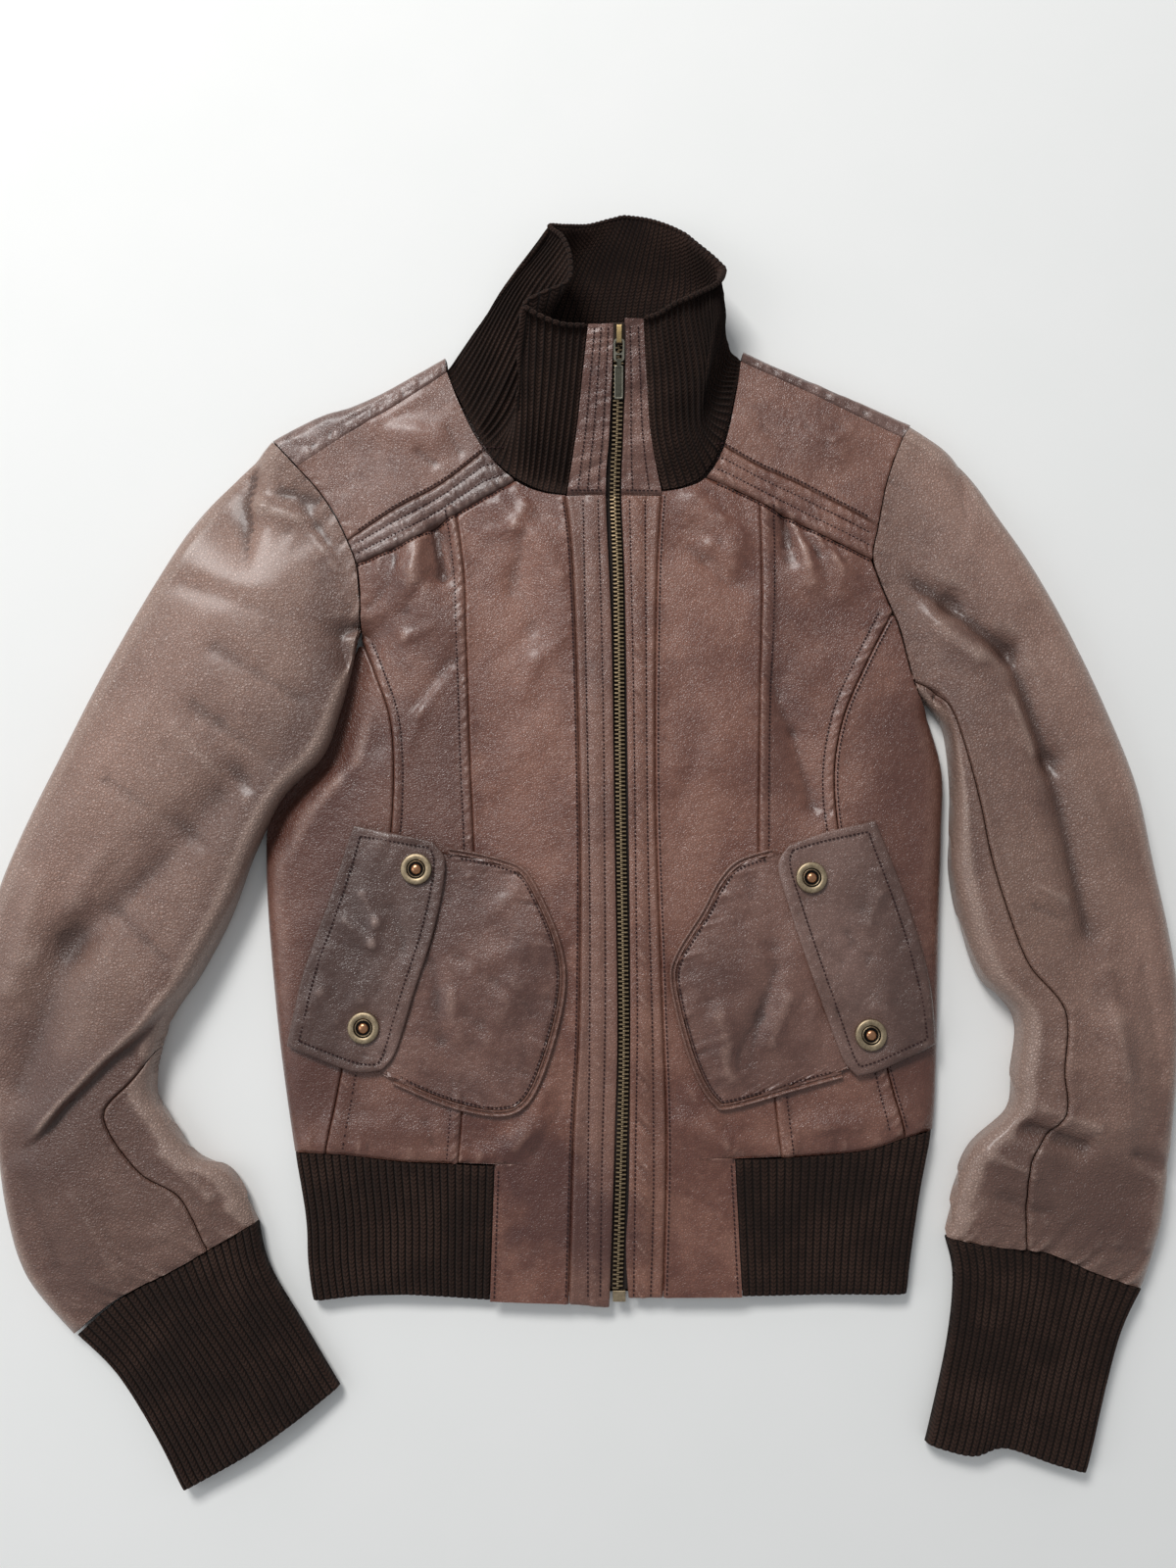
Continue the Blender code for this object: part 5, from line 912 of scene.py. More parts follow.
def shares(length, pitch=PITCH, close=True):
    """Places from 0 to 1, a pitch apart, and bunched at both ends if asked."""
    if not close:
        return np.linspace(0.0, 1.0, max(int(length / pitch), 2) + 1)
    inner = np.linspace(CLOSE[-1], length - CLOSE[-1], max(int((length - 2 * CLOSE[-1]) / pitch), 1) + 1)
    ends = np.array(CLOSE[:-1])
    return np.concatenate([ends, inner, length - ends[::-1]]) / length


def cut_between(left, right, low, high, us, vs, step_at=None):
    """A panel's points between two lines that run up and two that run across."""

    def across(u, y):
        return mix(left(y) + SEAM / 2, right(y) - SEAM / 2, u)

    def meet(edge, gap):
        y = edge(across(us, np.full_like(us, NECK_Y / 2)))
        for _ in range(14):
            y = edge(across(us, y)) + gap
        return y[None, :]

    bottom, top = meet(low, SEAM / 2), meet(high, -SEAM / 2)
    if step_at is None:
        y = mix(bottom, top, vs[:, None])
    else:
        lower = vs[vs < 0.16] / vs[vs < 0.16].max()
        upper = (vs[vs >= 0.16] - vs[vs >= 0.16].min()) / (1.0 - vs[vs >= 0.16].min())
        y = np.concatenate([mix(bottom, step_at - 0.3, lower[:, None]),
                            mix(step_at + 0.3, top, upper[:, None])])
    return across(us[None, :], y), y


def lay(place_xy, skin=body_skin):
    x, y = place_xy
    return np.stack([x, y, skin(x, y)], axis=-1)


def stepped(above, below, level):
    return lambda y: np.where(y > level, above.x(y), below.x(y))


# %% Panels of the front
def body_sheet(node, points, **more):
    """A panel of the body's plain leather, on the back panel unless told otherwise."""
    sheet(node, "leather", BODY_LEATHER, points, LEATHER, **{"rests": ["back_panel"], **more})


def level(height):
    return lambda x: np.full_like(x, height)


US = {"centre": shares(66.0), "middle": shares(56.0), "side": shares(46.0), "placket": shares(23.0, 1.6)}
TALL, MIDDLE_TALL, SIDE_TALL = shares(480.0, 1.6), shares(375.0, 1.6), shares(300.0, 1.8)
spot = cut_between(stepped(PRINCESS_LEFT, RIB_SEAM_LEFT, 77.2), PLACKET_LEFT.x, HEM_LOW.y,
                   lambda x: np.where(x > -62.0, NECK_LEFT.y(x), BAND_LOW_LEFT.y(x)), US["centre"], TALL,
                   77.2)
body_sheet("front_centre_left", lay(spot))
spot = cut_between(PLACKET_RIGHT.x, stepped(PRINCESS_RIGHT, RIB_SEAM_RIGHT, 80.3), HEM_LOW.y,
                   lambda x: np.where(x < 56.0, NECK_RIGHT.y(x), BAND_LOW_RIGHT.y(x)), US["centre"], TALL,
                   80.3)
body_sheet("front_centre_right", lay(spot))
spot = cut_between(lambda y: np.where(y > 389.0, ARMHOLE_LEFT.x(y) + 0.5, CURVE_LEFT.x(y)), PRINCESS_LEFT.x,
                   HEM_RIB_TOP.y, BAND_LOW_LEFT.y, US["middle"], MIDDLE_TALL)
body_sheet("front_middle_left", lay(spot), grey=0.12)
spot = cut_between(PRINCESS_RIGHT.x,
                   lambda y: np.where(y > 405.0, ARMHOLE_RIGHT.x(y) - 0.5, CURVE_RIGHT.x(y)),
                   HEM_RIB_TOP.y, BAND_LOW_RIGHT.y, US["middle"], MIDDLE_TALL)
body_sheet("front_middle_right", lay(spot), grey=0.08)
spot = cut_between(lambda y: np.where(y > UNDERARM_Y, ARMHOLE_LEFT.x(y), SIDE_LEFT.x(y)),
                   lambda y: CURVE_LEFT.x(y) - SEAM, HEM_RIB_TOP.y, level(385.0),
                   US["side"], SIDE_TALL)
body_sheet("front_side_left", lay(spot), grey=0.1)
spot = cut_between(lambda y: CURVE_RIGHT.x(y) + SEAM,
                   lambda y: np.where(y > UNDERARM_Y, ARMHOLE_RIGHT.x(y) - 0.5, SIDE_RIGHT.x(y)),
                   HEM_RIB_TOP.y, level(402.0), US["side"], SIDE_TALL)
body_sheet("front_side_right", lay(spot), grey=0.1)


def placket_skin(x, y):
    """A placket rolls over at the zip and at the hem."""
    edge = np.minimum(np.abs(ZIP_EDGE_LEFT.off_x(x, y)), np.abs(ZIP_EDGE_RIGHT.off_x(x, y)))
    return body_skin(x, y) - 0.9 * np.exp(-edge / 0.8) - 0.9 * np.exp(-(y - HEM_LOW.y(x)) / 1.0)


to_neck = level(NECK_Y - 0.3)
spot = cut_between(PLACKET_LEFT.x, ZIP_EDGE_LEFT.x, HEM_LOW.y, to_neck, US["placket"], TALL)
body_sheet("placket_left", lay(spot, placket_skin), grey=0.3)
spot = cut_between(ZIP_EDGE_RIGHT.x, PLACKET_RIGHT.x, HEM_LOW.y, to_neck, US["placket"], TALL)
body_sheet("placket_right", lay(spot, placket_skin), tan=0.12)

# %% Yokes and their quilted bands
arm_low, arm_high = share(ARMHOLE_LEFT, (-164, 449)), share(ARMHOLE_LEFT, (-196, 495))
neck_band = share(NECK_LEFT, (-81, 506))
yoke = four_sided(BAND_TOP_LEFT, SHOULDER_SEAM_LEFT, part_of(ARMHOLE_LEFT, arm_low, arm_high),
             part_of(NECK_LEFT, neck_band, 0.0))
us, vs = np.meshgrid(shares(92.0), shares(62.0))
sheet("front_yoke_left", "leather", BODY_LEATHER, lay(yoke(us, vs)), LEATHER, rests=["back_yoke"], grey=0.35)
yoke_side = part_of(ARMHOLE_LEFT, share(ARMHOLE_LEFT, (-158.5, 434)), arm_low)
yoke_neck = part_of(NECK_LEFT, share(NECK_LEFT, (-62, 487)), neck_band)
band = four_sided(BAND_LOW_LEFT, BAND_TOP_LEFT, yoke_side, yoke_neck)
us, vs = np.meshgrid(shares(104.0, 1.5), shares(20.0, 1.1, False))
sheet("yoke_band_left", "grey_leather", GREY_LEATHER, lay(band(us, vs)), LEATHER, rests=["back_yoke"])
arm_low, arm_high = share(ARMHOLE_RIGHT, (160.5, 457)), share(ARMHOLE_RIGHT, (177.5, 514))
neck_band = share(NECK_RIGHT, (67, 508))
yoke = four_sided(BAND_TOP_RIGHT, part_of(SHOULDER_SEAM_RIGHT, 1.0, 0.0), part_of(NECK_RIGHT, neck_band, 0.0),
             part_of(ARMHOLE_RIGHT, arm_low, arm_high))
us, vs = np.meshgrid(shares(98.0), shares(56.0))
sheet("front_yoke_right", "leather", BODY_LEATHER, lay(yoke(us, vs)), LEATHER, rests=["back_yoke"], grey=0.15)
yoke_side = part_of(ARMHOLE_RIGHT, share(ARMHOLE_RIGHT, (157, 437)), arm_low)
yoke_neck = part_of(NECK_RIGHT, share(NECK_RIGHT, (56, 489)), neck_band)
band = four_sided(BAND_LOW_RIGHT, BAND_TOP_RIGHT, yoke_neck, yoke_side)
us, vs = np.meshgrid(shares(108.0, 1.5), shares(20.0, 1.1, False))
sheet("yoke_band_right", "grey_leather", BODY_LEATHER, lay(band(us, vs)), LEATHER, rests=["back_yoke"],
      grey=0.1)

# %% [markdown]
# The back lies flat on the table, so it is one plain panel with faint creases pressed upwards. Its
# yoke comes up over each shoulder and meets the front there, which is why a strip of it shows.

# %% Back and back yoke
BACK_SEAM_Y = 462.0
NECK_BACK = Line((-94, 562), (-66, 558), (-13, 554), (40, 557), (68, 562))


def resting(x, y):
    """The underside: flat on the table, with a few creases that lift off it."""
    return 0.55 * np.clip(noise(x, y, 30.0, 81, 2.0, 25.0) - 0.25, 0.0, 1.0) \
        + 0.25 * np.clip(noise(x, y, 9.0, 82, 2.5, 75.0) - 0.3, 0.0, 1.0)


spot = cut_between(lambda y: np.where(y > UNDERARM_Y, ARMHOLE_LEFT.x(y), SIDE_LEFT.x(y)) + 1.0,
                   lambda y: np.where(y > UNDERARM_Y, ARMHOLE_RIGHT.x(y), SIDE_RIGHT.x(y)) - 1.0,
                   HEM_RIB_TOP.y, level(BACK_SEAM_Y), shares(380.0, 5.0), shares(380.0, 5.0))
sheet("back_panel", "leather", BODY_LEATHER, lay(spot, resting), LEATHER, facing=-1)
TURNS = {"left": (SHOULDER_SEAM_LEFT, SHOULDER_EDGE_LEFT),
         "right": (part_of(SHOULDER_SEAM_RIGHT, 1.0, 0.0), part_of(SHOULDER_EDGE_RIGHT, 1.0, 0.0))}


def turn_grid(side, u, arc_steps=16, strip_steps=9):
    """From the table round the shoulder's fold and over its top to the seam."""
    seam_line, edge_line = TURNS[side]
    seam_at, edge_at = (line.at(mix(0.004, 0.996, u)) for line in (seam_line, edge_line))
    width = np.linalg.norm(edge_at - seam_at, axis=-1)
    out = (edge_at - seam_at) / width[:, None]
    top = body_height(seam_at[:, 0], seam_at[:, 1])
    radius = np.minimum(top / 2, width * 0.55)
    rows = []
    for angle in np.radians(np.linspace(-90.0, 90.0, arc_steps)):
        reach = width - radius + radius * math.cos(angle)
        rows.append((reach, top / 2 + top / 2 * math.sin(angle)))
    for t in np.linspace(0.0, 1.0, strip_steps)[1:]:
        rows.append((mix(width - radius, 0.8 * SEAM, t), top))
    grid = np.stack([np.concatenate([seam_at + out * reach[:, None], z[:, None]], axis=1)
                     for reach, z in rows])
    s = grid[..., 0] * 1.15
    off = np.linalg.norm(grid[..., :2] - seam_at[None], axis=-1)
    on_top = ease((grid[..., 2] / top - 0.6) / 0.3)
    wave = 0.7 * np.exp(-((off - 4.0) / 3.0) ** 2) * pucker(s, 85 + len(side), 7.0)
    wave += groove(off, 0.9, 0.9) + groove(off - 6.5, 0.5, 0.8)
    wave += 0.7 * crumple(grid[..., 0], grid[..., 1], 9.0, 87)
    grid[..., 2] += wave * on_top
    return grid


def yoke_flat(u, v):
    left = part_of(ARMHOLE_LEFT, share(ARMHOLE_LEFT, (-171, 463)), 1.0)
    right = part_of(ARMHOLE_RIGHT, share(ARMHOLE_RIGHT, (162, 463)), 1.0)
    ends = {side: turn_grid(side, np.array([0.0, 1.0]))[0] for side in TURNS}
    x0 = mix(left.at(np.array(0.0))[0] + 1.2, right.at(np.array(0.0))[0] - 1.2, u)
    t = np.clip(u * 3.0 - 1.0, 0.0, 1.0)
    x1 = mix(ends["left"][1, 0], ends["right"][0, 0], t)
    dip = np.sin(math.pi * t) ** 0.35
    y1 = mix(mix(ends["left"][1, 1], ends["right"][0, 1], t), NECK_BACK.y(x1) + 0.9, dip)
    for side, inside, local in (("left", u <= 1 / 3 + 1e-6, u * 3.0),
                                ("right", u >= 2 / 3 - 1e-6, u * 3.0 - 2.0)):
        edge_row = turn_grid(side, np.clip(local, 0.0, 1.0))[0]
        x1, y1 = np.where(inside, edge_row[:, 0], x1), np.where(inside, edge_row[:, 1], y1)
    v = v[:, None]
    bow = np.sin(math.pi * v)
    x = mix(x0[None], x1[None], v)
    y = mix(BACK_SEAM_Y + 0.3, y1[None], v)
    x[:, :1] = np.minimum(mix(x[:, :1], ARMHOLE_LEFT.x(y[:, :1]) + 1.2, bow), x[:, 1:2] - 0.4)
    x[:, -1:] = np.maximum(mix(x[:, -1:], ARMHOLE_RIGHT.x(y[:, -1:]) - 1.2, bow), x[:, -2:-1] + 0.4)
    grid = lay((x, y), resting)
    grid[-1, :, 2] = 0.0
    return grid


per_turn = 54
us = np.linspace(0.0, 1.0, 3 * per_turn + 1)
turned = [turn_grid("left", us[:per_turn + 1] * 3.0), turn_grid("right", us[2 * per_turn:] * 3.0 - 2.0)]
sheet("back_yoke", "grey_leather", GREY_LEATHER, yoke_flat(us, np.linspace(0.0, 1.0, 20)), LEATHER, facing=-1,
      extra=turned)


# %% [markdown]
# A sleeve is a flattened tube in two cuts. It is drawn as pairs of points on its two folded edges,
# with a crown height for each place along the arm. The left one bends at the elbow, where the upper
# arm's leather hangs over the forearm, and its inner edge lies on the body.

# %% The sleeves' plan and height
SLEEVE_ROUND = 9.0
SLEEVES = {
    "left": {
        "pairs": [
            ((-213.5, 513.5), (-158, 386)), ((-250, 475), (-160.5, 369)), ((-280, 427), (-166, 345)),
            ((-309, 371), (-176, 316)), ((-336, 312), (-199, 291)), ((-357, 262), (-214, 259)),
            ((-371, 218), (-227, 225)), ((-375, 182), (-246, 187)), ((-372, 148), (-264, 158)),
            ((-366, 114), (-271, 122)), ((-360, 80), (-262, 104)), ((-353, 45), (-246, 83)),
            ((-341, 12), (-224, 72)), ((-314, -20), (-209, 44))],
        "armhole": Line((-158, 386), (-156, 404), (-156.5, 420), (-158.5, 435), (-164.5, 450),
                        (-172, 465), (-183, 481), (-196, 495), (-213.5, 513.5)),
        "cuff_seam": Line((-209, 44), (-230, 32), (-254, 18), (-287, 1), (-312, -20)),
        "heights": Line((0, 18), (0.12, 24), (0.3, 29), (0.6, 29), (0.75, 25), (0.9, 20), (1, 14)),
        "front_seam": Line((0, -8), (0.55, -8), (0.66, 4), (0.74, 30), (0.86, 30), (1, 32)),
        "folds": [(-236, 494, -222, 472, 8, 3.0), (-222, 472, -198, 464, 8, 3.0),
                  (-214, 492, -196, 484, 10, -3.0), (-225, 300, -318, 205, 14, -5.0),
                  (-318, 205, -343, 126, 14, -5.0), (-290, 330, -345, 240, 20, 2.5),
                  (-330, 75, -300, 20, 12, 2.0)],
        "small_folds": [(-232, 490, -219, 470, 4, 1.6), (-219, 470, -194, 462, 4, 1.6),
                        (-205, 480, -185, 474, 4, -1.6), (-190, 470, -178, 448, 4, -1.4),
                        (-184, 452, -170, 430, 3, 1.3), (-262, 420, -200, 400, 7, -1.0),
                        (-240, 380, -190, 350, 6, -1.4), (-250, 345, -205, 312, 6, -1.6),
                        (-262, 330, -220, 290, 5, 1.4), (-300, 300, -240, 262, 6, -1.2),
                        (-262, 268, -310, 226, 7, 1.6), (-300, 255, -338, 196, 6, 1.2),
                        (-336, 240, -350, 180, 8, 1.5), (-290, 222, -262, 196, 5, -1.3),
                        (-280, 140, -270, 128, 4, -1.2), (-340, 70, -320, 20, 5, -1.2),
                        (-310, 60, -285, 14, 4, 1.2), (-262, 84, -236, 60, 4, 1.2)],
    },
    "right": {
        "pairs": [
            ((184.5, 524), (184, 352)), ((212, 502), (193, 344)), ((234, 468), (200, 331)),
            ((255, 434), (202, 312)), ((276, 393), (202, 290)), ((296, 346), (200.5, 268)),
            ((312, 300), (199.5, 245)), ((320, 255), (205, 214)), ((327, 215), (215, 185)),
            ((331, 175), (235, 161)), ((329, 135), (232, 129)), ((325, 103), (229, 108)),
            ((320, 68), (206, 87)), ((315, 40), (196.5, 64)), ((304, 6), (191, 35))],
        "armhole": Line((184, 352), (178.5, 368), (172, 396), (163, 419), (157, 438), (160.5, 457),
                        (167.5, 488), (177.5, 514), (184.5, 524)),
        "cuff_seam": Line((191, 35), (220, 30), (248, 27), (275, 16), (304, 6)),
        "heights": Line((0, 18), (0.12, 23), (0.3, 27), (0.6, 26), (0.8, 24), (0.92, 20), (1, 14)),
        "front_seam": Line((0, 9), (0.2, 17), (0.4, 24), (0.55, 27), (0.7, 26), (0.85, 33), (1, 46)),
        "folds": [(180, 425, 202, 409, 8, -4.0), (202, 409, 235, 379, 8, -4.5), (235, 379, 258, 311, 8, -4.0),
                  (258, 311, 276, 211, 9, -4.0), (186, 398, 215, 375, 7, 3.0), (236, 98, 268, 88, 6, -4.0),
                  (262, 78, 298, 62, 12, -3.0), (300, 84, 322, 76, 5, -2.5), (289, 158, 293, 104, 9, 3.0)],
        "small_folds": [(184, 420, 206, 404, 4, -1.8), (206, 404, 236, 376, 4, -1.6),
                        (236, 376, 256, 312, 4, -1.6), (256, 312, 274, 214, 4, -1.4),
                        (196, 412, 226, 392, 4, 1.5), (190, 470, 214, 452, 6, 1.2),
                        (204, 492, 226, 470, 6, -1.0), (216, 440, 244, 410, 7, 1.0),
                        (262, 380, 286, 330, 7, 1.2), (236, 348, 246, 318, 4, 1.2),
                        (246, 238, 262, 230, 3, 1.2), (244, 226, 262, 218, 3, -1.2),
                        (280, 292, 300, 230, 6, 1.1), (240, 100, 270, 90, 3, -1.8),
                        (246, 110, 276, 100, 4, 1.6), (214, 84, 240, 72, 4, 1.3),
                        (284, 190, 292, 130, 5, 1.4), (306, 190, 314, 130, 4, -1.0),
                        (220, 60, 250, 50, 4, -1.2)],
    },
}
BACK_SEAM_IN = 0.7
SLEEVE_SEAM = 0.5
ELBOW_EDGE = ((-258.0, 172.0), (-338.0, 92.0))


def sleeve_plan(spec, u, s):
    """A point of the sleeve seen from above: u from armhole to cuff, s from inner to outer edge."""
    outer = through([pair[0] for pair in spec["pairs"]], u)
    inner = through([pair[1] for pair in spec["pairs"]], u)
    arm, cuff = spec["armhole"], spec["cuff_seam"]
    u, t = u[..., None], s[..., None]
    at_arm = arm.at(s) - mix(arm.points[0], arm.points[-1], t)
    at_cuff = cuff.at(s) - mix(cuff.points[0], cuff.points[-1], t)
    return mix(inner, outer, t) + (1.0 - u) ** 3 * at_arm + u ** 4 * at_cuff


def sleeve_width(spec, u):
    inner, outer = (sleeve_plan(spec, u, np.full_like(u, end)) for end in (0.0, 1.0))
    return np.linalg.norm(inner - outer, axis=-1)


def elbow_overlap(x, y):
    """The upper arm's leather hangs over the forearm along a slanting edge."""
    (x0, y0), (x1, y1) = ELBOW_EDGE
    length = math.dist(*ELBOW_EDGE)
    along = ((x - x0) * (x1 - x0) + (y - y0) * (y1 - y0)) / length
    off = ((x - x0) * (y1 - y0) - (y - y0) * (x1 - x0)) / length
    off = off + 1.6 * noise(along, along * 0.0, 26.0, 91)
    ends = ease((along + 8.0) / 20.0) * ease((length + 8.0 - along) / 30.0)
    upper = ease(0.5 + off / 3.0)
    fade = np.where(off > 0, np.exp(-np.maximum(off, 0.0) / 28.0), np.exp(np.minimum(off, 0.0) / 16.0))
    roll = 0.9 * np.exp(-((off - 3.0) / 2.6) ** 2)
    return ends * (6.6 * fade * (2.0 * upper - 1.0) * 0.5 + roll)


def sleeve_floor(side, x, y):
    """What the sleeve lies on: the table, or the body's edge under the left sleeve."""
    if side == "right":
        return np.zeros_like(x)
    edge = np.where(y > UNDERARM_Y, ARMHOLE_LEFT.x(y), SIDE_LEFT.x(y))
    reach = ease((400.0 - y) / 14.0) * ease((y - 190.0) / 40.0)
    over = (np.maximum(body_height(x, y, 0.0), PRESSED) + 1.2) * np.where(y > 386.0, reach, 1.0)
    beside_body = ease(1.0 - (edge - x - 4.0) / 26.0) * (PRESSED + 1.2) * reach
    return np.where(y > 400.0, 0.0, np.where(x >= edge, over, beside_body))


def sleeve_creases(side, spec, x, y, u, s, d_seam):
    """Fine creases, puckers round the armhole and above the cuff, and the seam's groove."""
    turn = 55.0 if side == "left" else -62.0
    seed = 100 if side == "left" else 120
    total = 0.8 * noise(x, y, 46.0, seed) + 0.35 * crumple(x, y, 17.0, seed + 1, 2.2, turn)
    total += 0.13 * crumple(x, y, 7.0, seed + 2, 2.4, turn + 20.0) + folds(x, y, spec["small_folds"])
    total += 0.06 * crumple(x, y, 3.6, seed + 3, 1.5, turn)
    run = spec["armhole"].run[-1]
    near_arm = np.exp(-u * 520.0 / 13.0)
    total += near_arm * (1.1 * pucker(s * run, seed + 4, 9.5) - 0.1)
    near_cuff = np.exp(-(1.0 - u) * 560.0 / 17.0)
    total += near_cuff * (1.3 * pucker(s * 112.0 + 0.4 * u * 560.0, seed + 5, 10.0) - 0.8)
    total += 0.9 * np.exp(-((1.0 - u) * 560.0 - 24.0) ** 2 / 90.0) * crumple(x, y, 9.0, seed + 6, 2.0, 5.0)
    wave = pucker(u * 540.0, seed + 7, 7.5)
    total += groove(d_seam, 1.3, 0.9) + (0.45 + 0.35 * wave) * np.exp(-((np.abs(d_seam) - 3.0) / 2.2) ** 2)
    return total


def sleeve_skin(side, u, r):
    """A point of the sleeve. r runs round it in millimetres, from the inner edge over the top."""
    spec = SLEEVES[side]
    width = sleeve_width(spec, u)
    on_top = (r >= 0.0) & (r <= width)
    s = np.clip(np.where(r < 0, -r, np.where(r <= width, r, 2 * width - r)) / width, 0.0, 1.0)
    inward = np.minimum(s, 1.0 - s) * width
    edge = rounded(inward, SLEEVE_ROUND)
    place_xy = sleeve_plan(spec, u, s)
    x, y = place_xy[..., 0], place_xy[..., 1]
    floor = sleeve_floor(side, x, y)
    crown = spec["heights"].y(u) * (0.86 + 0.14 * (1.0 - (2 * s - 1.0) ** 2))
    crown = crown + folds(x, y, spec["folds"])
    if side == "left":
        crown = crown + elbow_overlap(x, y)
    at_seam = (1.0 - ease(u / 0.14)) * ease(s / 0.06)
    crown = mix(crown, body_height(x, y), at_seam)
    d_seam = r - spec["front_seam"].y(u)
    fine = sleeve_creases(side, spec, x, y, u, s, np.where(on_top, d_seam, 40.0))
    crown = np.maximum(crown, floor + 9.0)
    waist = floor + np.minimum(0.45 * (crown - floor), 8.5)
    soft = ease(inward / 7.0)
    above = waist + (crown - waist) * edge + fine * (0.15 + 0.85 * soft)
    below = waist - (waist - floor) * edge + np.where(floor < 0.5, resting(x, y), 0.0) * soft
    return np.stack([x, y, np.where(on_top, above, below)], axis=-1)


def sleeve_grid(side, kind, down, around):
    """The upper or the under cut of a sleeve, from seam to seam."""
    spec = SLEEVES[side]
    b = down[:, None]
    u = mix(0.0008, 0.9993, b) + 0.0 * around[None, :]
    for _ in range(2):
        width = sleeve_width(spec, u)
        seam_at = spec["front_seam"].y(u)
        if kind == "upper":
            far_side = width * (2.0 - BACK_SEAM_IN) - SLEEVE_SEAM / 2
            r = mix(seam_at + SLEEVE_SEAM / 2, far_side, around[None, :])
        else:
            r = mix(SLEEVE_SEAM / 2 - width * BACK_SEAM_IN, seam_at - SLEEVE_SEAM / 2, around[None, :])
        s = np.clip(np.abs(r) / width, 0.0, 1.0)
        u = mix(0.0008, 0.9993, b) + 0.004 * (1.0 - b) * (1.0 - s)
    return sleeve_skin(side, u, r)


# %% Sleeves
DOWN = shares(540.0, 2.9)
for side in ("left", "right"):
    for kind, length in (("upper", 176.0), ("under", 112.0)):
        grid = sleeve_grid(side, kind, DOWN, shares(length, 2.7))
        pale_side = ease((noise(grid[..., 0], grid[..., 1], 60.0, 131) + 0.2) / 0.9)
        outer = 0.25 + 0.35 * pale_side
        sheet(f"sleeve_{kind}_{side}", "leather", SLEEVE_LEATHER, grid, LEATHER,
              rests=["front_side_left"] if side == "left" else [],
              facing=1 if side == "left" else -1, grey=outer, tan=0.12 * pale_side)


# %% [markdown]
# Each pocket is a rounded bag that lies on the front, edged with a doubled rim. A wide flap with
# turned edges closes its side opening, and two ring snaps hold the flap. The bag is drawn between the
# line under its flap and its rim; the flap is a four-sided piece.

# %% Pockets
FLAP_THICK = 1.8
POCKET_LAY = 0.8
RIM_WIDTH = 4.2
POCKETS = {
    "left": {
        "edge": Line((-131, 122.5), (-102, 110.5), (-74, 104), (-56.5, 107), (-45, 122), (-34, 155),
                     (-29.5, 184), (-34, 209), (-46.5, 237), (-55, 249), (-66, 254), (-84, 258.5),
                     (-99, 261)),
        "under_flap": Line((-184, 146), (-177, 190), (-167, 230), (-157, 268)),
        "puff": (-84, 178),
        "bottom": Line((-193, 145), (-176, 138), (-153, 130), (-137, 131)),
        "top": Line((-156.5, 274), (-133, 269.5), (-109, 264.5)),
        "left": Line((-193, 145), (-184, 189), (-171, 228), (-156.5, 274)),
        "right": Line((-137, 131), (-129, 142), (-119, 175), (-109, 207), (-103, 235), (-102, 254),
                      (-109, 264.5)),
        "snaps": ((-118.5, 248), (-148, 155.5)),
    },
    "right": {
        "edge": Line((132, 126), (108, 119.5), (66, 108), (56, 111), (47, 124), (38.5, 147),
                     (31, 181), (34, 198), (49.5, 223), (60, 242), (72, 254), (92, 260.5)),
        "under_flap": Line((175, 146), (172, 182), (163, 226), (148, 270)),
        "puff": (82, 180),
        "bottom": Line((140, 127.5), (154, 131), (172, 139), (187, 146)),
        "top": Line((102, 262), (122.5, 269.5), (154, 277)),
        "left": Line((140, 127.5), (132, 137), (123, 161), (110.5, 197), (101.5, 226), (95.5, 250),
                     (102, 262)),
        "right": Line((187, 146), (185, 175), (177.5, 209), (168.5, 238), (154, 277)),
        "snaps": ((115, 243), (148, 151.5)),
    },
}
POCKET_FOLDS = [(-75, 150, -60, 178, 9, 1.6), (-66, 225, -50, 205, 8, 1.5), (92, 200, 74, 140, 9, -2.0),
                (60, 160, 66, 128, 7, 1.8), (-178, 170, -168, 200, 7, 1.2)]
POCKET_CREASES = [
    (-109, 193, -103, 148, 5, -1.3), (-95, 198, -53, 169, 4, -1.0), (-91, 165, -69, 151, 6, -1.2),
    (-84, 190, -60, 200, 6, 1.0), (-98, 176, -92, 150, 5, 1.1), (-60, 235, -74, 222, 4, 0.9),
    (-52, 140, -64, 150, 4, 0.9), (94, 190, 84, 162, 4, -1.3), (84, 162, 70, 133, 4, -1.3),
    (91, 146, 101, 172, 4.5, 1.6), (115, 169, 112, 149, 4.5, 1.4), (64, 236, 76, 226, 4, 0.9),
    (48, 200, 64, 192, 5, 0.9), (52, 170, 70, 176, 5, -0.9), (74, 212, 86, 196, 4, 0.9),
]
FLAP_CREASES = [
    (-150, 233, -142, 217, 4, 1.5), (-142, 217, -144, 204, 4, 1.3), (-160, 217, -144, 204, 4, 1.2),
    (-132, 225, -124, 200, 5, -1.0), (-160, 190, -150, 172, 5, 1.0), (-172, 176, -164, 160, 4, 1.0),
    (155, 233, 148, 216, 4, 1.3), (136, 210, 146, 196, 5, -1.0), (160, 190, 156, 168, 5, 1.0),
    (130, 186, 138, 170, 4, 0.9),
]


def pocket_base(x, y, detail=0.0):
    puff = 0.0
    for spec in POCKETS.values():
        cx, cy = spec["puff"]
        puff = puff + 3.5 * np.exp(-((x - cx) ** 2 + (y - cy) ** 2) / 36.0 ** 2)
    return body_height(x, y, detail) + POCKET_LAY + LEATHER + puff + folds(x, y, POCKET_FOLDS)


def flap_base(x, y):
    return pocket_base(x, y) + 0.4 + FLAP_THICK * 1.3


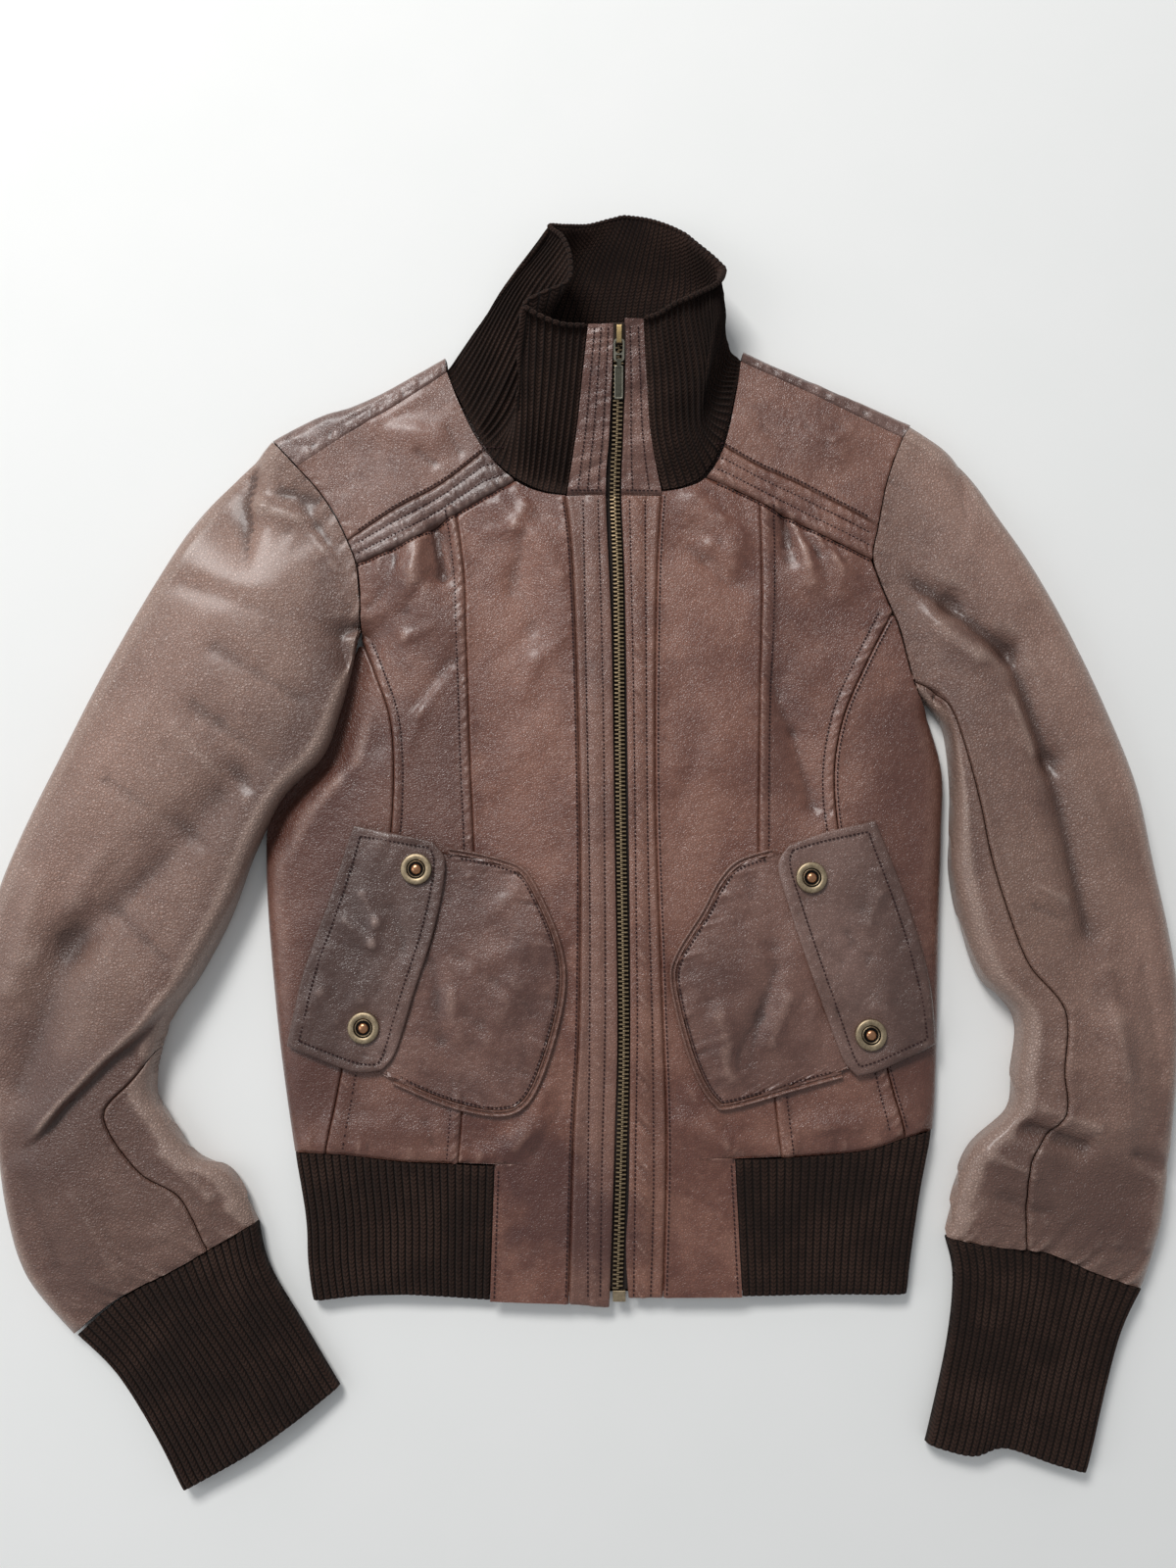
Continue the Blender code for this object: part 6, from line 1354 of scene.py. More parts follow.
def beside(spec, t, distance):
    """A point of a pocket's edge, moved in towards the middle of the pocket."""
    edge = spec["edge"]
    a, b = edge.at(t - 0.012), edge.at(t + 0.012)
    length = np.linalg.norm(b - a, axis=-1)
    turn = 1.0 if edge.points[0, 0] < 0 else -1.0
    here = edge.at(t)
    x = here[..., 0] - turn * (b[..., 1] - a[..., 1]) / length * distance
    y = here[..., 1] + turn * (b[..., 0] - a[..., 0]) / length * distance
    return x, y


def bag_relief(x, y, d, s, seed):
    """Puckers that run in from the rim, fading towards the middle of the bag."""
    wave = pucker(s, seed, 11.0)
    total = np.exp(-np.maximum(d - 1.0, 0.0) / 8.0) * 0.7 * wave + groove(d - 1.0, 0.6, 0.8)
    total += folds(x, y, POCKET_CREASES) + 0.5 * crumple(x, y, 15.0, seed + 1, 2.0, 70.0)
    return total + 0.14 * crumple(x, y, 5.0, seed + 2, 1.5, 20.0) + 0.5 * noise(x, y, 24.0, seed + 3)


def rim_profile(across):
    """Two rolled rims with a groove between them, over the width of the pocket's edge."""
    stops = (0.0, 0.15, 0.5, 1.1, 1.7, 2.15, 2.5, 2.8, 3.2, 3.7, 4.05, 4.2)
    tall = (0.5, 1.35, 2.2, 2.55, 2.2, 1.4, 0.95, 1.4, 1.95, 2.0, 1.5, 0.9)
    return np.interp(across, stops, tall)


FLAP_PLANS = {}
for side, spec in POCKETS.items():
    seed = 150 if side == "left" else 170
    v = shares(290.0, 2.0, False)[:, None]
    u = np.concatenate([shares(96.0, 2.0, False)[:-3], np.array((0.965, 0.975, 0.985, 0.993, 1.0))])[None, :]
    start = spec["under_flap"].at(v + 0.0 * u)
    end_x, end_y = beside(spec, v + 0.0 * u, RIM_WIDTH + 0.4)
    x, y = mix(start[..., 0], end_x, u), mix(start[..., 1], end_y, u)
    reach = np.hypot(end_x - start[..., 0], end_y - start[..., 1])
    d = (1.0 - u) * reach
    z = np.maximum(pocket_base(x, y, 0.5) + bag_relief(x, y, d, v * 290.0, seed), body_skin(x, y) + 1.9)
    grid = np.stack([x, y, z], axis=-1)
    facing = 1 if side == "left" else -1
    sheet(f"pocket_{side}", "leather", POCKET_LEATHER, grid, LEATHER, rests=[f"front_middle_{side}"],
          facing=facing, grey=0.05)
    across = np.linspace(0.0, RIM_WIDTH, 17)[None, :]
    v = shares(330.0, 1.6, False)[:, None]
    x, y = beside(spec, v + 0.0 * across, across)
    wavy = 1.0 + 0.1 * pucker(v * 300.0 + across, seed + 5, 6.0)
    low = np.maximum(body_height(x, y, 0.5) + POCKET_LAY, body_skin(x, y) + 0.3)
    grid = np.stack([x, y, low + rim_profile(across) * wavy], axis=-1)
    sheet(f"pocket_piping_{side}", "leather", POCKET_LEATHER, grid, 0.8, rests=[f"front_middle_{side}"],
          facing=-facing, tan=0.1)
    plan = four_sided(spec["bottom"], spec["top"], spec["left"], spec["right"], inset=0.0)
    u, v = np.meshgrid(shares(54.0, 1.6), shares(138.0, 1.6))
    x, y = plan(u, v)
    FLAP_PLANS[side] = plan
    wide = np.linalg.norm(spec["left"].at(v) - spec["right"].at(v), axis=-1)
    high = np.linalg.norm(spec["bottom"].at(u) - spec["top"].at(u), axis=-1)
    d = np.minimum(np.minimum(u, 1.0 - u) * wide, np.minimum(v, 1.0 - v) * high)
    along = np.where(np.minimum(u, 1.0 - u) * wide < np.minimum(v, 1.0 - v) * high, v * 138.0, u * 54.0)
    relief = 1.2 * rounded(d, 1.6) - 1.2 + groove(d - 6.0, 0.35, 0.9)
    relief += 0.12 * np.exp(-((d - 3.2) / 1.9) ** 2) * (1.0 + 1.5 * pucker(along, seed + 6, 7.0))
    relief += 0.3 * np.exp(-np.maximum(d - 6.5, 0.0) / 5.0) * pucker(along, seed + 7, 9.0) * (d > 6.0)
    loose = folds(x, y, FLAP_CREASES) + 0.5 * crumple(x, y, 12.0, seed + 8, 1.8, 60.0)
    loose += 0.5 * noise(x, y, 20.0, seed + 9) + 0.13 * crumple(x, y, 4.5, seed + 10)
    for a, b in spec["snaps"]:
        near = np.exp(-(((x - a) ** 2 + (y - b) ** 2) / 12.5 ** 2) ** 3)
        loose = loose * (1.0 - near) - 0.45 * near
    z = np.maximum(flap_base(x, y) + relief + loose * ease(d / 4.0), body_skin(x, y) + 2.2)
    sheet(f"pocket_flap_{side}", "grey_leather", GREY_LEATHER, np.stack([x, y, z], axis=-1), FLAP_THICK,
          rests=[f"pocket_{side}"], grey=0.2)


# %% [markdown]
# Rib knit is wavy in section: a rib every 4 mm, rounded on top and pinched between. A sine raised
# to a low power gives that section. The cuffs and the hem are folded tubes with plain undersides.
# The stand collar is one curved sheet, with ribs on both faces.

# %% Cuffs
RIB_PITCH = 4.0
RIB_HEIGHT = 1.1
CUFF_HEIGHT = 11.5
CUFF_ROUND = 5.0
PER_RIB = 6


def rib(phase):
    """Section of a rib, from 0 in the gap to 1 on its top."""
    return np.abs(np.sin(math.pi * phase)) ** 0.6


CUFFS = {
    "left": (Line((-159.5, -48), (-185, -67.5), (-212, -85.5), (-248, -105)),
             Line((-209, 44), (-230, 32), (-254, 18), (-287, 1), (-312, -20)),
             Line((-159.5, -48), (-181.5, -13.5), (-202, 19), (-209, 44)),
             Line((-248, -105), (-264, -76), (-288, -42), (-312, -20))),
    "right": (Line((176, -79), (201, -85), (220, -81), (248, -90), (268, -95)),
              Line((191, 35), (220, 30), (248, 27), (275, 16), (304, 6)),
              Line((176, -79), (190, -25), (195, 13), (191, 35)),
              Line((268, -95), (282, -46), (292, -16), (304, 6))),
}
for side, lines in CUFFS.items():
    plan = four_sided(*lines, inset=0.25)
    v = shares(105.0, 3.4)[:, None]
    middle = [np.array(plan(np.array([[end]]), np.array([[0.5]]))).reshape(2) for end in (0.0, 1.0)]
    ribs = round(math.dist(*middle) / RIB_PITCH)
    top = np.linspace(0.0, 1.0, ribs * PER_RIB + 1)
    below = np.concatenate([np.linspace(1.0, 1.06, 5)[1:], np.linspace(1.06, 1.94, 14)[1:],
                            np.linspace(1.94, 2.0, 5)[1:]])
    turn = np.concatenate([top, below])[None, :]
    s = np.where(turn <= 1.0, turn, 2.0 - turn) + 0.0 * v
    width = np.linalg.norm(np.stack(plan(0 * v, v)) - np.stack(plan(0 * v + 1.0, v)), axis=0)
    x, y = plan(s, v + 0.0 * s)
    edge = rounded(np.minimum(s, 1.0 - s) * width, CUFF_ROUND)
    waist = 0.45 * CUFF_HEIGHT
    soft = 1.2 * noise(x, y, 40.0, 191) + 0.6 * crumple(x, y, 22.0, 192, 2.0, 60.0)
    mouth = -1.6 * np.exp(-v * 105.0 / 3.0)
    raised = RIB_HEIGHT * rib(turn * ribs) + mouth + soft * edge + 0.12 * noise(x, y, 5.0, 193)
    up = waist + (CUFF_HEIGHT - waist) * edge + raised * np.clip(edge, 0.3, 1.0)
    down_z = waist - waist * edge
    z = np.where(turn <= 1.0, up, down_z)
    grid = np.stack([x, y, z], axis=-1)
    plain = np.stack([x, y, np.where(turn <= 1.0, waist + (CUFF_HEIGHT - waist) * edge, down_z)], axis=-1)
    sheet(f"cuff_{side}", "knit", KNIT_FINISH, grid, KNIT_WALL, smooth=plain, phase=turn * ribs,
          facing=-1 if side == "left" else 1, rests=[f"sleeve_upper_{side}"])

# %% Hem
BACK_HEM_LOW = Line((-176, -1), (0, 2), (168, 3))
v = shares(76.0, 3.0)[:, None]
side_y = mix(0.0, 80.0, v)
left, right = SIDE_LEFT.x(side_y), SIDE_RIGHT.x(side_y + 8.0 * v)
seam_left, seam_right = RIB_SEAM_LEFT.x(side_y) - SEAM, RIB_SEAM_RIGHT.x(side_y) + SEAM
ribs_left, ribs_right = 26, 24
pieces, phases = [], []
for face, t in (("left", np.linspace(1.0, 0.0, ribs_left * PER_RIB + 1)),
                ("back", np.concatenate([np.linspace(0.0, 0.03, 5)[1:], np.linspace(0.03, 0.97, 30)[1:],
                                         np.linspace(0.97, 1.0, 5)[1:]])),
                ("right", np.linspace(1.0, 0.0, ribs_right * PER_RIB + 1)[1:])):
    t = t[None, :]
    spans = {"left": (left, seam_left), "back": (left, right), "right": (seam_right, right)}[face]
    x = mix(spans[0], spans[1], t)
    edge = rounded(np.minimum(x - left, right - x), 6.0)
    low = (BACK_HEM_LOW if face == "back" else HEM_LOW).y(x) + 0.3
    y = mix(low, HEM_RIB_TOP.y(x) - SEAM, v)
    crown = CROWN.y(y) - 0.6 - 1.6 * np.exp(-v * 76.0 / 3.0) + 0.8 * noise(x, y, 40.0, 201) * edge
    waist = 0.45 * crown
    if face == "back":
        z = waist - waist * edge
    else:
        count = ribs_left if face == "left" else ribs_right
        ribbed = RIB_HEIGHT * rib(t * count) * np.clip(edge, 0.3, 1.0) + 0.12 * noise(x, y, 5.0, 202)
        z = waist + (crown - waist) * edge + ribbed
        z = z - 0.8 * np.exp(-(1.0 - v) * 76.0 / 2.0)
    pieces.append(np.stack([x, y, z], axis=-1))
    phases.append(t * {"left": ribs_left, "back": 88, "right": ribs_right}[face])
sheet("hem_rib", "knit", KNIT_FINISH, np.concatenate(pieces, axis=1), KNIT_WALL, rests=["back_panel"],
      facing=-1, phase=np.concatenate(phases, axis=1))

# %% Collar
COLLAR_RINGS = np.array([
    [(-30, 477.6, 17.2), (-45.8, 480.4, 17), (-61.4, 488, 16.8), (-72.2, 497, 16.4), (-80, 507, 15.8),
     (-86.8, 519.6, 15), (-95, 535.4, 13.5), (-105, 560, 9), (-94, 564, 2), (-66, 559.5, 0.6),
     (-13, 555.5, 0.4), (40, 558.5, 0.6), (67, 564, 2), (79, 567, 9), (75, 545.6, 13.5),
     (67.2, 514.4, 15.8), (55.2, 491.8, 16.8), (42.6, 483.4, 17), (28.5, 480.3, 17.2)],
    [(-24, 513.5, 26), (-41, 513.5, 27), (-58, 521, 27), (-61, 527, 22), (-62, 534, 17),
     (-75, 543, 17), (-85, 556, 16), (-91, 580, 11), (-79, 594, 4), (-51, 594.5, 2.5),
     (-9.5, 592.5, 2), (33, 594.5, 2.5), (58.5, 588, 5), (71.5, 574, 12), (61, 547, 20),
     (56, 523, 26), (45, 513, 28), (32.5, 510.5, 27), (21.5, 511, 26)],
    [(-20, 548.5, 35), (-37, 546.5, 36), (-57, 554, 36), (-52, 566, 31), (-45, 579, 26),
     (-50, 592, 24), (-60, 603, 22), (-68, 613, 17), (-51, 621, 9), (-35.5, 625, 6.5),
     (-1.5, 627, 6), (37, 624, 8), (60, 614, 15), (69, 595.5, 24), (63.5, 570, 34),
     (55, 552, 37), (42, 547.5, 37), (30, 546, 36), (18.5, 546, 35)],
    [(-17, 574, 42), (-35, 574, 44), (-55, 584, 45), (-44, 593, 43), (-29, 602, 40),
     (-28, 619, 38), (-33, 633, 36), (-40.5, 643, 32), (-31, 647, 25), (-17, 650, 20),
     (11, 656, 18), (38, 646, 21), (56, 630, 29), (66, 612, 37), (61, 599.5, 43),
     (48, 592, 45), (36, 586, 45), (25.5, 579.5, 43.5), (16.5, 577, 42.5)],
], dtype=float)


def collar_surface(u, v):
    """Points of the collar's outer face: u round it, v from the neck seam to the rim."""
    rings = np.stack([through(ring, u) for ring in COLLAR_RINGS])
    place_v = np.clip(v, 0.0, 1.0) * 3.0
    k = np.minimum(place_v.astype(int), 2)
    f = (place_v - k)[:, None, None]
    return bend(rings[np.maximum(k - 1, 0)], rings[k], rings[k + 1], rings[np.minimum(k + 2, 3)], f)


fine_u = np.linspace(0.0, 1.0, 1201)
run = runs(collar_surface(fine_u, np.array([0.4]))[0])
ribs = round(run[-1] / RIB_PITCH)
turn = np.linspace(0.002, 0.998, ribs * PER_RIB + 1)
u = np.interp(turn * run[-1], run, fine_u)
v = np.concatenate([[0.004, 0.012, 0.025], np.linspace(0.045, 0.965, 20), [0.985, 1.0]])
plain = collar_surface(u, v)
away = normals(plain)
clear = ease((plain[..., 2] - 3.0) / 4.0) * ease(v / 0.12)[:, None]
wavy = 0.9 * noise(turn[None, :] * run[-1], v[:, None] * 90.0, 38.0, 211)
wavy = wavy + 0.5 * crumple(turn[None, :] * run[-1], v[:, None] * 90.0, 20.0, 212, 1.0)
rim = -0.8 * np.exp(-(1.0 - v) * 95.0 / 1.6)[:, None]
grid = plain + away * (RIB_HEIGHT * 0.8 * rib(turn * ribs)[None, :] * clear + wavy * clear + rim)[..., None]
flipped = grid - 2 * away * (grid - plain)
outward = np.sign(np.mean((plain[10, :60] - plain[10].mean(axis=0)) * away[10, :60]))
grid = grid if outward > 0 else flipped
grid[..., 2] = np.maximum(grid[..., 2], 0.0)
sheet("collar_rib", "knit", KNIT_FINISH, grid, KNIT_WALL, rests=["back_yoke"], smooth=plain,
      facing=1 if outward > 0 else -1, phase=turn[None, :] * ribs)
edge = np.stack([np.convolve(np.pad(grid[-1, :, k], 3, mode="edge"), np.ones(7) / 7,
                             mode="valid") for k in range(3)], axis=-1)
heading = np.gradient(edge, axis=0)
heading /= np.linalg.norm(heading, axis=1, keepdims=True)
aside = np.cross(heading, (0.0, 0.0, 1.0))
aside /= np.linalg.norm(aside, axis=1, keepdims=True)
upward = np.cross(aside, heading)
angle = np.linspace(0.0, 2 * math.pi, 13)[:, None, None]
thick = (1.15 + 0.4 * rib(turn * ribs)) * ease(np.minimum(turn, 1.0 - turn) / 0.006) + 0.02
roll = edge[None] + thick[None, :, None] * (np.cos(angle) * aside[None] + np.sin(angle) * upward[None])
uv = np.stack([np.broadcast_to(turn * run[-1], roll.shape[:2]), angle[..., 0] * thick[None, :]], axis=-1)
place("collar_roll", skin_mesh("collar_roll", [(roll, uv, {"phase": turn[None, :] * ribs, "rise": 0.0})]),
      "knit", KNIT_FINISH).data.shade_smooth()

# %% Strips beside the zip on the collar
left_edge = Line((-30, 477), (-24, 513.5), (-20, 548.5), (-17, 574))
right_edge = Line((28.5, 478), (21.5, 511), (18.5, 546), (16.5, 577))
us, vs = shares(16.0, 1.3), shares(98.0, 1.5)
spot = cut_between(left_edge.x, ZIP_EDGE_LEFT.x, level(NECK_Y + SEAM),
                   level(574.5), us, vs)
sheet("collar_strip_left", "leather", POCKET_LEATHER, lay(spot, strip_skin), LEATHER, rests=["zip_tape_left"])
spot = cut_between(ZIP_EDGE_RIGHT.x, right_edge.x, level(NECK_Y + SEAM),
                   level(577.5), us, vs)
sheet("collar_strip_right", "leather", POCKET_LEATHER, lay(spot, strip_skin), LEATHER,
      rests=["zip_tape_right"])


# %% [markdown]
# The zip has woven tapes below the leather and a chain of small brass teeth. One tooth is a little
# block with a wider head. It is copied along the zip's middle line, left and right in turn, and all
# the teeth of a side are one joined mesh.

# %% Zip tapes and teeth
def front_base(x, y):
    low = body_height(x, np.minimum(y, NECK_Y), 0.0)
    return low + COLLAR_SLOPE * np.maximum(y - NECK_Y, 0.0)


def copies(name, template, faces, places, axes, slot, material, body=JACKET):
    """Many copies of a small closed form, joined in one mesh. axes are their side, along and up."""
    count, corners = len(places), len(template)
    points = places[:, None, :] + np.einsum("kj,njd->nkd", template, axes)
    index = np.array([face + (face[-1],) * (4 - len(face)) for face in faces])
    data = bpy.data.meshes.new(name)
    polygons = [tuple(dict.fromkeys((row + n * corners).tolist())) for n in range(count) for row in index]
    data.from_pydata(((points.reshape(-1, 3) - HOME) * MM).tolist(), [], polygons)
    data.uv_layers.new(name="cloth")
    data.shade_smooth()
    data.set_sharp_from_angle(angle=math.radians(50.0))
    return place(name, data, slot, material, body)


def rings_form(sections):
    """A closed form through four-cornered sections: (along, half width, low, high) each."""
    template = [(w, along, z) for along, half, low, high in sections
                for w, z in ((-half, low), (half, low), (half, high), (-half, high))]
    faces = [(0, 1, 2, 3), tuple(len(template) - k for k in (1, 2, 3, 4))]
    for k in range(len(sections) - 1):
        for j in range(4):
            a, b = 4 * k + j, 4 * k + (j + 1) % 4
            faces.append((a, a + 4, b + 4, b))
    return np.array(template), faces


TOOTH, TOOTH_FACES = rings_form([(-3.3, 0.28, 0.2, 1.2), (-2.9, 0.42, 0.0, 1.9), (-1.0, 0.42, 0.0, 2.1),
                                 (-0.3, 0.42, 0.0, 2.2), (0.4, 0.46, 0.1, 2.1), (0.8, 0.3, 0.4, 1.6)])
TOOTH_PITCH = 2.5
teeth_run = np.arange(7.0, 564.0, TOOTH_PITCH)
for side, way in (("left", -1.0), ("right", 1.0)):
    x_out = np.array((12.0, 9.0, 6.0, 3.5, 2.0, 1.0, 0.25))
    y = np.linspace(6.0, 574.0, 230)[:, None]
    x = ZIP_MIDDLE.x(y) + way * x_out[None, :]
    tape = front_base(x, y + 0.0 * x) - LEATHER * 1.05 - 1.05 + 0.25 * np.exp(-(x_out / 2.5) ** 2)
    sheet(f"zip_tape_{side}", "tape", TAPE_FINISH, np.stack([x, y + 0.0 * x, tape], axis=-1), 0.7,
          rests=["back_panel"], facing=1 if side == "left" else -1)
    y = teeth_run + (TOOTH_PITCH / 2 if side == "right" else 0.0)
    x = ZIP_MIDDLE.x(y)
    z = front_base(x, y) - LEATHER - 1.0
    along = np.stack([ZIP_MIDDLE.x(y + 1) - ZIP_MIDDLE.x(y - 1), np.full_like(y, 2.0),
                      front_base(x, y + 1) - front_base(x, y - 1)], axis=-1)
    along /= np.linalg.norm(along, axis=1, keepdims=True)
    across = np.stack([np.full_like(y, 1.0), np.zeros_like(y), np.zeros_like(y)], axis=-1) * -way
    up = np.cross(-way * across, along)
    copies(f"zip_teeth_{side}", TOOTH, TOOTH_FACES, np.stack([x, y, z], axis=-1),
           np.stack([along, across, up], axis=1), "brass", ZIP_BRASS)
print("teeth on each side:", len(teeth_run))


# %% [markdown]
# A topstitch is a short loop of thread that dips into the leather at both ends. Its rows follow the
# seams at a pitch of 2.5 mm. They lie on the same surface that the panels were made with.

# %% Stitches
STITCH_PITCH = 2.5
ROW_STEP = 0.6           # between the points that a row of stitches is worked out from
STITCH, STITCH_FACES = rings_form([(-0.82, 0.2, -0.5, -0.1), (-0.4, 0.40, -0.3, 0.48),
                                   (0.4, 0.40, -0.3, 0.48), (0.82, 0.2, -0.5, -0.1)])


def stitch_places(path, above):
    """Places and directions of the stitches along a path on a surface."""
    along = runs(path)
    goals = np.arange(STITCH_PITCH / 2, along[-1], STITCH_PITCH)
    places = np.stack([np.interp(goals, along, path[:, k]) for k in range(3)], axis=-1)
    ups = np.stack([np.interp(goals, along, above[:, k]) for k in range(3)], axis=-1)
    heading = np.stack([np.interp(goals + 0.6, along, path[:, k]) - np.interp(goals - 0.6, along, path[:, k])
                        for k in range(3)], axis=-1)
    heading /= np.maximum(np.linalg.norm(heading, axis=1, keepdims=True), 1e-9)
    aside = np.cross(heading, ups)
    aside /= np.maximum(np.linalg.norm(aside, axis=1, keepdims=True), 1e-9)
    return places, np.stack([aside, heading, np.cross(aside, heading)], axis=1)


def on_skin(x, y, skin, lift=0.28):
    z = skin(x, y)
    slope_x = (skin(x + 0.6, y) - skin(x - 0.6, y)) / 1.2
    slope_y = (skin(x, y + 0.6) - skin(x, y - 0.6)) / 1.2
    return np.stack([x, y, z + lift], axis=-1), np.stack([-slope_x, -slope_y, np.ones_like(x)], axis=-1)


def up_rows(line, low, high, offset=0.0, skin=body_skin):
    """A row of stitches beside a line that runs up the jacket."""
    y = np.arange(low, high, ROW_STEP)
    slope = (line.x(y + 2.0) - line.x(y - 2.0)) / 4.0
    off = offset(y) if callable(offset) else offset
    return on_skin(line.x(y) + off * np.sqrt(1.0 + slope ** 2), y, skin)


def sew(name, rows, material=None):
    found = [stitch_places(*row) for row in rows]
    places = np.concatenate([row[0] for row in found])
    axes = np.concatenate([row[1] for row in found])
    copies(name, STITCH, STITCH_FACES, places, axes, "tape", material or THREAD)
    print(name, len(places), "stitches")


rows = []
for line, side, widths in ALLOWANCES:
    low, high = line.points[:, 1].min() + 2.0, line.points[:, 1].max() - 2.0
    rows.append(up_rows(line, low, high, lambda y, s=side, w=widths: s * (w.y(y) + 0.3)))
rows.append(up_rows(CURVE_RIGHT, 98.0, 400.0, 1.6))
rows += [up_rows(line, 2.0, 475.0) for line in PLACKET_ROWS]
rows += [up_rows(PLACKET_LEFT, 2.0, 474.0, -1.8), up_rows(PLACKET_RIGHT, 3.0, 477.0, 1.8)]
for low, top, start, end in ((BAND_LOW_LEFT, BAND_TOP_LEFT, -158.0, -68.0),
                             (BAND_LOW_RIGHT, BAND_TOP_RIGHT, 62.0, 156.0)):
    x = np.arange(start, end, ROW_STEP)
    for t in (1 / 3, 2 / 3):
        rows.append(on_skin(x, mix(low.y(x), top.y(x), t), body_skin))
    rows.append(on_skin(x, top.y(x) + 1.6, body_skin))
    rows.append(on_skin(x, low.y(x) - 1.9, body_skin))
rows.append(up_rows(RIB_SEAM_LEFT, 1.0, 74.0, 2.4))
rows.append(up_rows(RIB_SEAM_RIGHT, 4.0, 76.0, -2.4))
sew("stitches_front", rows)
rows = []
for side, spec in POCKETS.items():
    seed = 150 if side == "left" else 170
    t = np.linspace(0.02, 0.98, 500)
    x, y = beside(spec, t, RIM_WIDTH + 1.4)

    def bag_skin(a, b):
        return np.maximum(pocket_base(a, b, 0.5) + folds(a, b, POCKET_CREASES) * 0.8, body_skin(a, b) + 1.9)
    rows.append(on_skin(x, y, bag_skin))
    plan = FLAP_PLANS[side]
    wide, high = 54.0, 138.0
    a, b = 6.0 / wide, 6.0 / high
    loop = [(a, b), (1 - a, b), (1 - a, 1 - b), (a, 1 - b), (a, b)]
    for (u0, v0), (u1, v1) in zip(loop, loop[1:]):
        t = np.linspace(0.0, 1.0, 260)
        x, y = plan(mix(u0, u1, t), mix(v0, v1, t))
        rows.append(on_skin(x, y, lambda p, q: flap_base(p, q) + folds(p, q, FLAP_CREASES)))
sew("stitches_pockets", rows)
rows = []
for outer, inner, top, shares_of in ((left_edge, ZIP_EDGE_LEFT, 572.0, (0.27, 0.52, 0.8)),
                                     (right_edge, ZIP_EDGE_RIGHT, 574.0, (0.3, 0.72))):
    y = np.arange(480.0, top, ROW_STEP)
    for t in shares_of:
        rows.append(on_skin(mix(outer.x(y), inner.x(y), t), y, strip_skin))
for start, end in ((-28.0, -7.5), (6.0, 26.0)):
    x = np.arange(start, end, ROW_STEP)
    rows.append(on_skin(x, np.full_like(x, NECK_Y + 2.6), strip_skin))
sew("stitches_collar", rows)


# %% [markdown]
# The snaps are turned parts, like work from a lathe: a short outline is spun round an axis. A satin
# brass ring surrounds a black one, and a copper-gold dome sits in the middle.

# %% Snaps
SNAP_OUTLINE = [(0.0, 2.75), (1.0, 2.7), (1.9, 2.45), (2.6, 2.0), (2.95, 1.45), (3.05, 1.0), (3.5, 0.95),
                (4.25, 0.95), (4.4, 1.25), (4.7, 1.45), (5.0, 1.25), (5.1, 1.0), (5.5, 1.0), (5.65, 1.6),
                (5.95, 1.85), (7.2, 1.98), (8.3, 1.86), (8.9, 1.6), (9.15, 1.15), (9.2, 0.7), (9.2, 0.0)]
SNAP_STEPS = 56


def snap_mesh(name):
    """Spin the outline round its axis and close it below."""
    angles = np.linspace(0.0, 2 * math.pi, SNAP_STEPS, endpoint=False)
    points = [(0.0, 0.0, SNAP_OUTLINE[0][1])]
    for r, z in SNAP_OUTLINE[1:]:
        points += [(r * math.cos(a), r * math.sin(a), z) for a in angles]
    faces = [(0, 1 + k, 1 + (k + 1) % SNAP_STEPS) for k in range(SNAP_STEPS)]
    finish_of = [2] * SNAP_STEPS
    for j in range(len(SNAP_OUTLINE) - 2):
        radius = (SNAP_OUTLINE[j + 1][0] + SNAP_OUTLINE[j + 2][0]) / 2
        kind = 2 if radius < 3.0 else 1 if radius < 4.3 or 5.05 < radius < 5.6 else 0
        for k in range(SNAP_STEPS):
            a, b = 1 + j * SNAP_STEPS, 1 + (j + 1) * SNAP_STEPS
            n = (k + 1) % SNAP_STEPS
            faces.append((a + k, b + k, b + n, a + n))
            finish_of.append(kind)
    last = 1 + (len(SNAP_OUTLINE) - 2) * SNAP_STEPS
    faces.append(tuple(last + k for k in reversed(range(SNAP_STEPS))))
    finish_of.append(0)
    data = bpy.data.meshes.new(name)
    data.from_pydata([tuple(c * MM for c in p) for p in points], [], faces)
    data.uv_layers.new(name="cloth")
    data.shade_smooth()
    data.set_sharp_from_angle(angle=math.radians(60.0))
    return data, finish_of


for side, spec in POCKETS.items():
    for k, (x, y) in enumerate(spec["snaps"]):
        name = f"snap_{'upper' if k == 0 else 'lower'}_{side}"
        data, finish_of = snap_mesh(name + "_ring")
        thing = place(name + "_ring", data, "brass", BRASS)
        data.materials.append(BLACK_METAL)
        data.materials.append(COPPER)
        data.polygons.foreach_set("material_index", finish_of)
        low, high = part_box(name)
        px, py = np.array([x]), np.array([y])
        step = 6.4
        slope_x = float((flap_base(px + step, py) - flap_base(px - step, py))[0]) / (2 * step)
        slope_y = float((flap_base(px, py + step) - flap_base(px, py - step))[0]) / (2 * step)
        upward = Vector((-slope_x, -slope_y, 1.0)).normalized()
        middle = (Vector(low) + Vector(high)) / 2
        thing.matrix_world = Matrix.Translation(middle - upward * 1.15 * MM) \
            @ Vector((0, 0, 1)).rotation_difference(upward).to_matrix().to_4x4()
        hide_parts(name)
        print(name, "at", [round(c * 1000, 1) for c in middle])


# %% [markdown]
# The slider, the link and the tab keep their solid forms and get old metal. Two thin pieces add what
# the photograph shows on them: a bright bridge over the dark slider, and a raised rim round the tab's
# bare panel. Both follow the slope of the collar's front.

# %% Metal of the zip
for name, finish in (("zip_slider", DARK_METAL), ("zip_link", GREY_BRASS), ("zip_pull_tab", PANEL_BRASS),
                     ("zip_box", BRASS)):
    solid = bpy.data.objects[name] if name in bpy.data.objects else frame["nodes"][name]
    solid.material_slots[0].material = finish


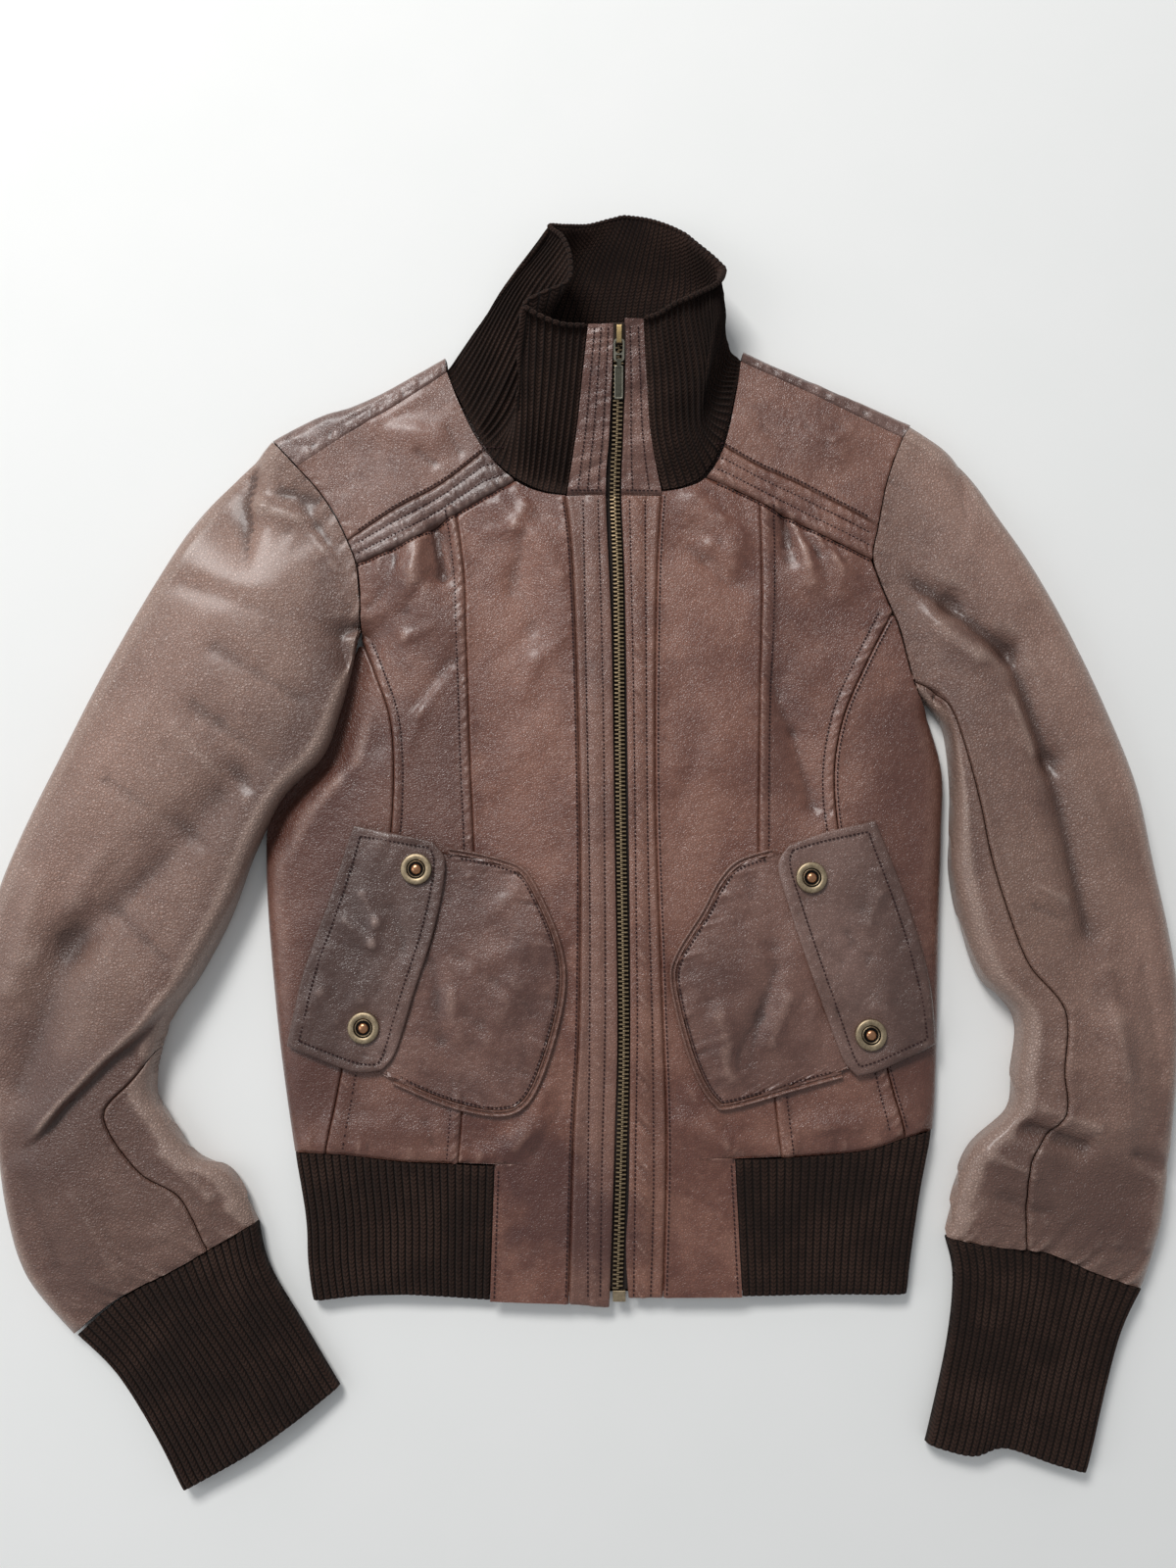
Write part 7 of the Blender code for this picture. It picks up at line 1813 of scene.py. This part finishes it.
def tilted(angle):
    """Side, along and up for something that leans back by an angle."""
    c, s = math.cos(angle), math.sin(angle)
    return np.array([[(1.0, 0.0, 0.0), (0.0, c, s), (0.0, -s, c)]])


def outline(half_wide, half_long, round_by):
    """Points round a rectangle with rounded corners."""
    points = []
    for k, (sx, sy) in enumerate(((1, 1), (-1, 1), (-1, -1), (1, -1))):
        for a in (0.0, 22.5, 45.0, 67.5, 90.0):
            t = math.radians(90.0 * k + a)
            points.append((sx * (half_wide - round_by) + round_by * math.cos(t),
                           sy * (half_long - round_by) + round_by * math.sin(t)))
    return points


LEAN = math.atan(COLLAR_SLOPE)
slider_at = np.array([[1.7, 569.0, float(front_base(np.array(1.7), np.array(569.0)))]])
BRIDGE, BRIDGE_FACES = rings_form([(-6.9, 1.2, 2.6, 3.1), (-6.3, 1.42, 3.3, 4.1), (-5.3, 1.45, 3.8, 4.55),
                                   (3.6, 1.45, 3.8, 4.55), (4.8, 1.42, 3.2, 4.1), (5.5, 1.2, 2.3, 2.9)])
copies("zip_bridge_cover", BRIDGE, BRIDGE_FACES, slider_at, tilted(LEAN), "brass", GOLD_BRASS)
TAB_LONG, TAB_THICK, TAB_LEAN = 19.4, 1.4, LEAN + math.radians(2.5)
low, high = (np.array(corner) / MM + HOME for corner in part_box("zip_pull_tab"))
long_way = tilted(TAB_LEAN)[0][1]
centre = np.array((0.0, low[1], low[2])) + long_way * TAB_LONG / 2 + TAB_THICK / 2 * np.array(
    (0.0, math.sin(TAB_LEAN), math.cos(TAB_LEAN)))
centre[0] = (low[0] + high[0]) / 2
rings = [(2.62, 9.62, 0.45), (2.66, 9.66, 0.95), (2.5, 9.5, 1.15), (1.95, 8.95, 1.15), (1.75, 8.75, 0.95),
         (1.7, 8.7, 0.45)]
template = [(x, y, z) for half, tall, z in rings for x, y in outline(half, tall, 0.9 if half > 2 else 0.4)]
count = len(template) // len(rings)
faces = [(k * count + j, k * count + (j + 1) % count, (k + 1) % len(rings) * count + (j + 1) % count,
          (k + 1) % len(rings) * count + j) for k in range(len(rings)) for j in range(count)]
copies("zip_tab_rim", np.array(template), faces, centre[None], tilted(TAB_LEAN), "brass", GREY_BRASS,
       "pull_tab")
print("rim of the tab, in mm above the table:", round(float(centre[2]), 1))


# %% [markdown]
# The jacket lies on a plain pale floor. One broad lamp stands for the window, high and to the upper
# left, so that folds and seams have a lit side and a shaded one. A weaker lamp opens the left side.

# %% Floor and light
def floor_finish():
    material, tree, shader = new_material("pale_floor")
    tree.links.new(blend(tree, clouds(tree, 60.0, 3.0), (0.86, 0.87, 0.85, 1), (0.89, 0.89, 0.875, 1)),
                   shader.inputs["Base Color"])
    shader.inputs["Roughness"].default_value = 0.75
    return material


ground = bpy.data.meshes.new("floor")
ground.from_pydata([(-3, -3, 0), (3, -3, 0), (3, 3, 0), (-3, 3, 0)], [], [(0, 1, 2, 3)])
floor = bpy.data.objects.new("floor", ground)
ground.materials.append(floor_finish())
bpy.context.scene.collection.objects.link(floor)


def lamp(name, place_at, size, power, colour):
    light = bpy.data.lights.new(name, "AREA")
    light.shape = "RECTANGLE"
    light.size, light.size_y = size
    light.energy = power
    light.color = colour
    thing = bpy.data.objects.new(name, light)
    thing.location = place_at
    thing.rotation_euler = (-Vector(place_at)).to_track_quat("-Z", "Y").to_euler()
    bpy.context.scene.collection.objects.link(thing)


lamp("window", (-0.95, 1.9, 2.2), (1.1, 0.8), 66.0, (1.0, 0.99, 0.98))
lamp("side", (-1.5, -0.1, 1.1), (1.0, 1.2), 5.0, (0.97, 0.98, 1.0))
sky = bpy.data.worlds.new("studio")
sky.use_nodes = True
sky.node_tree.nodes["Background"].inputs["Color"].default_value = (0.93, 0.96, 1.0, 1)
sky.node_tree.nodes["Background"].inputs["Strength"].default_value = 0.35
bpy.context.scene.world = sky
